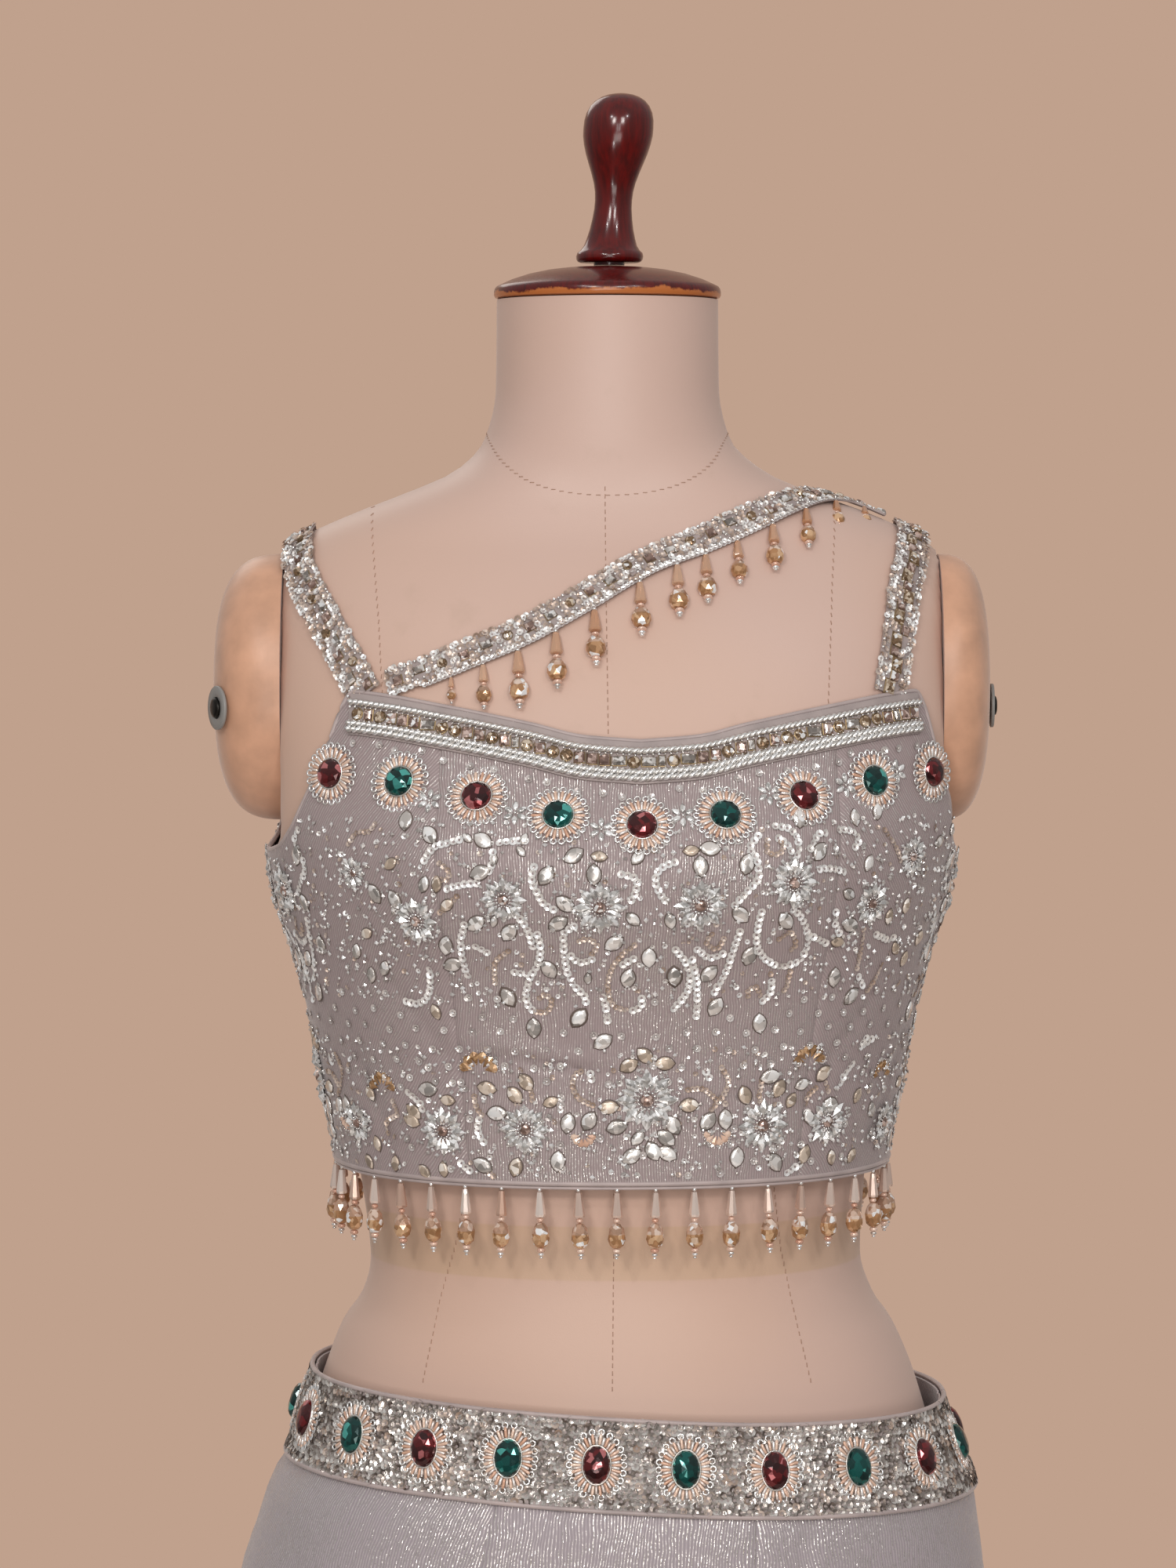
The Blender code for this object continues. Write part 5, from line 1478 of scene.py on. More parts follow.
@dataclass(frozen=True)
class DressForm:
    """Padded jersey trunk with satin arm caps, screws, neck cap and finial."""

    arm_height: float = 1.347
    arm_half_height: float = 0.064
    arm_half_depth: float = 0.048
    arm_reach: tuple[float, float] = (0.0340, 0.0245)
    arm_gap: float = 0.0003
    screw_height: float = 1.3384
    screw_forward: tuple[float, float] = (0.72, 0.15)
    cap_shift: float = -0.002
    finial_shift: float = -0.0012
    finial_lean: float = 0.068
    cap: tuple[tuple[float, float], ...] = (
        (0.0, 1.5330), (0.0522, 1.5330), (0.0538, 1.5335), (0.0544, 1.5346), (0.0544, 1.5362), (0.0541, 1.5376),
        (0.0533, 1.5388), (0.0515, 1.5397), (0.0460, 1.5422), (0.0380, 1.5448), (0.0290, 1.5467),
        (0.0200, 1.5478), (0.0100, 1.5484), (0.0, 1.5486),
    )
    finial: tuple[tuple[float, float], ...] = (
        (0.0, 1.5490), (0.0074, 1.5490), (0.0074, 1.5502), (0.0140, 1.5503), (0.0152, 1.5508),
        (0.0159, 1.5518), (0.0161, 1.5533), (0.0157, 1.5549), (0.0144, 1.5560), (0.0128, 1.5582),
        (0.0117, 1.5615), (0.0105, 1.5660), (0.0096, 1.5710), (0.0090, 1.5760), (0.0089, 1.5799),
        (0.0092, 1.5840), (0.0100, 1.5880), (0.0115, 1.5928), (0.0132, 1.5975), (0.0148, 1.6020),
        (0.0160, 1.6065), (0.0167, 1.6105), (0.0168, 1.6140), (0.0166, 1.6180), (0.0158, 1.6215),
        (0.0142, 1.6248), (0.0120, 1.6273), (0.0092, 1.6291), (0.0062, 1.6302), (0.0030, 1.6308),
        (0.0, 1.6309),
    )

    def make(self) -> None:
        """Builds the form."""
        self._trunk()
        self._seams()
        for side, name, reach, forward in zip((-1, 1), ("left", "right"), self.arm_reach, self.screw_forward):
            self._arm(side, name, reach)
            self._screw(side, name, reach, forward)
        for name, rows, finish, shift, lean in (
            ("neck_cap", self.cap, WORN_MAHOGANY, self.cap_shift, 0.0),
            ("finial", self.finial, MAHOGANY, self.finial_shift, self.finial_lean),
        ):
            piece = turned(name + "_turned", rows, finish)
            for vertex in piece.data.vertices:
                vertex.co.x += shift + lean * (vertex.co.z - rows[0][1])
            ride(piece, [name])

    def _trunk(self) -> None:
        """The trunk and neck, one closed skin."""
        columns, rows = 180, 150
        share, z = np.meshgrid(np.arange(columns) / columns, np.linspace(NECK_TOP, FORM_BOTTOM, rows))
        piece = skin("form_jersey_cover", BODY.at(share, z), SKIN_JERSEY, 55)
        ride(piece, ["form_torso"])

    def _seams(self) -> None:
        """Dotted seam stitches and the collar seam."""
        lines = (
            ((-0.0033, 1.441), (-0.0030, 1.40), (-0.0020, 1.33), (0.0008, 1.10), (0.0, 1.02)),
            ((-0.1150, 1.433), (-0.1090, 1.378), (-0.1065, 1.340)),
            ((0.1060, 1.429), (0.1030, 1.394), (0.1000, 1.340)),
            ((-0.0690, 1.110), (-0.0735, 1.0865), (-0.0810, 1.0605), (-0.0890, 1.022)),
            ((0.0748, 1.121), (0.0790, 1.085), (0.0845, 1.060), (0.0935, 1.022)),
        )
        work = BeadWork("form_seam_stitches")
        stitch = revolved([(0, 0), (0.22, 0.1), (0.22, 2.1), (0, 2.2)], 5).laid()
        for line in lines:
            xs, zs = (np.array(values) for values in zip(*line))
            for face in (1, -1):
                z = np.arange(zs.max(), zs.min(), -0.0036)
                x = np.interp(z, zs[::-1], xs[::-1])
                share = self._share_at(x, z)
                share = share if face > 0 else 0.5 - share
                work.add(stitch, BODY.spots(share, z, SEWN), SEAM_THREAD)
        turn = np.arange(112) / 112
        s = np.sin(2 * math.pi * turn) ** 2
        front = np.cos(2 * math.pi * turn) > 0
        collar = np.where(front, 1.439 + 0.024 * s + 0.006 * s**2, 1.455 + 0.014 * s)
        work.add(stitch, BODY.spots(turn, collar, SEWN).spun(math.pi / 2), SEAM_THREAD)
        work.make("form_jersey")

    def _share_at(self, x: Array, z: Array) -> Array:
        """Shares of the places on the form's front at x, z."""
        shares = np.linspace(-0.24, 0.24, 241)
        return np.array([float(np.interp(a, BODY.at(shares, b)[:, 0], shares)) for a, b in zip(x, z)])

    def _arm(self, side: int, name: str, reach: float) -> None:
        """A satin cap over the arm opening, which stands out this far."""
        columns, rows = 64, 24
        lift = np.linspace(0, 0.985, rows)[:, None]
        turn = even_turns(columns)[None] * -side
        bulge = np.sin(lift * math.pi / 2) ** (2 / 3) + 0 * turn
        waist = np.cos(lift * math.pi / 2) ** (2 / 3)
        x = side * (ARM_PLATE + self.arm_gap + reach * bulge)
        y = self.arm_half_depth * waist * np.cos(turn)
        z = self.arm_height + self.arm_half_height * waist * np.sin(turn)
        piece = skin(f"arm_cap_{name}_satin", np.stack([x, y, z], -1)[::-1], ARM_SATIN, 60)
        ride(piece, [f"arm_cap_{name}"])

    def _screw(self, side: int, name: str, reach: float, forward: float) -> None:
        """Washer and screw on an arm cap, forward of its middle by this share of its half depth."""
        fullness = (1 - forward**3) ** (1 / 3)
        out = unit(np.array((side * fullness**2 / reach, -(forward**2) / self.arm_half_depth, 0)))
        across = side * (ARM_PLATE + self.arm_gap + reach * fullness)
        foot = np.array((across, -self.arm_half_depth * forward, self.screw_height)) + out * 0.0006
        right = unit(np.cross(UP, out))
        spot = Spots(foot[None], right[None], UP[None], out[None])
        washer = revolved([(0, 0), (10.3, 0), (10.5, 0.2), (10.5, 1.2), (10.2, 1.5), (5.6, 1.5), (5.2, 1.2)], 40)
        head = revolved([(0, 1.2), (4.7, 1.2), (4.8, 1.8), (4.4, 2.7), (3.0, 3.15), (0, 3.3)], 24)
        work = BeadWork(f"arm_screw_{name}_set")
        work.add(washer, spot, WASHER)
        work.add(head, spot, SCREW)
        work.make("screw_steel", [f"arm_screw_{name}"])


@dataclass(frozen=True)
class Stand:
    """Steel pole and weighted round foot."""

    base: tuple[tuple[float, float], ...] = (
        (0.0, 0.0), (0.1860, 0.0), (0.1885, 0.0012), (0.1900, 0.0040), (0.1900, 0.0130), (0.1888, 0.0155),
        (0.1840, 0.0180), (0.1100, 0.0216), (0.0420, 0.0240), (0.0350, 0.0258), (0.0300, 0.0300),
        (0.0284, 0.0380), (0.0280, 0.0465), (0.0270, 0.0480), (0.0, 0.0480),
    )

    def make(self) -> None:
        """Builds the foot and the pole."""
        ride(turned("stand_foot_disc", self.base, IRON, 128), ["stand_base"])
        foot, top = 0.0483, FORM_BOTTOM - 0.0003
        rows = [(0.0, foot), (0.0155, foot), (0.016, foot + 0.0006)]
        rows += [(0.016, top - 0.0606), (0.0155, top - 0.06), (0.0155, top - 0.0585), (0.016, top - 0.058)]
        rows += [(0.016, top - 0.0006), (0.0155, top), (0.0, top)]
        ride(turned("stand_tube", rows, IRON, 48), ["stand_pole"])


def set_stone(work: BeadWork, stone: Bead, spots: Spots, finish: Finish, rim: float) -> None:
    """A stone in a low brass setting that is this many times as wide."""
    work.add(stone.stretched(rim, rim, 0.45), spots, BRASS)
    work.add(stone, spots.moved(out=STONE_LIFT), finish)


def rosette(work: BeadWork, spots: Spots, gem: Bead, bezel: Bead, finish: Finish, wide: float, tall: float) -> None:
    """A foil-backed gem in its setting, with a ring of radial bugles and a scalloped edge of thread loops.

    Args:
        work: The piece that gets it.
        spots: The gems' places.
        gem: The stone.
        bezel: Its setting.
        finish: The stone's finish.
        wide: Half the setting's width.
        tall: Half its height.
    """
    rays, loops_out = 22, 0.0057
    angles = even_turns(rays)
    work.add(bezel, spots, BEZEL)
    work.add(gem, spots.moved(out=STONE_LIFT), finish)
    for bead, turn, out, colour in ((BUGLE_BEAD, 0.0, STONE_LIFT, BUGLE), (SHORT_BUGLE, 0.5, 0.0010, PALE_BUGLE)):
        at = angles + turn * 2 * math.pi / rays
        reach = 1 / np.sqrt((np.cos(at) / wide) ** 2 + (np.sin(at) / tall) ** 2)
        work.add(bead, spots.moved(out=out).arm(at, reach), colour)
    reach = 1 / np.sqrt((np.cos(angles) / wide) ** 2 + (np.sin(angles) / tall) ** 2)
    work.add(LOOP, spots.arm(angles, reach + loops_out), SEED)


def star_flower(work: BeadWork, spots: Spots, reach: float, rng: Random) -> None:
    """A rose stone in a silver ring, two layers of ridged petals and glass chips strewn round it.

    Args:
        work: The piece that gets it.
        spots: Its middle.
        reach: From the middle to the petals' tips, in mm.
        rng: Source of the chips' places.
    """
    size = reach / STAR_REACH
    angles = even_turns(8) + math.pi / 2
    work.add(STAR_STONE, spots, ROSE_STONE, size)
    ring = even_turns(14)
    work.add(SEED_BEAD, spots.arm(ring, 0.0027 * size), SEED, 0.62 * size)
    work.add(SHORT_KITE, spots.arm(angles + math.pi / 8, 0.0030 * size), ICE, size)
    work.add(KITE, spots.moved(out=0.0004).arm(angles, 0.0031 * size), ICE, size)
    count = 34
    turns = rng.uniform(0, 2 * math.pi, count)
    chips = spots.arm(turns, rng.uniform(0.0050, 0.0118, count) * size)
    work.add(CHIP, chips.tilted(rng, 0.5), CHIPS, np.tile(rng.uniform(0.7, 1.35, count), len(spots)))


def small_flower(work: BeadWork, spots: Spots) -> None:
    """Six clear petals round a bead."""
    angles = even_turns(6) + math.pi / 2
    work.add(SEED_BEAD, spots, SEED)
    work.add(PETAL_BEAD, spots.arm(angles, 0.0036), ICE)


def amber_fan(work: BeadWork, spots: Spots, size: float) -> None:
    """Six petals spread like a fan, with a silver rim and three beads at their foot.

    Args:
        work: The piece that gets it.
        spots: The fan's foot.
        size: Its size, below 0 for one that hangs and is of clear peach glass.
    """
    angles = np.radians(np.linspace(14, 166, 6))
    if size < 0:
        spots = spots.spun(math.pi)
    glass = AMBER if size > 0 else BUGLE
    size = abs(size)
    work.add(FAN_PETAL, spots.arm(angles, 0.0029 * size), glass, size)
    work.add(SEED_BEAD, spots.arm(np.radians(np.linspace(4, 176, 15)), 0.0098 * size), SEED, 0.55)
    for right, up in ((-0.0026, -0.0004), (0.0, -0.0022), (0.0026, -0.0004)):
        work.add(SEED_BEAD, spots.moved(right * size, up * size), SEED, 1.1)


class LeafKind(NamedTuple):
    """A leaf's bead, the flat dark rim of painted shade that shows round it, and its finish."""

    bead: Bead
    outline: Bead
    finish: Finish


def leaf_kind(width: float, length: float, finish: Finish, outline: float = 1.10) -> LeafKind:
    """A kind of leaf from its width and length in mm and how much wider its outline is."""
    edge = navette(width * outline + 0.4, length * outline, 0.35)
    return LeafKind(navette(width, length, 0.95).lifted(0.0002), edge, finish)


class Layout(NamedTuple):
    """How the front's tables are used again: turned over for the back, or moved round to a side.

    least and most bound the rows that are used, in mm from centre front.
    """

    mirrored: bool
    move: float
    least: float
    most: float

    def place(self, across: Array, z: Array, follow: float) -> tuple[Array, Array]:
        """Shares and heights in metres of places given in mm.

        Args:
            across: Millimetres to the right of centre front.
            z: Millimetres from the floor.
            follow: 1 to keep the same drop from the neckline, or 0 for the same height.

        Returns:
            Shares and heights.
        """
        front = across / BLOUSE_ROUND
        share = 0.5 - front if self.mirrored else front + self.move
        rise = (neckline(share) - neckline(front)) * follow if self.mirrored else 0.0
        return share, z * MM + rise


LAYOUTS = (
    Layout(False, 0.0, -170, 170),
    Layout(True, 0.0, -158, 158),
    Layout(False, 0.25, -52, 48),
    Layout(False, -0.25, -48, 52),
)


LEAF_KINDS = {
    "O": leaf_kind(6.5, 10.0, PEARL_LEAF),
    "m": leaf_kind(5.0, 8.2, PEARL_LEAF),
    "s": leaf_kind(3.3, 6.0, PEARL_LEAF),
    "t": leaf_kind(4.8, 7.8, TAN_LEAF),
    "T": leaf_kind(6.2, 9.4, TAN_LEAF),
    "d": leaf_kind(6.1, 9.4, PEARL_LEAF, 1.26),
}
# A place is in mm to the right of centre front, then from the floor. Leaves: kind, place and heading in degrees
# from the right. O, m and s are pearl leaves from big to small, t and T are tan, and d has a thick outline.
# Scrolls: W for white sequins or B for brown, then places. Stars: place and reach in mm. Fans: place and size.
# Flowers: place.
NECK_LEAVES = (
    ("O", -105.8, 1289.3, 95), ("O", -93.7, 1283.3, -50), ("s", -76.6, 1282.2, -40), ("O", -69.6, 1281.2, -35),
    ("s", -64.6, 1272.9, 85), ("s", -51.5, 1281.9, 70), ("s", -52.8, 1276.6, -50), ("O", -29.7, 1274.9, 35),
    ("t", -18.8, 1274.5, -8), ("O", -41.9, 1266.4, 55), ("O", -33.9, 1254, -40), ("O", -70.9, 1267.4, 20),
    ("O", -74.6, 1244.6, 40), ("O", -113.6, 1253.9, -62), ("O", -124.9, 1256.1, -60), ("s", -66.2, 1245.7, 75),
    ("O", -59.8, 1240.7, 55), ("O", -37.3, 1245.1, 30), ("O", -21, 1266.9, 92), ("m", -3.8, 1247.1, -45),
    ("O", -12.2, 1235.8, 35), ("O", -90.5, 1233.7, 80), ("O", -88.8, 1224.7, 25), ("m", -97.1, 1261.7, 70),
    ("t", -90.8, 1261.9, 80), ("t", -87.1, 1252.7, 40), ("m", -126.8, 1221, 65), ("O", -42.7, 1223.3, -60),
    ("s", -24.5, 1219.1, 88), ("O", -5.5, 1219.1, 80), ("O", 4, 1229.1, 92), ("d", -63.4, 1209.7, -60),
    ("O", -51.6, 1195.2, 90), ("d", -29.2, 1200.2, 55), ("O", -17.6, 1188.9, 35), ("t", -101.1, 1201.4, -70),
    ("t", -133.6, 1237.2, 20), ("t", -113.7, 1270.1, 35), ("m", -1.9, 1274.1, 50), ("m", -142.8, 1228.1, 70),
    ("m", -135.9, 1217.1, 80), ("O", 70.6, 1290.6, 80), ("O", 29.6, 1277.8, -5), ("O", 25.4, 1270.3, 95),
    ("O", 45.8, 1271, 75), ("O", 79.9, 1275.7, 50), ("m", 108.3, 1269.6, 65), ("m", 111.8, 1292.5, 80),
    ("m", 99.2, 1290.1, 92), ("O", 44.4, 1248.8, -45), ("m", 98.5, 1256, -25), ("O", 102, 1241.5, -15),
    ("O", 66, 1245.3, -50), ("O", 51, 1229.3, 75), ("t", 96.2, 1233.9, -5), ("d", 16.4, 1219.9, 95),
    ("O", 32.8, 1221.1, 50), ("O", 37.3, 1205.1, 60), ("O", 98.7, 1216.7, 95), ("O", 60.5, 1196.5, 98),
    ("O", 111.3, 1206.9, 45), ("t", 137.4, 1228.1, -50), ("m", 12.9, 1246.3, -75), ("t", 21.3, 1276.9, 5),
    ("t", 126.8, 1243.9, 80), ("t", 138.2, 1248.1, 80), ("m", 156.9, 1277, 20), ("t", 147.6, 1222.3, 75),
    ("t", 157.3, 1231.6, 78),
)
HEM_LEAVES = (
    ("O", -111.1, 1164, 0), ("t", -99.9, 1159.4, -5), ("T", -121, 1153.1, -40), ("T", -123, 1148.7, -20),
    ("T", -77.9, 1165.9, -10), ("T", -57.2, 1169.3, -55), ("T", -63.2, 1163.1, -50), ("t", -44.5, 1160.2, 20),
    ("O", -73.2, 1154.4, 5), ("O", -82.8, 1129.6, -30), ("T", -64.5, 1129.3, 75), ("t", -105.9, 1126.6, 95),
    ("t", -137.5, 1127.2, 85), ("t", -149.9, 1135.6, -70), ("O", -41.8, 1132.6, 85), ("O", -36, 1150.5, 80),
    ("O", -25, 1151.5, 60), ("T", -14.6, 1158, 5), ("O", -10.5, 1148.7, 15), ("T", -4.5, 1177.6, 30),
    ("T", 3.5, 1182.3, -45), ("m", 0.5, 1143.5, 50), ("O", -2.7, 1135.1, 35), ("O", 8.5, 1137.5, -62),
    ("t", -149.8, 1159.5, -60), ("t", -118, 1124.9, -45), ("t", -158.7, 1126.2, -60), ("T", 26.7, 1158.6, 5),
    ("O", 18.9, 1149.5, -60), ("O", 15.3, 1143.5, -40), ("O", 16.1, 1136.3, -30),
    ("O", 37.1, 1150.9, 55), ("O", 46.4, 1151.6, 95), ("O", 54.2, 1133.5, 85), ("O", 76.5, 1130.1, -60),
    ("T", 94.3, 1132.8, 70), ("T", 56.3, 1162.5, -70), ("O", 69.4, 1170.9, 10), ("T", 75.1, 1165, 60),
    ("m", 88.5, 1166.2, 20), ("T", 101, 1170.6, 45), ("t", 82.6, 1159, 60), ("O", 108.5, 1155.5, -25),
    ("t", 113.4, 1129.9, -80), ("T", 13.7, 1178.5, 0), ("m", 94.8, 1150.3, -60), ("t", 127.4, 1158.2, 65),
    ("t", 129.6, 1129.4, 55), ("t", 184.5, 1135, 75), ("m", 142.5, 1150.2, -70),
)
NECK_SCROLLS = (
    ("W", (-96, 1272), (-91, 1278), (-84, 1280), (-78, 1282)), ("W", (-62, 1280), (-56, 1281), (-51, 1281)),
    ("W", (-47, 1270), (-48, 1264), (-46, 1259), (-43, 1254), (-38, 1251)),
    ("W", (-9, 1267), (-4, 1266), (-2, 1263), (-4, 1257), (-6, 1254)),
    ("W", (-86, 1260), (-80, 1262), (-72, 1263)), ("W", (-80, 1244), (-83, 1235), (-83, 1224), (-82, 1220)),
    ("W", (-101, 1222), (-102, 1214), (-105, 1208), (-111, 1205), (-118, 1206)),
    ("W", (-47, 1240), (-46, 1235), (-47, 1228), (-52, 1219), (-54, 1213), (-54, 1207), (-51, 1203)),
    ("B", (-50, 1203), (-45, 1203), (-42, 1208), (-45, 1211), (-49, 1209)), ("W", (-59, 1222), (-52, 1221)),
    ("W", (-30, 1244), (-35, 1240), (-35, 1230), (-34, 1222), (-31, 1216), (-26, 1210), (-26, 1206)),
    ("W", (-32, 1230), (-28, 1227), (-21, 1229)), ("W", (-17, 1210), (-16, 1204), (-15, 1197)),
    ("B", (-3, 1235), (-9, 1230), (-14, 1222), (-15, 1213), (-12, 1206), (-5, 1204)),
    ("W", (-3, 1204), (1, 1206), (1, 1211)), ("B", (-61, 1232), (-68, 1226), (-69, 1216)),
    ("B", (-82, 1257), (-87, 1252), (-91, 1249)), ("B", (-89, 1271), (-85, 1268), (-86, 1264), (-92, 1265)),
    ("W", (-65, 1276), (-65, 1272), (-67, 1268)), ("B", (-137, 1278), (-132, 1283), (-125, 1284), (-121, 1288)),
    ("W", (-56, 1249), (-52, 1244), (-50, 1238), (-49, 1232)), ("W", (-76, 1234), (-72, 1232), (-70, 1230)),
    ("B", (-28, 1237), (-24, 1238), (-20, 1235), (-23, 1230)), ("W", (-8, 1226), (-3, 1229)),
    ("W", (14, 1272), (9, 1270), (6, 1266), (7, 1260), (11, 1255)),
    ("W", (51, 1283), (47, 1278), (50, 1273), (51, 1265), (46, 1259), (41, 1253)),
    ("B", (55, 1281), (55, 1276), (60, 1275), (62, 1278), (60, 1282)),
    ("W", (59, 1287), (65, 1286), (69, 1281), (69, 1276), (67, 1272)),
    ("W", (60, 1282), (64, 1279), (66, 1275)), ("W", (75, 1277), (79, 1283), (85, 1284)),
    ("W", (90, 1285), (97, 1284), (101, 1280), (99, 1277)),
    ("W", (54, 1250), (53, 1242), (54, 1234), (60, 1227), (68, 1224), (76, 1226), (79, 1232), (77, 1241),
     (72, 1248), (68, 1251)),
    ("B", (64, 1237), (69, 1240), (73, 1234), (70, 1231)),
    ("W", (16, 1233), (21, 1227), (24, 1219), (22, 1211), (16, 1204)),
    ("W", (24, 1228), (27, 1218), (28, 1208), (28, 1199)),
    ("W", (45, 1241), (43, 1233), (41, 1223), (36, 1212)), ("W", (64, 1217), (64, 1211), (59, 1206)),
    ("B", (53, 1210), (53, 1213), (57, 1214), (59, 1210)), ("W", (92, 1248), (93, 1242), (98, 1236)),
    ("B", (111, 1239), (112, 1228), (112, 1219)), ("W", (114, 1216), (118, 1211)),
    ("W", (26, 1233), (32, 1229), (39, 1231)), ("W", (80, 1268), (87, 1268), (95, 1266)),
    ("W", (79, 1238), (85, 1236), (91, 1233)), ("B", (73, 1221), (72, 1213), (70, 1212)),
    ("B", (32, 1240), (30, 1236), (35, 1233), (38, 1238)), ("W", (120, 1236), (129, 1233), (134, 1234)),
    ("B", (116, 1284), (124, 1276), (129, 1269)), ("B", (129, 1221), (126, 1214), (121, 1208)),
    ("W", (127, 1186), (124, 1182), (134, 1186)),
)
HEM_SCROLLS = (
    ("B", (-23, 1159), (-30, 1162), (-33, 1167), (-32, 1173), (-28, 1175)), ("W", (-24, 1174), (-23, 1170)),
    ("W", (-83, 1151), (-84, 1146), (-81, 1140)), ("B", (-79, 1126), (-72, 1122), (-63, 1124)),
    ("B", (-85, 1162), (-84, 1157), (-81, 1153)), ("W", (-123, 1162), (-117, 1158), (-115, 1154)),
    ("B", (-134, 1157), (-132, 1151), (-140, 1147), (-140, 1140)), ("W", (-95, 1130), (-89, 1126)),
    ("B", (-55, 1168), (-54, 1160)), ("B", (43, 1176), (47, 1169), (44, 1162), (38, 1156)),
    ("B", (26, 1166), (34, 1166), (41, 1161)), ("W", (35, 1174), (37, 1171)),
    ("B", (97, 1164), (92, 1160), (92, 1155)), ("W", (93, 1153), (95, 1148)), ("W", (84, 1125), (93, 1129)),
    ("B", (65, 1169), (64, 1162), (65, 1158)), ("W", (120, 1174), (116, 1170), (113, 1165)),
    ("B", (103, 1166), (106, 1161)),
)
NECK_STARS = (
    (-136.3, 1265, 6.0), (-103.7, 1244.6, 9.0), (-61.3, 1255.6, 8.5), (-18.6, 1252.2, 9.6), (26.1, 1253.1, 9.6),
    (67.9, 1262.4, 9.4), (114, 1250.5, 8.4), (136.9, 1271.1, 7.5),
)
HEM_STARS = (
    (-165.7, 1144.2, 8.0), (-104.4, 1144.8, 9.2), (-58.7, 1147.2, 9.2), (4.9, 1161.2, 11.2),
    (67.5, 1147.9, 9.8), (107.5, 1147.4, 9.2), (160.6, 1142.4, 8.2),
)
FANS = (
    (-81.6, 1173.8, 1.0), (-140.7, 1162, 0.9), (91.4, 1176.2, 0.95), (148.1, 1165.5, 0.85),
    (-28.1, 1145.1, -0.62), (42.5, 1145.9, -0.7),
)
SMALL_FLOWERS = (
    (-95.2, 1298.1), (-55.9, 1293.1), (-17.8, 1286.1), (18.1, 1292.2), (57.6, 1301.5), (95.1, 1304.9),
    (123.5, 1310.4),
)


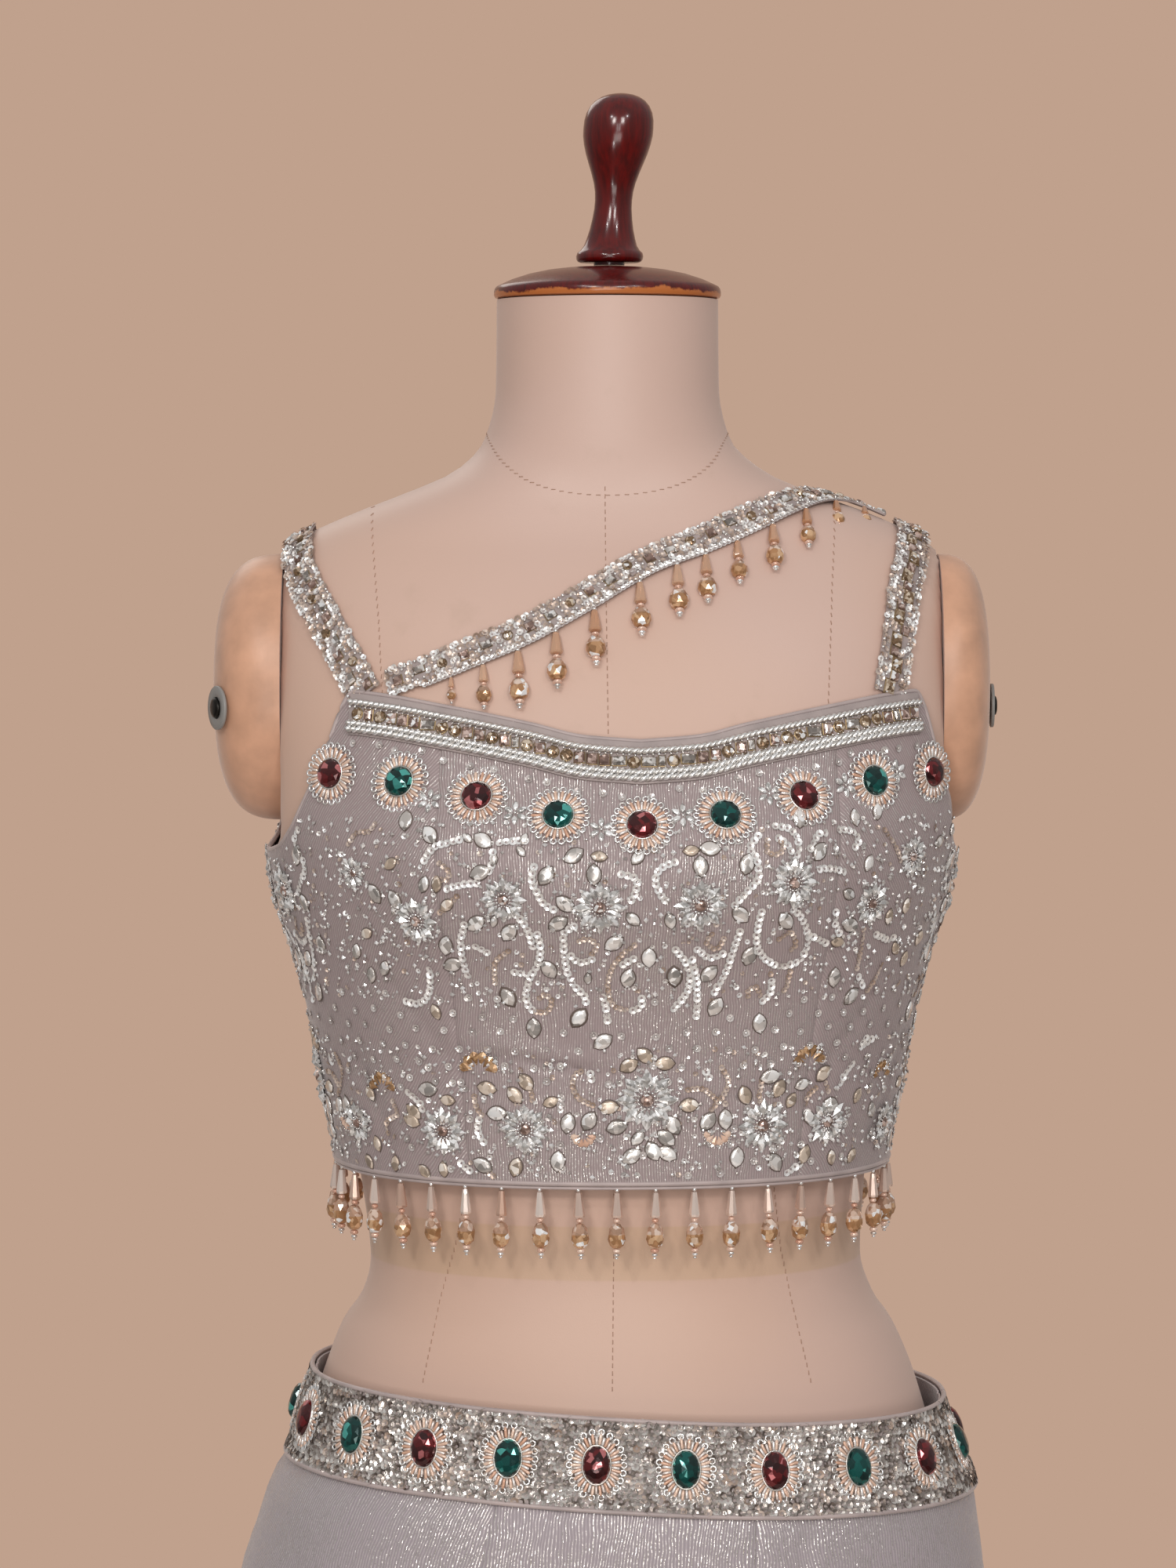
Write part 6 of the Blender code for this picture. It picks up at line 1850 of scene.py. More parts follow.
@dataclass
class Embroidery:
    """Sequin scrolls, star flowers, leaves, fans and scattered stones on the blouse."""

    rng: Random = field(default_factory=lambda: np.random.default_rng(11))
    taken: list[Array] = field(default_factory=list)

    def make(self) -> None:
        """Builds the neckline's motifs, the hem's border and the stones scattered between."""
        for name, leaves, scrolls, stars, fans, flowers, follow in (
            ("neckline_embroidery", NECK_LEAVES, NECK_SCROLLS, NECK_STARS, (), SMALL_FLOWERS, 1.0),
            ("hem_embroidery", HEM_LEAVES, HEM_SCROLLS, HEM_STARS, FANS, (), 0.0),
        ):
            work = BeadWork(name)
            for layout in LAYOUTS:
                self._leaves(work, leaves, layout, follow)
                self._scrolls(work, scrolls, layout, follow)
                for across, z, reach in stars:
                    star_flower(work, self._placed(layout, [across], [z], follow), reach, self.rng)
                for across, z, size in fans:
                    amber_fan(work, self._placed(layout, [across], [z], follow), size)
                for across, z in flowers:
                    if layout.move == 0:
                        small_flower(work, self._placed(layout, [across], [z], follow))
            work.make("sequin_cloth")
        self._scattered()

    def _placed(
        self, layout: Layout, across: Sequence[float], z: Sequence[float], follow: float,
        angle: Array | float = 0.0,
    ) -> Spots:
        """Places on the blouse from a table, without those past its edges.

        Args:
            layout: How the table is used.
            across: Millimetres to the right of centre front.
            z: Millimetres from the floor.
            follow: 1 to follow the neckline, or 0.
            angle: The pieces' turn as the table has it, in radians.

        Returns:
            The places.
        """
        across, z = np.array(across, dtype=float), np.array(z, dtype=float)
        share, height = layout.place(across, z, follow)
        inside = on_blouse(share, height) & (across >= layout.least) & (across <= layout.most)
        self.taken.append(laid_flat(share[inside], height[inside]))
        spots = BODICE.spots(share[inside], height[inside], SEWN)
        angles = np.broadcast_to(angle, share.shape)[inside]
        return spots.spun(-angles if layout.mirrored else angles)

    def _leaves(self, work: BeadWork, rows: Sequence[tuple], layout: Layout, follow: float) -> None:
        """The leaves of a table, each over its dark outline of painted shade."""
        for letter, kind in LEAF_KINDS.items():
            mine = [row[1:] for row in rows if row[0] == letter]
            if not mine:
                continue
            across, z, heading = np.array(mine, dtype=float).T
            spots = self._placed(layout, across, z, follow, np.radians(heading) - math.pi / 2)
            # A flat dark rim under each leaf: painted shade round its edge.
            work.add(kind.outline, spots, LEAF_SHADE_RIM)
            work.add(kind.bead, spots.tilted(self.rng, 0.05), kind.finish)

    def _scrolls(self, work: BeadWork, rows: Sequence[tuple], layout: Layout, follow: float) -> None:
        """The sequin lines of a table. Neighbours overlap a little."""
        for letter, *marks in rows:
            fine = smooth_route(np.array(marks, dtype=float))
            length = run_length(fine)
            white = letter == "W"
            every = np.arange(0, length[-1] + 0.1, 2.75 if white else 2.35)
            across, z = (np.interp(every, length, fine[:, k]) for k in range(2))
            spots = self._placed(layout, across, z, follow).tilted(self.rng, 0.16)
            work.add(LINE_CUP if white else MIDDLE_CUP, spots, SEQUIN if white else WARM_SEQUIN)

    def _scattered(self) -> None:
        """Clear sequins with a bead in each between the motifs, and small sequins, chips and beads strewn there."""
        work = BeadWork("scattered_stones")
        rows, columns, lowest, rise = 6, 58, 1.1690, 0.0078
        row, column = (grid.ravel() for grid in np.mgrid[:rows, :columns])
        share = (column + 0.5 * (row % 2)) / columns - 0.5 + self.rng.uniform(-0.0014, 0.0014, len(row))
        z = lowest + rise * row + self.rng.uniform(-0.0012, 0.0012, len(row))
        self._dots(work, *self._free(share, z, 0.0052))
        count = 74
        share = (np.arange(count) + self.rng.uniform(0.2, 0.8, count)) / count - 0.5
        z = neckline(share) - self.rng.uniform(0.0215, 0.0260, count)
        self._dots(work, *self._free(share, z, 0.0045))
        count, most, foot = 900, 90, BLOUSE_HEM + 0.004
        share = self.rng.uniform(-0.5, 0.5, count)
        share, z = self._free(share, self.rng.uniform(foot, 1.175, count), 0.0042)
        some = self.rng.uniform(size=len(share)) < 0.22
        self._dots(work, share[some][:most], z[some][:most])
        for low, high, count in ((1.205, 1.290, 4200), (foot, 1.186, 1900)):
            share, z = self.rng.uniform(-0.5, 0.5, count), self.rng.uniform(low, high, count)
            spots = BODICE.spots(*self._free(share, z, 0.0032), SEWN)
            work.add_mix(spots, STREWN_MIX, self.rng, 0.3, (0.8, 1.5))
        work.make("sequin_cloth")

    def _free(self, share: Array, z: Array, room: float) -> tuple[Array, Array]:
        """The places that are on the blouse and at least this far from what is sewn on already."""
        inside = on_blouse(share, z)
        share, z = share[inside], z[inside]
        between = laid_flat(share, z)[:, None] - np.concatenate(self.taken)[None]
        away = np.linalg.norm(between, axis=-1).min(axis=1)
        return share[away > room], z[away > room]

    def _dots(self, work: BeadWork, share: Array, z: Array) -> None:
        """A clear sequin and its bead at each place."""
        spots = BODICE.spots(share, z, SEWN)
        work.add(DOT_CUP, spots.tilted(self.rng, 0.1), CLEAR_CUP)
        work.add(SEED_BEAD, spots, SEED)


@dataclass(frozen=True)
class Blouse:
    """Five cloth panels, piped edges, the gem row and the embroidery."""

    princess: float = 0.1045
    pitch: float = 0.0418
    gem_drop: float = 0.0375
    gem_reach: float = 0.0075
    hem_piping: float = 0.00125
    edge_piping: float = 0.0011

    def make(self) -> None:
        """Builds the blouse."""
        panels = (
            Panel("blouse_front_centre", -self.princess, self.princess, RIB_CLOTH),
            Panel("blouse_front_right", self.princess, 0.25, RIGHT_CROSS_CLOTH),
            Panel("blouse_front_left", -0.25, -self.princess, LEFT_CROSS_CLOTH),
            Panel("blouse_back_right", 0.25, 0.5, RIB_CLOTH),
            Panel("blouse_back_left", -0.5, -0.25, RIB_CLOTH),
        )
        for panel in panels:
            panel.make(BODICE, cut_edge, BLOUSE_HEM, BLOUSE_CREASES, "draped", "form_torso")
        self._piping()
        self._gems()
        Embroidery().make()

    def _piping(self) -> None:
        """Satin piping round the hem and the top edge."""
        work = BeadWork("blouse_satin_piping")
        shares = np.arange(520) / 520
        work.add_tube(BODICE.at(shares, BLOUSE_HEM + 0.0008, -0.0006), self.hem_piping, PIPING, True, 8)
        shares = np.arange(700) / 700
        work.add_tube(BODICE.at(shares, cut_edge(shares) + 0.0003, -0.0007), self.edge_piping, PIPING, True, 8)
        work.make("lurex_cloth")

    def _gems(self) -> None:
        """Garnet and emerald stones in bugle rosettes under the neckline."""
        work = BeadWork("neckline_gems")
        front = np.arange(-4, 5) * self.pitch
        back = 0.5 - (np.arange(4) + 0.5) * self.pitch
        for share, green in ((front, np.arange(9) % 2), (back, np.arange(4) % 2), (-back, (np.arange(4) + 1) % 2)):
            for colour, finish in ((0, GARNET), (1, EMERALD)):
                at = share[green == colour]
                spots = BODICE.spots(at, neckline(at) - self.gem_drop, 0.0002)
                rosette(work, spots, ROUND_GEM, ROUND_BEZEL, finish, self.gem_reach, self.gem_reach)
        work.make("sequin_cloth")


def twisted(path: Array, out: Array, radius: float, pitch: float, strands: int) -> list[Array]:
    """Paths of a rope's strands.

    Args:
        path: The rope's middle.
        out: Its normals.
        radius: How far each strand's middle is from the rope's.
        pitch: Length of one turn.
        strands: How many strands.

    Returns:
        A path for each strand.
    """
    ahead = unit(np.gradient(path, axis=0))
    side = np.cross(out, ahead)
    length = run_length(path)
    paths = []
    for k in range(strands):
        turn = (2 * math.pi * (length / pitch + k / strands))[:, None]
        paths.append(path + radius * (out * np.cos(turn) + side * np.sin(turn)))
    return paths


class SetStone(NamedTuple):
    """A stone in a row, its finish and the room that it takes, in mm."""

    stone: Bead
    finish: Finish
    room: float


STREWN_MIX = (
    (CHIP, CHIPS, 0.45), (SMALL_CUP, SEQUIN, 0.7), (SMALL_CUP, WARM_SEQUIN, 0.8), (SEED_BEAD, SEED, 1.0),
)
STRAP_MIX = ((MIDDLE_CUP, SEQUIN, 0.36), (MIDDLE_CUP, WARM_SEQUIN, 0.78), (SEED_BEAD, SEED, 1.0))
BORDER_STONES = (
    SetStone(square_stone(4.7, 5.0, 1.9), ROSE_STONE, 5.6),
    SetStone(square_stone(6.6, 4.4, 1.9), STONE, 7.5),
    SetStone(ROUND_STONE, CHAMPAGNE_STONE, 6.2),
    SetStone(square_stone(3.2, 4.8, 1.7), STONE, 4.2),
)


@dataclass(frozen=True)
class NeckBorder:
    """Border along the neckline: a net ground, three silver ropes and a row of square stones."""

    height: float = 0.0195
    lift: float = 0.0012
    rope_drops: tuple[float, ...] = (0.0051, 0.0148, 0.0174)
    stone_drop: float = 0.0100
    seed_drops: tuple[float, ...] = (0.0069, 0.0131)
    strand_reach: float = 0.00072
    strand_turn: float = 0.0056
    strand_radius: float = 0.00102

    def make(self) -> None:
        """Builds the three lengths of border."""
        work = BeadWork("neck_border_stones")
        spans = (
            ("neck_band_front", -FRONT_CORNER, FRONT_CORNER, "blouse_front_centre_cloth"),
            ("neck_band_back_right", BACK_CORNER, 0.4998, "blouse_back_right_cloth"),
            ("neck_band_back_left", -0.4998, -BACK_CORNER, "blouse_back_left_cloth"),
        )
        for name, first, last, carrier in spans:
            self._ribbon(name, first, last, carrier)
            self._beads(work, first, last)
        work.make("sequin_cloth")

    def _ribbon(self, name: str, first: float, last: float, carrier: str) -> None:
        """The net ribbon that the beads are sewn to."""
        share, down = np.meshgrid(np.linspace(first, last, 90), np.linspace(0.0008, self.height, 7))
        z = neckline(share) - down
        outer = BODICE.at(share, z, self.lift)
        inner = BODICE.at(share, z, self.lift - CLOTH_WALL)
        piece = shell(name + "_net", outer, inner, BACKING, np.stack([share * 0.9, z], -1))
        ride(piece, [name])
        Cut.of(outer).declare(piece, "laid", [carrier])

    def _beads(self, work: BeadWork, first: float, last: float) -> None:
        """Ropes and stones on one length."""
        length = (last - first) * 0.88
        shares = np.linspace(first, last, round(length / 0.0008))
        for drop in self.rope_drops:
            spots = BODICE.spots(shares, neckline(shares) - drop, self.lift + 0.0010)
            for path in twisted(spots.origin, spots.out, self.strand_reach, self.strand_turn, 2):
                work.add_tube(path, self.strand_radius, ROPE, False, 5)
        rng = np.random.default_rng(17)
        places, kinds = [0.0015], []
        while places[-1] < length - 0.004:
            kinds.append(int(rng.choice(len(BORDER_STONES), p=(0.40, 0.13, 0.35, 0.12))))
            places.append(places[-1] + BORDER_STONES[kinds[-1]].room * MM)
        middles = first + (np.array(places[:-1]) + np.diff(places) / 2) / length * (last - first)
        for k, row in enumerate(BORDER_STONES):
            at = middles[np.array(kinds) == k]
            spots = BODICE.spots(at, neckline(at) - self.stone_drop, self.lift).tilted(rng, 0.06)
            set_stone(work, row.stone, spots, row.finish, 1.16)
        for drop in self.seed_drops:
            along = first + (np.arange(0.0006, length, 0.0027) / length) * (last - first)
            spots = BODICE.spots(along, neckline(along) - drop, self.lift)
            work.add(SEED_BEAD, spots, SEED, rng.uniform(0.6, 1.05, len(along)))


def smooth_route(points: Array) -> Array:
    """Points on a Catmull-Rom curve through the given ones."""
    ends = np.concatenate([2 * points[:1] - points[1:2], points, 2 * points[-1:] - points[-2:-1]])
    a, b, c, d = ends[:-3], ends[1:-2], ends[2:-1], ends[3:]
    u = np.linspace(0, 1, 12, endpoint=False)[None, :, None]
    a, b, c, d = (each[:, None] for each in (a, b, c, d))
    fine = 0.5 * (2 * b + (c - a) * u + (2 * a - 5 * b + 4 * c - d) * u**2 + (3 * b - a - 3 * c + d) * u**3)
    return np.concatenate([fine.reshape(-1, points.shape[1]), points[-1:]])


LEFT_STRAP = tuple(StrapPoint(*row) for row in (
    (-0.1142, 1.3462, -1), (-0.1172, 1.3515, -1), (-0.1258, 1.3665, -1), (-0.1362, 1.384, -1),
    (-0.145, 1.399, -1), (-0.1482, 1.4185, 0), (-0.145, 1.401, 1),
    (-0.135, 1.38, 1), (-0.1195, 1.352, 1),
))
RIGHT_STRAP = tuple(StrapPoint(*row) for row in (
    (0.1282, 1.3462, -1), (0.1293, 1.3515, -1), (0.1318, 1.365, -1), (0.1345, 1.38, -1),
    (0.138, 1.399, -1), (0.1418, 1.4205, 0), (0.1398, 1.403, 1),
    (0.1345, 1.38, 1), (0.1268, 1.352, 1),
))
DIAGONAL_STRAP = tuple(StrapPoint(*row) for row in (
    (-0.1037, 1.3512, -1), (-0.086, 1.3575, -1), (-0.064, 1.3665, -1),
    (-0.04, 1.3765, -1), (-0.0139, 1.3904, -1), (0.0125, 1.4058, -1),
    (0.04, 1.417, -1), (0.061, 1.4263, -1), (0.081, 1.4343, -1),
    (0.101, 1.4378, -1), (0.113, 1.4345, 0), (0.125, 1.4295, 0),
    (0.1302, 1.4272, 0),
))


@dataclass(frozen=True)
class StrapStyle:
    """How a strap is covered. The pitch is in mm, and the line is a share of its half width.

    The stones lie in turn along the line, from which they stray a little, with sequins between them.
    """

    stones: tuple[SetStone, ...]
    pitch: float
    line: float = 0.0
    stray: float = 0.2


SHOULDER_SEAT = 0.0009
SHOULDER_WIDTH = 0.0165
STRAP_OBLONG = SetStone(square_stone(5.0, 6.8, 2.0), CHAMPAGNE_STONE, 4.4)
SMALL_SQUARE = SetStone(square_stone(4.2, 4.4, 1.8), ROSE_STONE, 3.2)
SMALL_ROUND = SetStone(ROUND_STONE.stretched(0.85, 0.85), CHAMPAGNE_STONE, 3.1)
SMALL_CLEAR = SetStone(square_stone(3.6, 5.2, 1.8), STONE, 3.4)


class Strap:
    """A jewelled strap that lies on the form."""

    def __init__(self, name: str, rows: Sequence[StrapPoint], seat: float, width: float) -> None:
        """Works out the strap's route.

        Args:
            name: Its CAD node.
            rows: Points of its centre line.
            seat: How far it is off the form.
            width: Its width.
        """
        self.name = name
        self.width = width
        x, z, face = (np.array(column, dtype=float) for column in zip(*rows))
        half_width, front, back, _shift, _plate, square = FORM.read(z).T
        reach = np.where(face < 0, front, back)
        inside = np.clip(1 - (np.abs(x) / half_width) ** square, 0, None)
        marks = np.stack([x, face * reach * inside ** (1 / square), z], -1)
        fine = smooth_route(seated(marks, seat)[0])
        self.lengths = run_length(fine)
        self.length = float(self.lengths[-1])
        self.fine = fine
        self.seat = seat

    def spots(self, along: Array, across: Array | float = 0.0, out: Array | float = 0.0) -> Spots:
        """Places on the strap, their up axes along it.

        Args:
            along: Distance from its front end.
            across: Distance to the right of its middle, seen with its far end up.
            out: Distance from its underside.

        Returns:
            The places.
        """
        along = np.atleast_1d(along)
        centre, normal = self._centre(along)
        ahead = self._centre(along + 0.002)[0] - self._centre(along - 0.002)[0]
        side = unit(np.cross(ahead, normal))
        up = unit(np.cross(normal, side))
        return Spots(centre, side, up, unit(np.cross(side, ahead))).moved(right=across, out=out)

    def _centre(self, along: Array) -> tuple[Array, Array]:
        """The middle of the underside, and the form's normals there."""
        along = np.clip(along, 0, self.length)
        points = np.stack([np.interp(along, self.lengths, self.fine[:, k]) for k in range(3)], -1)
        return seated(points, self.seat)

    def make(self, style: StrapStyle) -> None:
        """Builds the ribbon and sews on its sequins and stones."""
        self._ribbon()
        self._beads(style)

    def _ribbon(self) -> None:
        """The net ribbon, a little thinner at its edges."""
        stations = np.linspace(0, self.length, 80)
        lines = np.linspace(-1, 1, 7)
        outer, inner, cloth = [], [], []
        for line in lines:
            across = line * self.width / 2
            outer.append(self.spots(stations, across, RIBBON_FACE - 0.0003 * line**4).origin)
            inner.append(self.spots(stations, across, 0.0003).origin)
            cloth.append(np.stack([np.full_like(stations, across), stations], -1))
        grid = np.stack(outer)
        piece = shell(self.name + "_ribbon", grid, np.stack(inner), BACKING, np.stack(cloth))
        ride(piece, [self.name])
        Cut.of(grid).declare(piece, "stretched", ["form_jersey_cover"])

    def _beads(self, style: StrapStyle) -> None:
        """Stones along their line, with sequins and seed beads between them."""
        rng = np.random.default_rng(len(self.name))
        work = BeadWork(self.name + "_beads")
        half = self.width / 2
        along = np.arange(0.5 * style.pitch * MM, self.length, style.pitch * MM)
        line = (style.line + rng.uniform(-style.stray, style.stray, len(along))) * half
        taken, room = np.stack([line, along], -1), np.zeros(len(along))
        for k, (stone, finish, clear) in enumerate(style.stones):
            mine = np.arange(len(along)) % len(style.stones) == k
            spots = self.spots(along[mine], line[mine], 0.0011).tilted(rng, 0.06)
            set_stone(work, stone, spots, finish, 1.14)
            room[mine] = clear * MM
        edge = half - 0.0003
        across, along = (grid.ravel() for grid in np.meshgrid(
            np.linspace(-edge, edge, round(2 * edge / 0.0023) + 1), np.arange(0.001, self.length, 0.0024)))
        along = along + rng.uniform(-0.0006, 0.0006, len(along))
        across = np.clip(across + rng.normal(0, 0.0003, len(along)), -edge, edge)
        away = np.linalg.norm(np.stack([across, along], -1)[:, None] - taken[None], axis=-1)
        free = (away > room[None]).all(axis=1)
        work.add_mix(self.spots(along[free], across[free], RIBBON_FACE), STRAP_MIX, rng, 0.30, (0.9, 1.25))
        work.make("sequin_cloth")


DROP_MM = 33.4
DROP_CONE = revolved([(0, 2.0), (1.3, 2.1), (1.6, 4.0), (2.7, 12.6), (2.4, 13.6), (0, 14.0)], 8, False)
DROP_PARTS = (
    (revolved([(0, 0), (0.8, 0.3), (1.0, 1.0), (0.8, 1.7), (0, 2.0)], 8), SEED),
    (revolved([(0, 14.0), (1.3, 14.4), (1.7, 15.2), (1.3, 16.0), (0, 16.2)], 8), GLINT),
    (revolved([(0, 16.2), (2.0, 16.8), (3.4, 18.8), (4.1, 21.6)], 8, False, True), ROSE_GREY_GLASS),
    (revolved([(0, 21.6), (4.1, 21.6), (4.2, 24.0), (3.5, 26.6), (2.0, 28.0), (0, 28.2)], 8, False, True),
     AMBER_GLASS),
    (revolved([(0, 28.2), (1.7, 28.5), (2.1, 29.3), (1.7, 30.1), (0, 30.4)], 8), GLINT),
    (revolved([(0, 30.4), (1.3, 30.7), (1.6, 31.3), (1.2, 31.9), (0, 32.2)], 8), SEED),
    (revolved([(0, 32.2), (0.8, 32.4), (1.0, 32.8), (0.8, 33.2), (0, DROP_MM)], 8), SEED),
)


@dataclass(frozen=True)
class Fringe:
    """Bead drops: round the blouse's hem, and under the diagonal strap.

    roots are shares of the diagonal strap's lower edge, lengths are those of the drops there, in mm, and hang
    and stand_off set how they lie against the chest.
    """

    hem_drops: int = 42
    roots: tuple[float, ...] = (
        0.108, 0.165, 0.227, 0.297, 0.372, 0.464, 0.536, 0.590, 0.652, 0.724, 0.801, 0.890, 0.960,
    )
    lengths: tuple[float, ...] = (14, 24, 31, 31, 31, 31, 30, 29, 26, 28, 25, 22, 18)
    hang: tuple[float, float, float] = (0.0012, 0, -0.030)
    stand_off: float = 0.0045
    swing: float = 0.022
    cord_radius: float = 0.0008
    thread_radius: float = 0.0006

    def make(self, diagonal: Strap) -> None:
        """Builds both fringes."""
        self._hem()
        self._diagonal(diagonal)

    def _add(
        self, work: BeadWork, tops: Array, down: Array, out: Array, size: Array, cone: Finish, wide: float,
    ) -> None:
        """Strings the drops' beads.

        Args:
            work: The piece that gets them.
            tops: Where each drop starts.
            down: The way each one hangs.
            out: The way each one faces.
            size: Each one's size.
            cone: The finish of their long beads.
            wide: How much wider the beads are than on the hem.
        """
        right = unit(np.cross(out, down))
        spots = Spots(tops, right, np.cross(down, right), down)
        for bead, finish in ((DROP_CONE, cone), *DROP_PARTS):
            work.add(bead.stretched(wide, wide), spots, finish, size)

    def _hem(self) -> None:
        """The ring of drops under the hem, each swung a little by chance."""
        rng = np.random.default_rng(5)
        work = BeadWork("hem_bead_drops")
        shares = (np.arange(self.hem_drops) + 0.5) / self.hem_drops
        spots = BODICE.spots(shares, BLOUSE_HEM, -WALL / 2)
        tops = spots.origin - (0, 0, 0.0012)
        down = unit(-UP + rng.normal(0, self.swing, tops.shape))
        out = spots.out * (1, 1, 0)
        self._add(work, tops, down, out, rng.uniform(0.97, 1.01, len(tops)), MIRROR, 1.0)
        shares = np.arange(420) / 420
        cord = BODICE.at(shares, BLOUSE_HEM, -WALL / 2) - (0, 0, 0.0013)
        work.add_tube(cord, self.cord_radius, PIPING, True, 6)
        work.make("champagne_beads", ["hem_drops"])

    def _diagonal(self, strap: Strap) -> None:
        """Drops that lie down the chest from the diagonal strap's lower edge."""
        work = BeadWork("diagonal_bead_drops")
        every = np.linspace(0, strap.length, 300)
        reach = strap.width / 2 + 0.0012
        route = strap.spots(every, reach, 0.001).origin
        lengths = run_length(route)
        along = np.interp(np.array(self.roots) * lengths[-1], lengths, every)
        edge = strap.spots(along, reach, 0.001)
        tops = edge.origin
        foot = tops + self.hang
        half_width, front, _back, shift, _plate, square = FORM.read(foot[:, 2]).T
        inside = np.clip(1 - (np.abs(foot[:, 0] - shift) / half_width) ** square, 0, 1)
        foot[:, 1] = -front * inside ** (1 / square) - self.stand_off
        down = unit(foot - tops)
        room = tops[:, 2] - (neckline(chest_shares(tops)) + 0.001)
        size = np.clip(np.minimum(room / MM, self.lengths) / DROP_MM, 0.3, 0.9)
        self._add(work, tops, down, edge.out, size, CRYSTAL, 1.25)
        start = 0.06 * strap.length
        work.add_tube(route[every > start], self.thread_radius, BACKING, False, 6)
        row = strap.spots(np.arange(start, strap.length, 0.0024), reach - 0.0004, RIBBON_FACE)
        work.add(MIDDLE_CUP, row, SEQUIN, 0.85)
        work.make("champagne_beads", ["diagonal_drops"])


def chest_shares(points: Array) -> Array:
    """Shares of the blouse's round under points on the chest, read just under the neckline."""
    shares, height = np.linspace(-0.16, 0.16, 161), 1.335
    return np.interp(points[:, 0], BODICE.at(shares, height)[:, 0], shares)


@dataclass(frozen=True)
class Skirt:
    """Six gores, fitted to the knee and fluted below it."""

    side: float = 0.25

    def make(self) -> None:
        """Builds the gores."""
        seam, side = GORE_SEAM, self.side
        gores = (
            ("skirt_front_centre", -seam, seam), ("skirt_front_right", seam, side),
            ("skirt_back_right", side, 0.5 - seam), ("skirt_back_centre", 0.5 - seam, 0.5 + seam),
            ("skirt_back_left", -0.5 + seam, -side), ("skirt_front_left", -side, -seam),
        )
        for name, first, last in gores:
            panel = Panel(name, first, last, SKIRT_CLOTH, 0.0042)
            panel.make(SKIRT_FACE, self._top, SKIRT_HEM, SKIRT_CREASES, "hung", "belt_ribbon", 0.0085)

    def _top(self, share: Array) -> Array:
        """Height of the skirt's top edge."""
        return SKIRT_TOP + belt_tilt(share)


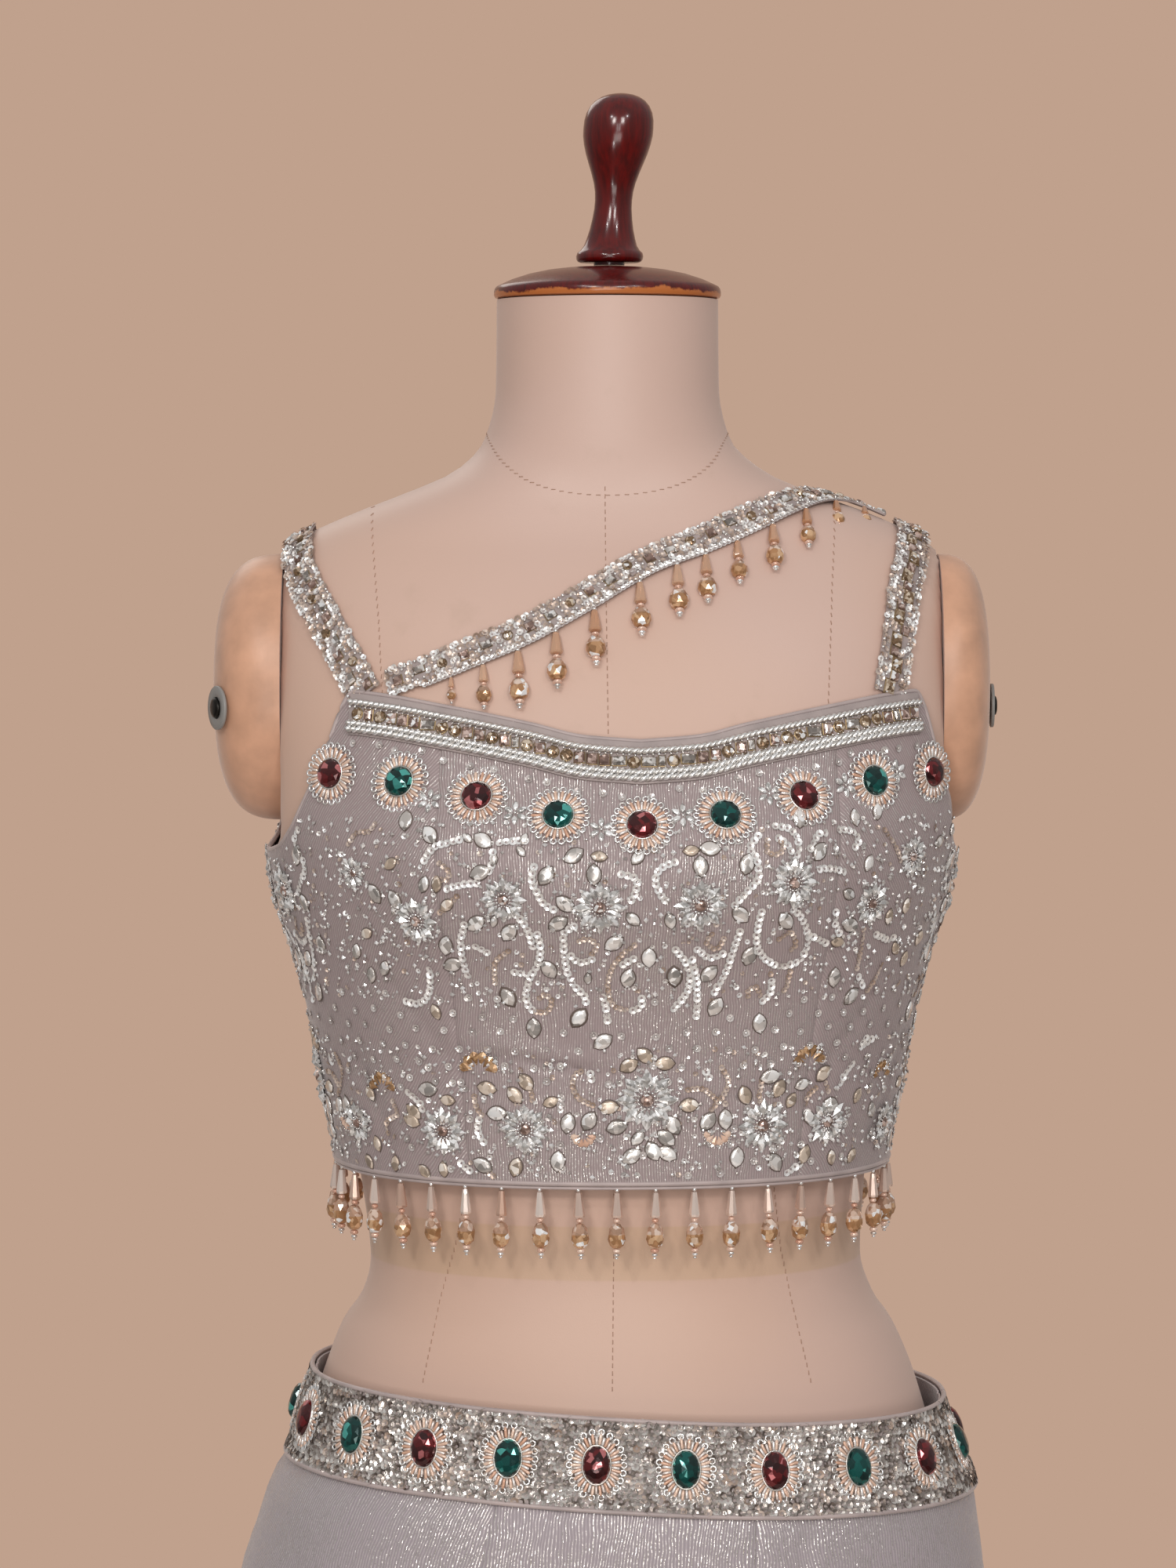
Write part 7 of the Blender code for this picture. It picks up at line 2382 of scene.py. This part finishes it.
@dataclass(frozen=True)
class Belt:
    """Stiff band thick with cup sequins, with oval gems in bugle rosettes and piped edges."""

    top: float = 1.0185
    bottom: float = 0.9755
    foot: float = 0.0006
    wall: float = 0.0012
    gems: int = 21
    first_gem: float = -0.01545
    gems_to_opening: int = 5
    round_length: float = 0.88
    warm_share: float = 0.09
    tilt: float = 0.17

    @property
    def start(self) -> float:
        """Share of the first gem after the opening."""
        return self.first_gem + (self.gems_to_opening + 1 - self.gems) / self.gems

    @property
    def ends(self) -> tuple[float, float]:
        """Shares of the band's two ends."""
        half, gap = 0.5 / self.gems, 0.0006 / self.round_length
        return self.start - half + gap, self.start + 1 - half - gap

    def make(self) -> None:
        """Builds the belt."""
        self._band()
        self._beads()
        self._gems()

    def _band(self) -> None:
        """The stiffened band under the sequins."""
        first, last = self.ends
        share, z = np.meshgrid(np.linspace(first, last, 300), np.linspace(self.top, self.bottom, 9))
        z = z + belt_tilt(share)
        outer = SKIRT_FACE.at(share, z, self.foot + self.wall)
        inner = SKIRT_FACE.at(share, z, self.foot)
        piece = shell("belt_ribbon", outer, inner, BACKING, np.stack([share * self.round_length, z], -1))
        ride(piece, ["belt"])
        Cut.of(outer).declare(piece, "stretched", ["skirt_front_centre_cloth"])

    def _beads(self) -> None:
        """Cup sequins in staggered rows, and the piping along both edges."""
        rng = np.random.default_rng(3)
        first, last = self.ends
        pitch, rise, margin = 0.00290, 0.00262, 0.0021
        rows = int((self.top - self.bottom - 0.004) / rise)
        work = BeadWork("belt_sequins")
        for row in range(rows + 1):
            z = self.bottom + margin + row * (self.top - self.bottom - 2 * margin) / rows
            count = int((last - first) * self.round_length / pitch)
            share = first + (np.arange(count) + 0.5 * (row % 2) + 0.3) / count * (last - first)
            share = share[share < last]
            share = share + rng.normal(0, 0.0004, len(share))
            height = z + belt_tilt(share) + rng.normal(0, 0.0003, len(share))
            spots = SKIRT_FACE.spots(share, height, self.foot + self.wall).tilted(rng, self.tilt)
            warm = rng.uniform(size=len(share)) < self.warm_share
            for mine, finish in ((~warm, SILVER_CUP), (warm, WARM_SEQUIN)):
                work.add(SEQUIN_CUP, spots.taken(mine), finish, 1.02)
        shares = np.linspace(first, last, 420)
        for z in (self.top - 0.0006, self.bottom + 0.0006):
            edge = SKIRT_FACE.at(shares, z + belt_tilt(shares), self.foot + self.wall)
            work.add_tube(edge, 0.0011, PIPING, False, 8)
        work.make("sequin_cloth")

    def _gems(self) -> None:
        """Emerald and garnet ovals in turn, with a garnet on each side of the opening."""
        work = BeadWork("belt_gems")
        count = np.arange(self.gems)
        shares = self.start + count / self.gems
        middle = (self.top + self.bottom) / 2
        red = (count % 2 == 1) | (count == 0)
        for mine, finish in ((red, GARNET), (~red, EMERALD)):
            at = shares[mine]
            spots = SKIRT_FACE.spots(at, middle + belt_tilt(at), self.foot + 0.0018)
            rosette(work, spots, OVAL_GEM, OVAL_BEZEL, finish, 0.0070, 0.0095)
        work.make("sequin_cloth")


def main() -> None:
    """Builds the studio and dresses every solid."""
    logging.basicConfig(level=logging.INFO, format="%(message)s")
    Studio().make()
    DressForm().make()
    Stand().make()
    Blouse().make()
    NeckBorder().make()
    mixed = (SMALL_SQUARE, SMALL_CLEAR, SMALL_ROUND)
    left = Strap("strap_left", LEFT_STRAP, SHOULDER_SEAT, SHOULDER_WIDTH)
    left.make(StrapStyle(mixed, 7.0, stray=0.45))
    right = Strap("strap_right", RIGHT_STRAP, SHOULDER_SEAT, SHOULDER_WIDTH)
    right.make(StrapStyle((STRAP_OBLONG, SMALL_SQUARE), 6.0, line=0.1, stray=0.28))
    diagonal = Strap("strap_diagonal", DIAGONAL_STRAP, 0.0012, 0.0125)
    diagonal.make(StrapStyle(mixed, 11.0, line=-0.1, stray=0.3))
    Fringe().make(diagonal)
    Skirt().make()
    Belt().make()


if __name__ == "__main__":
    main()
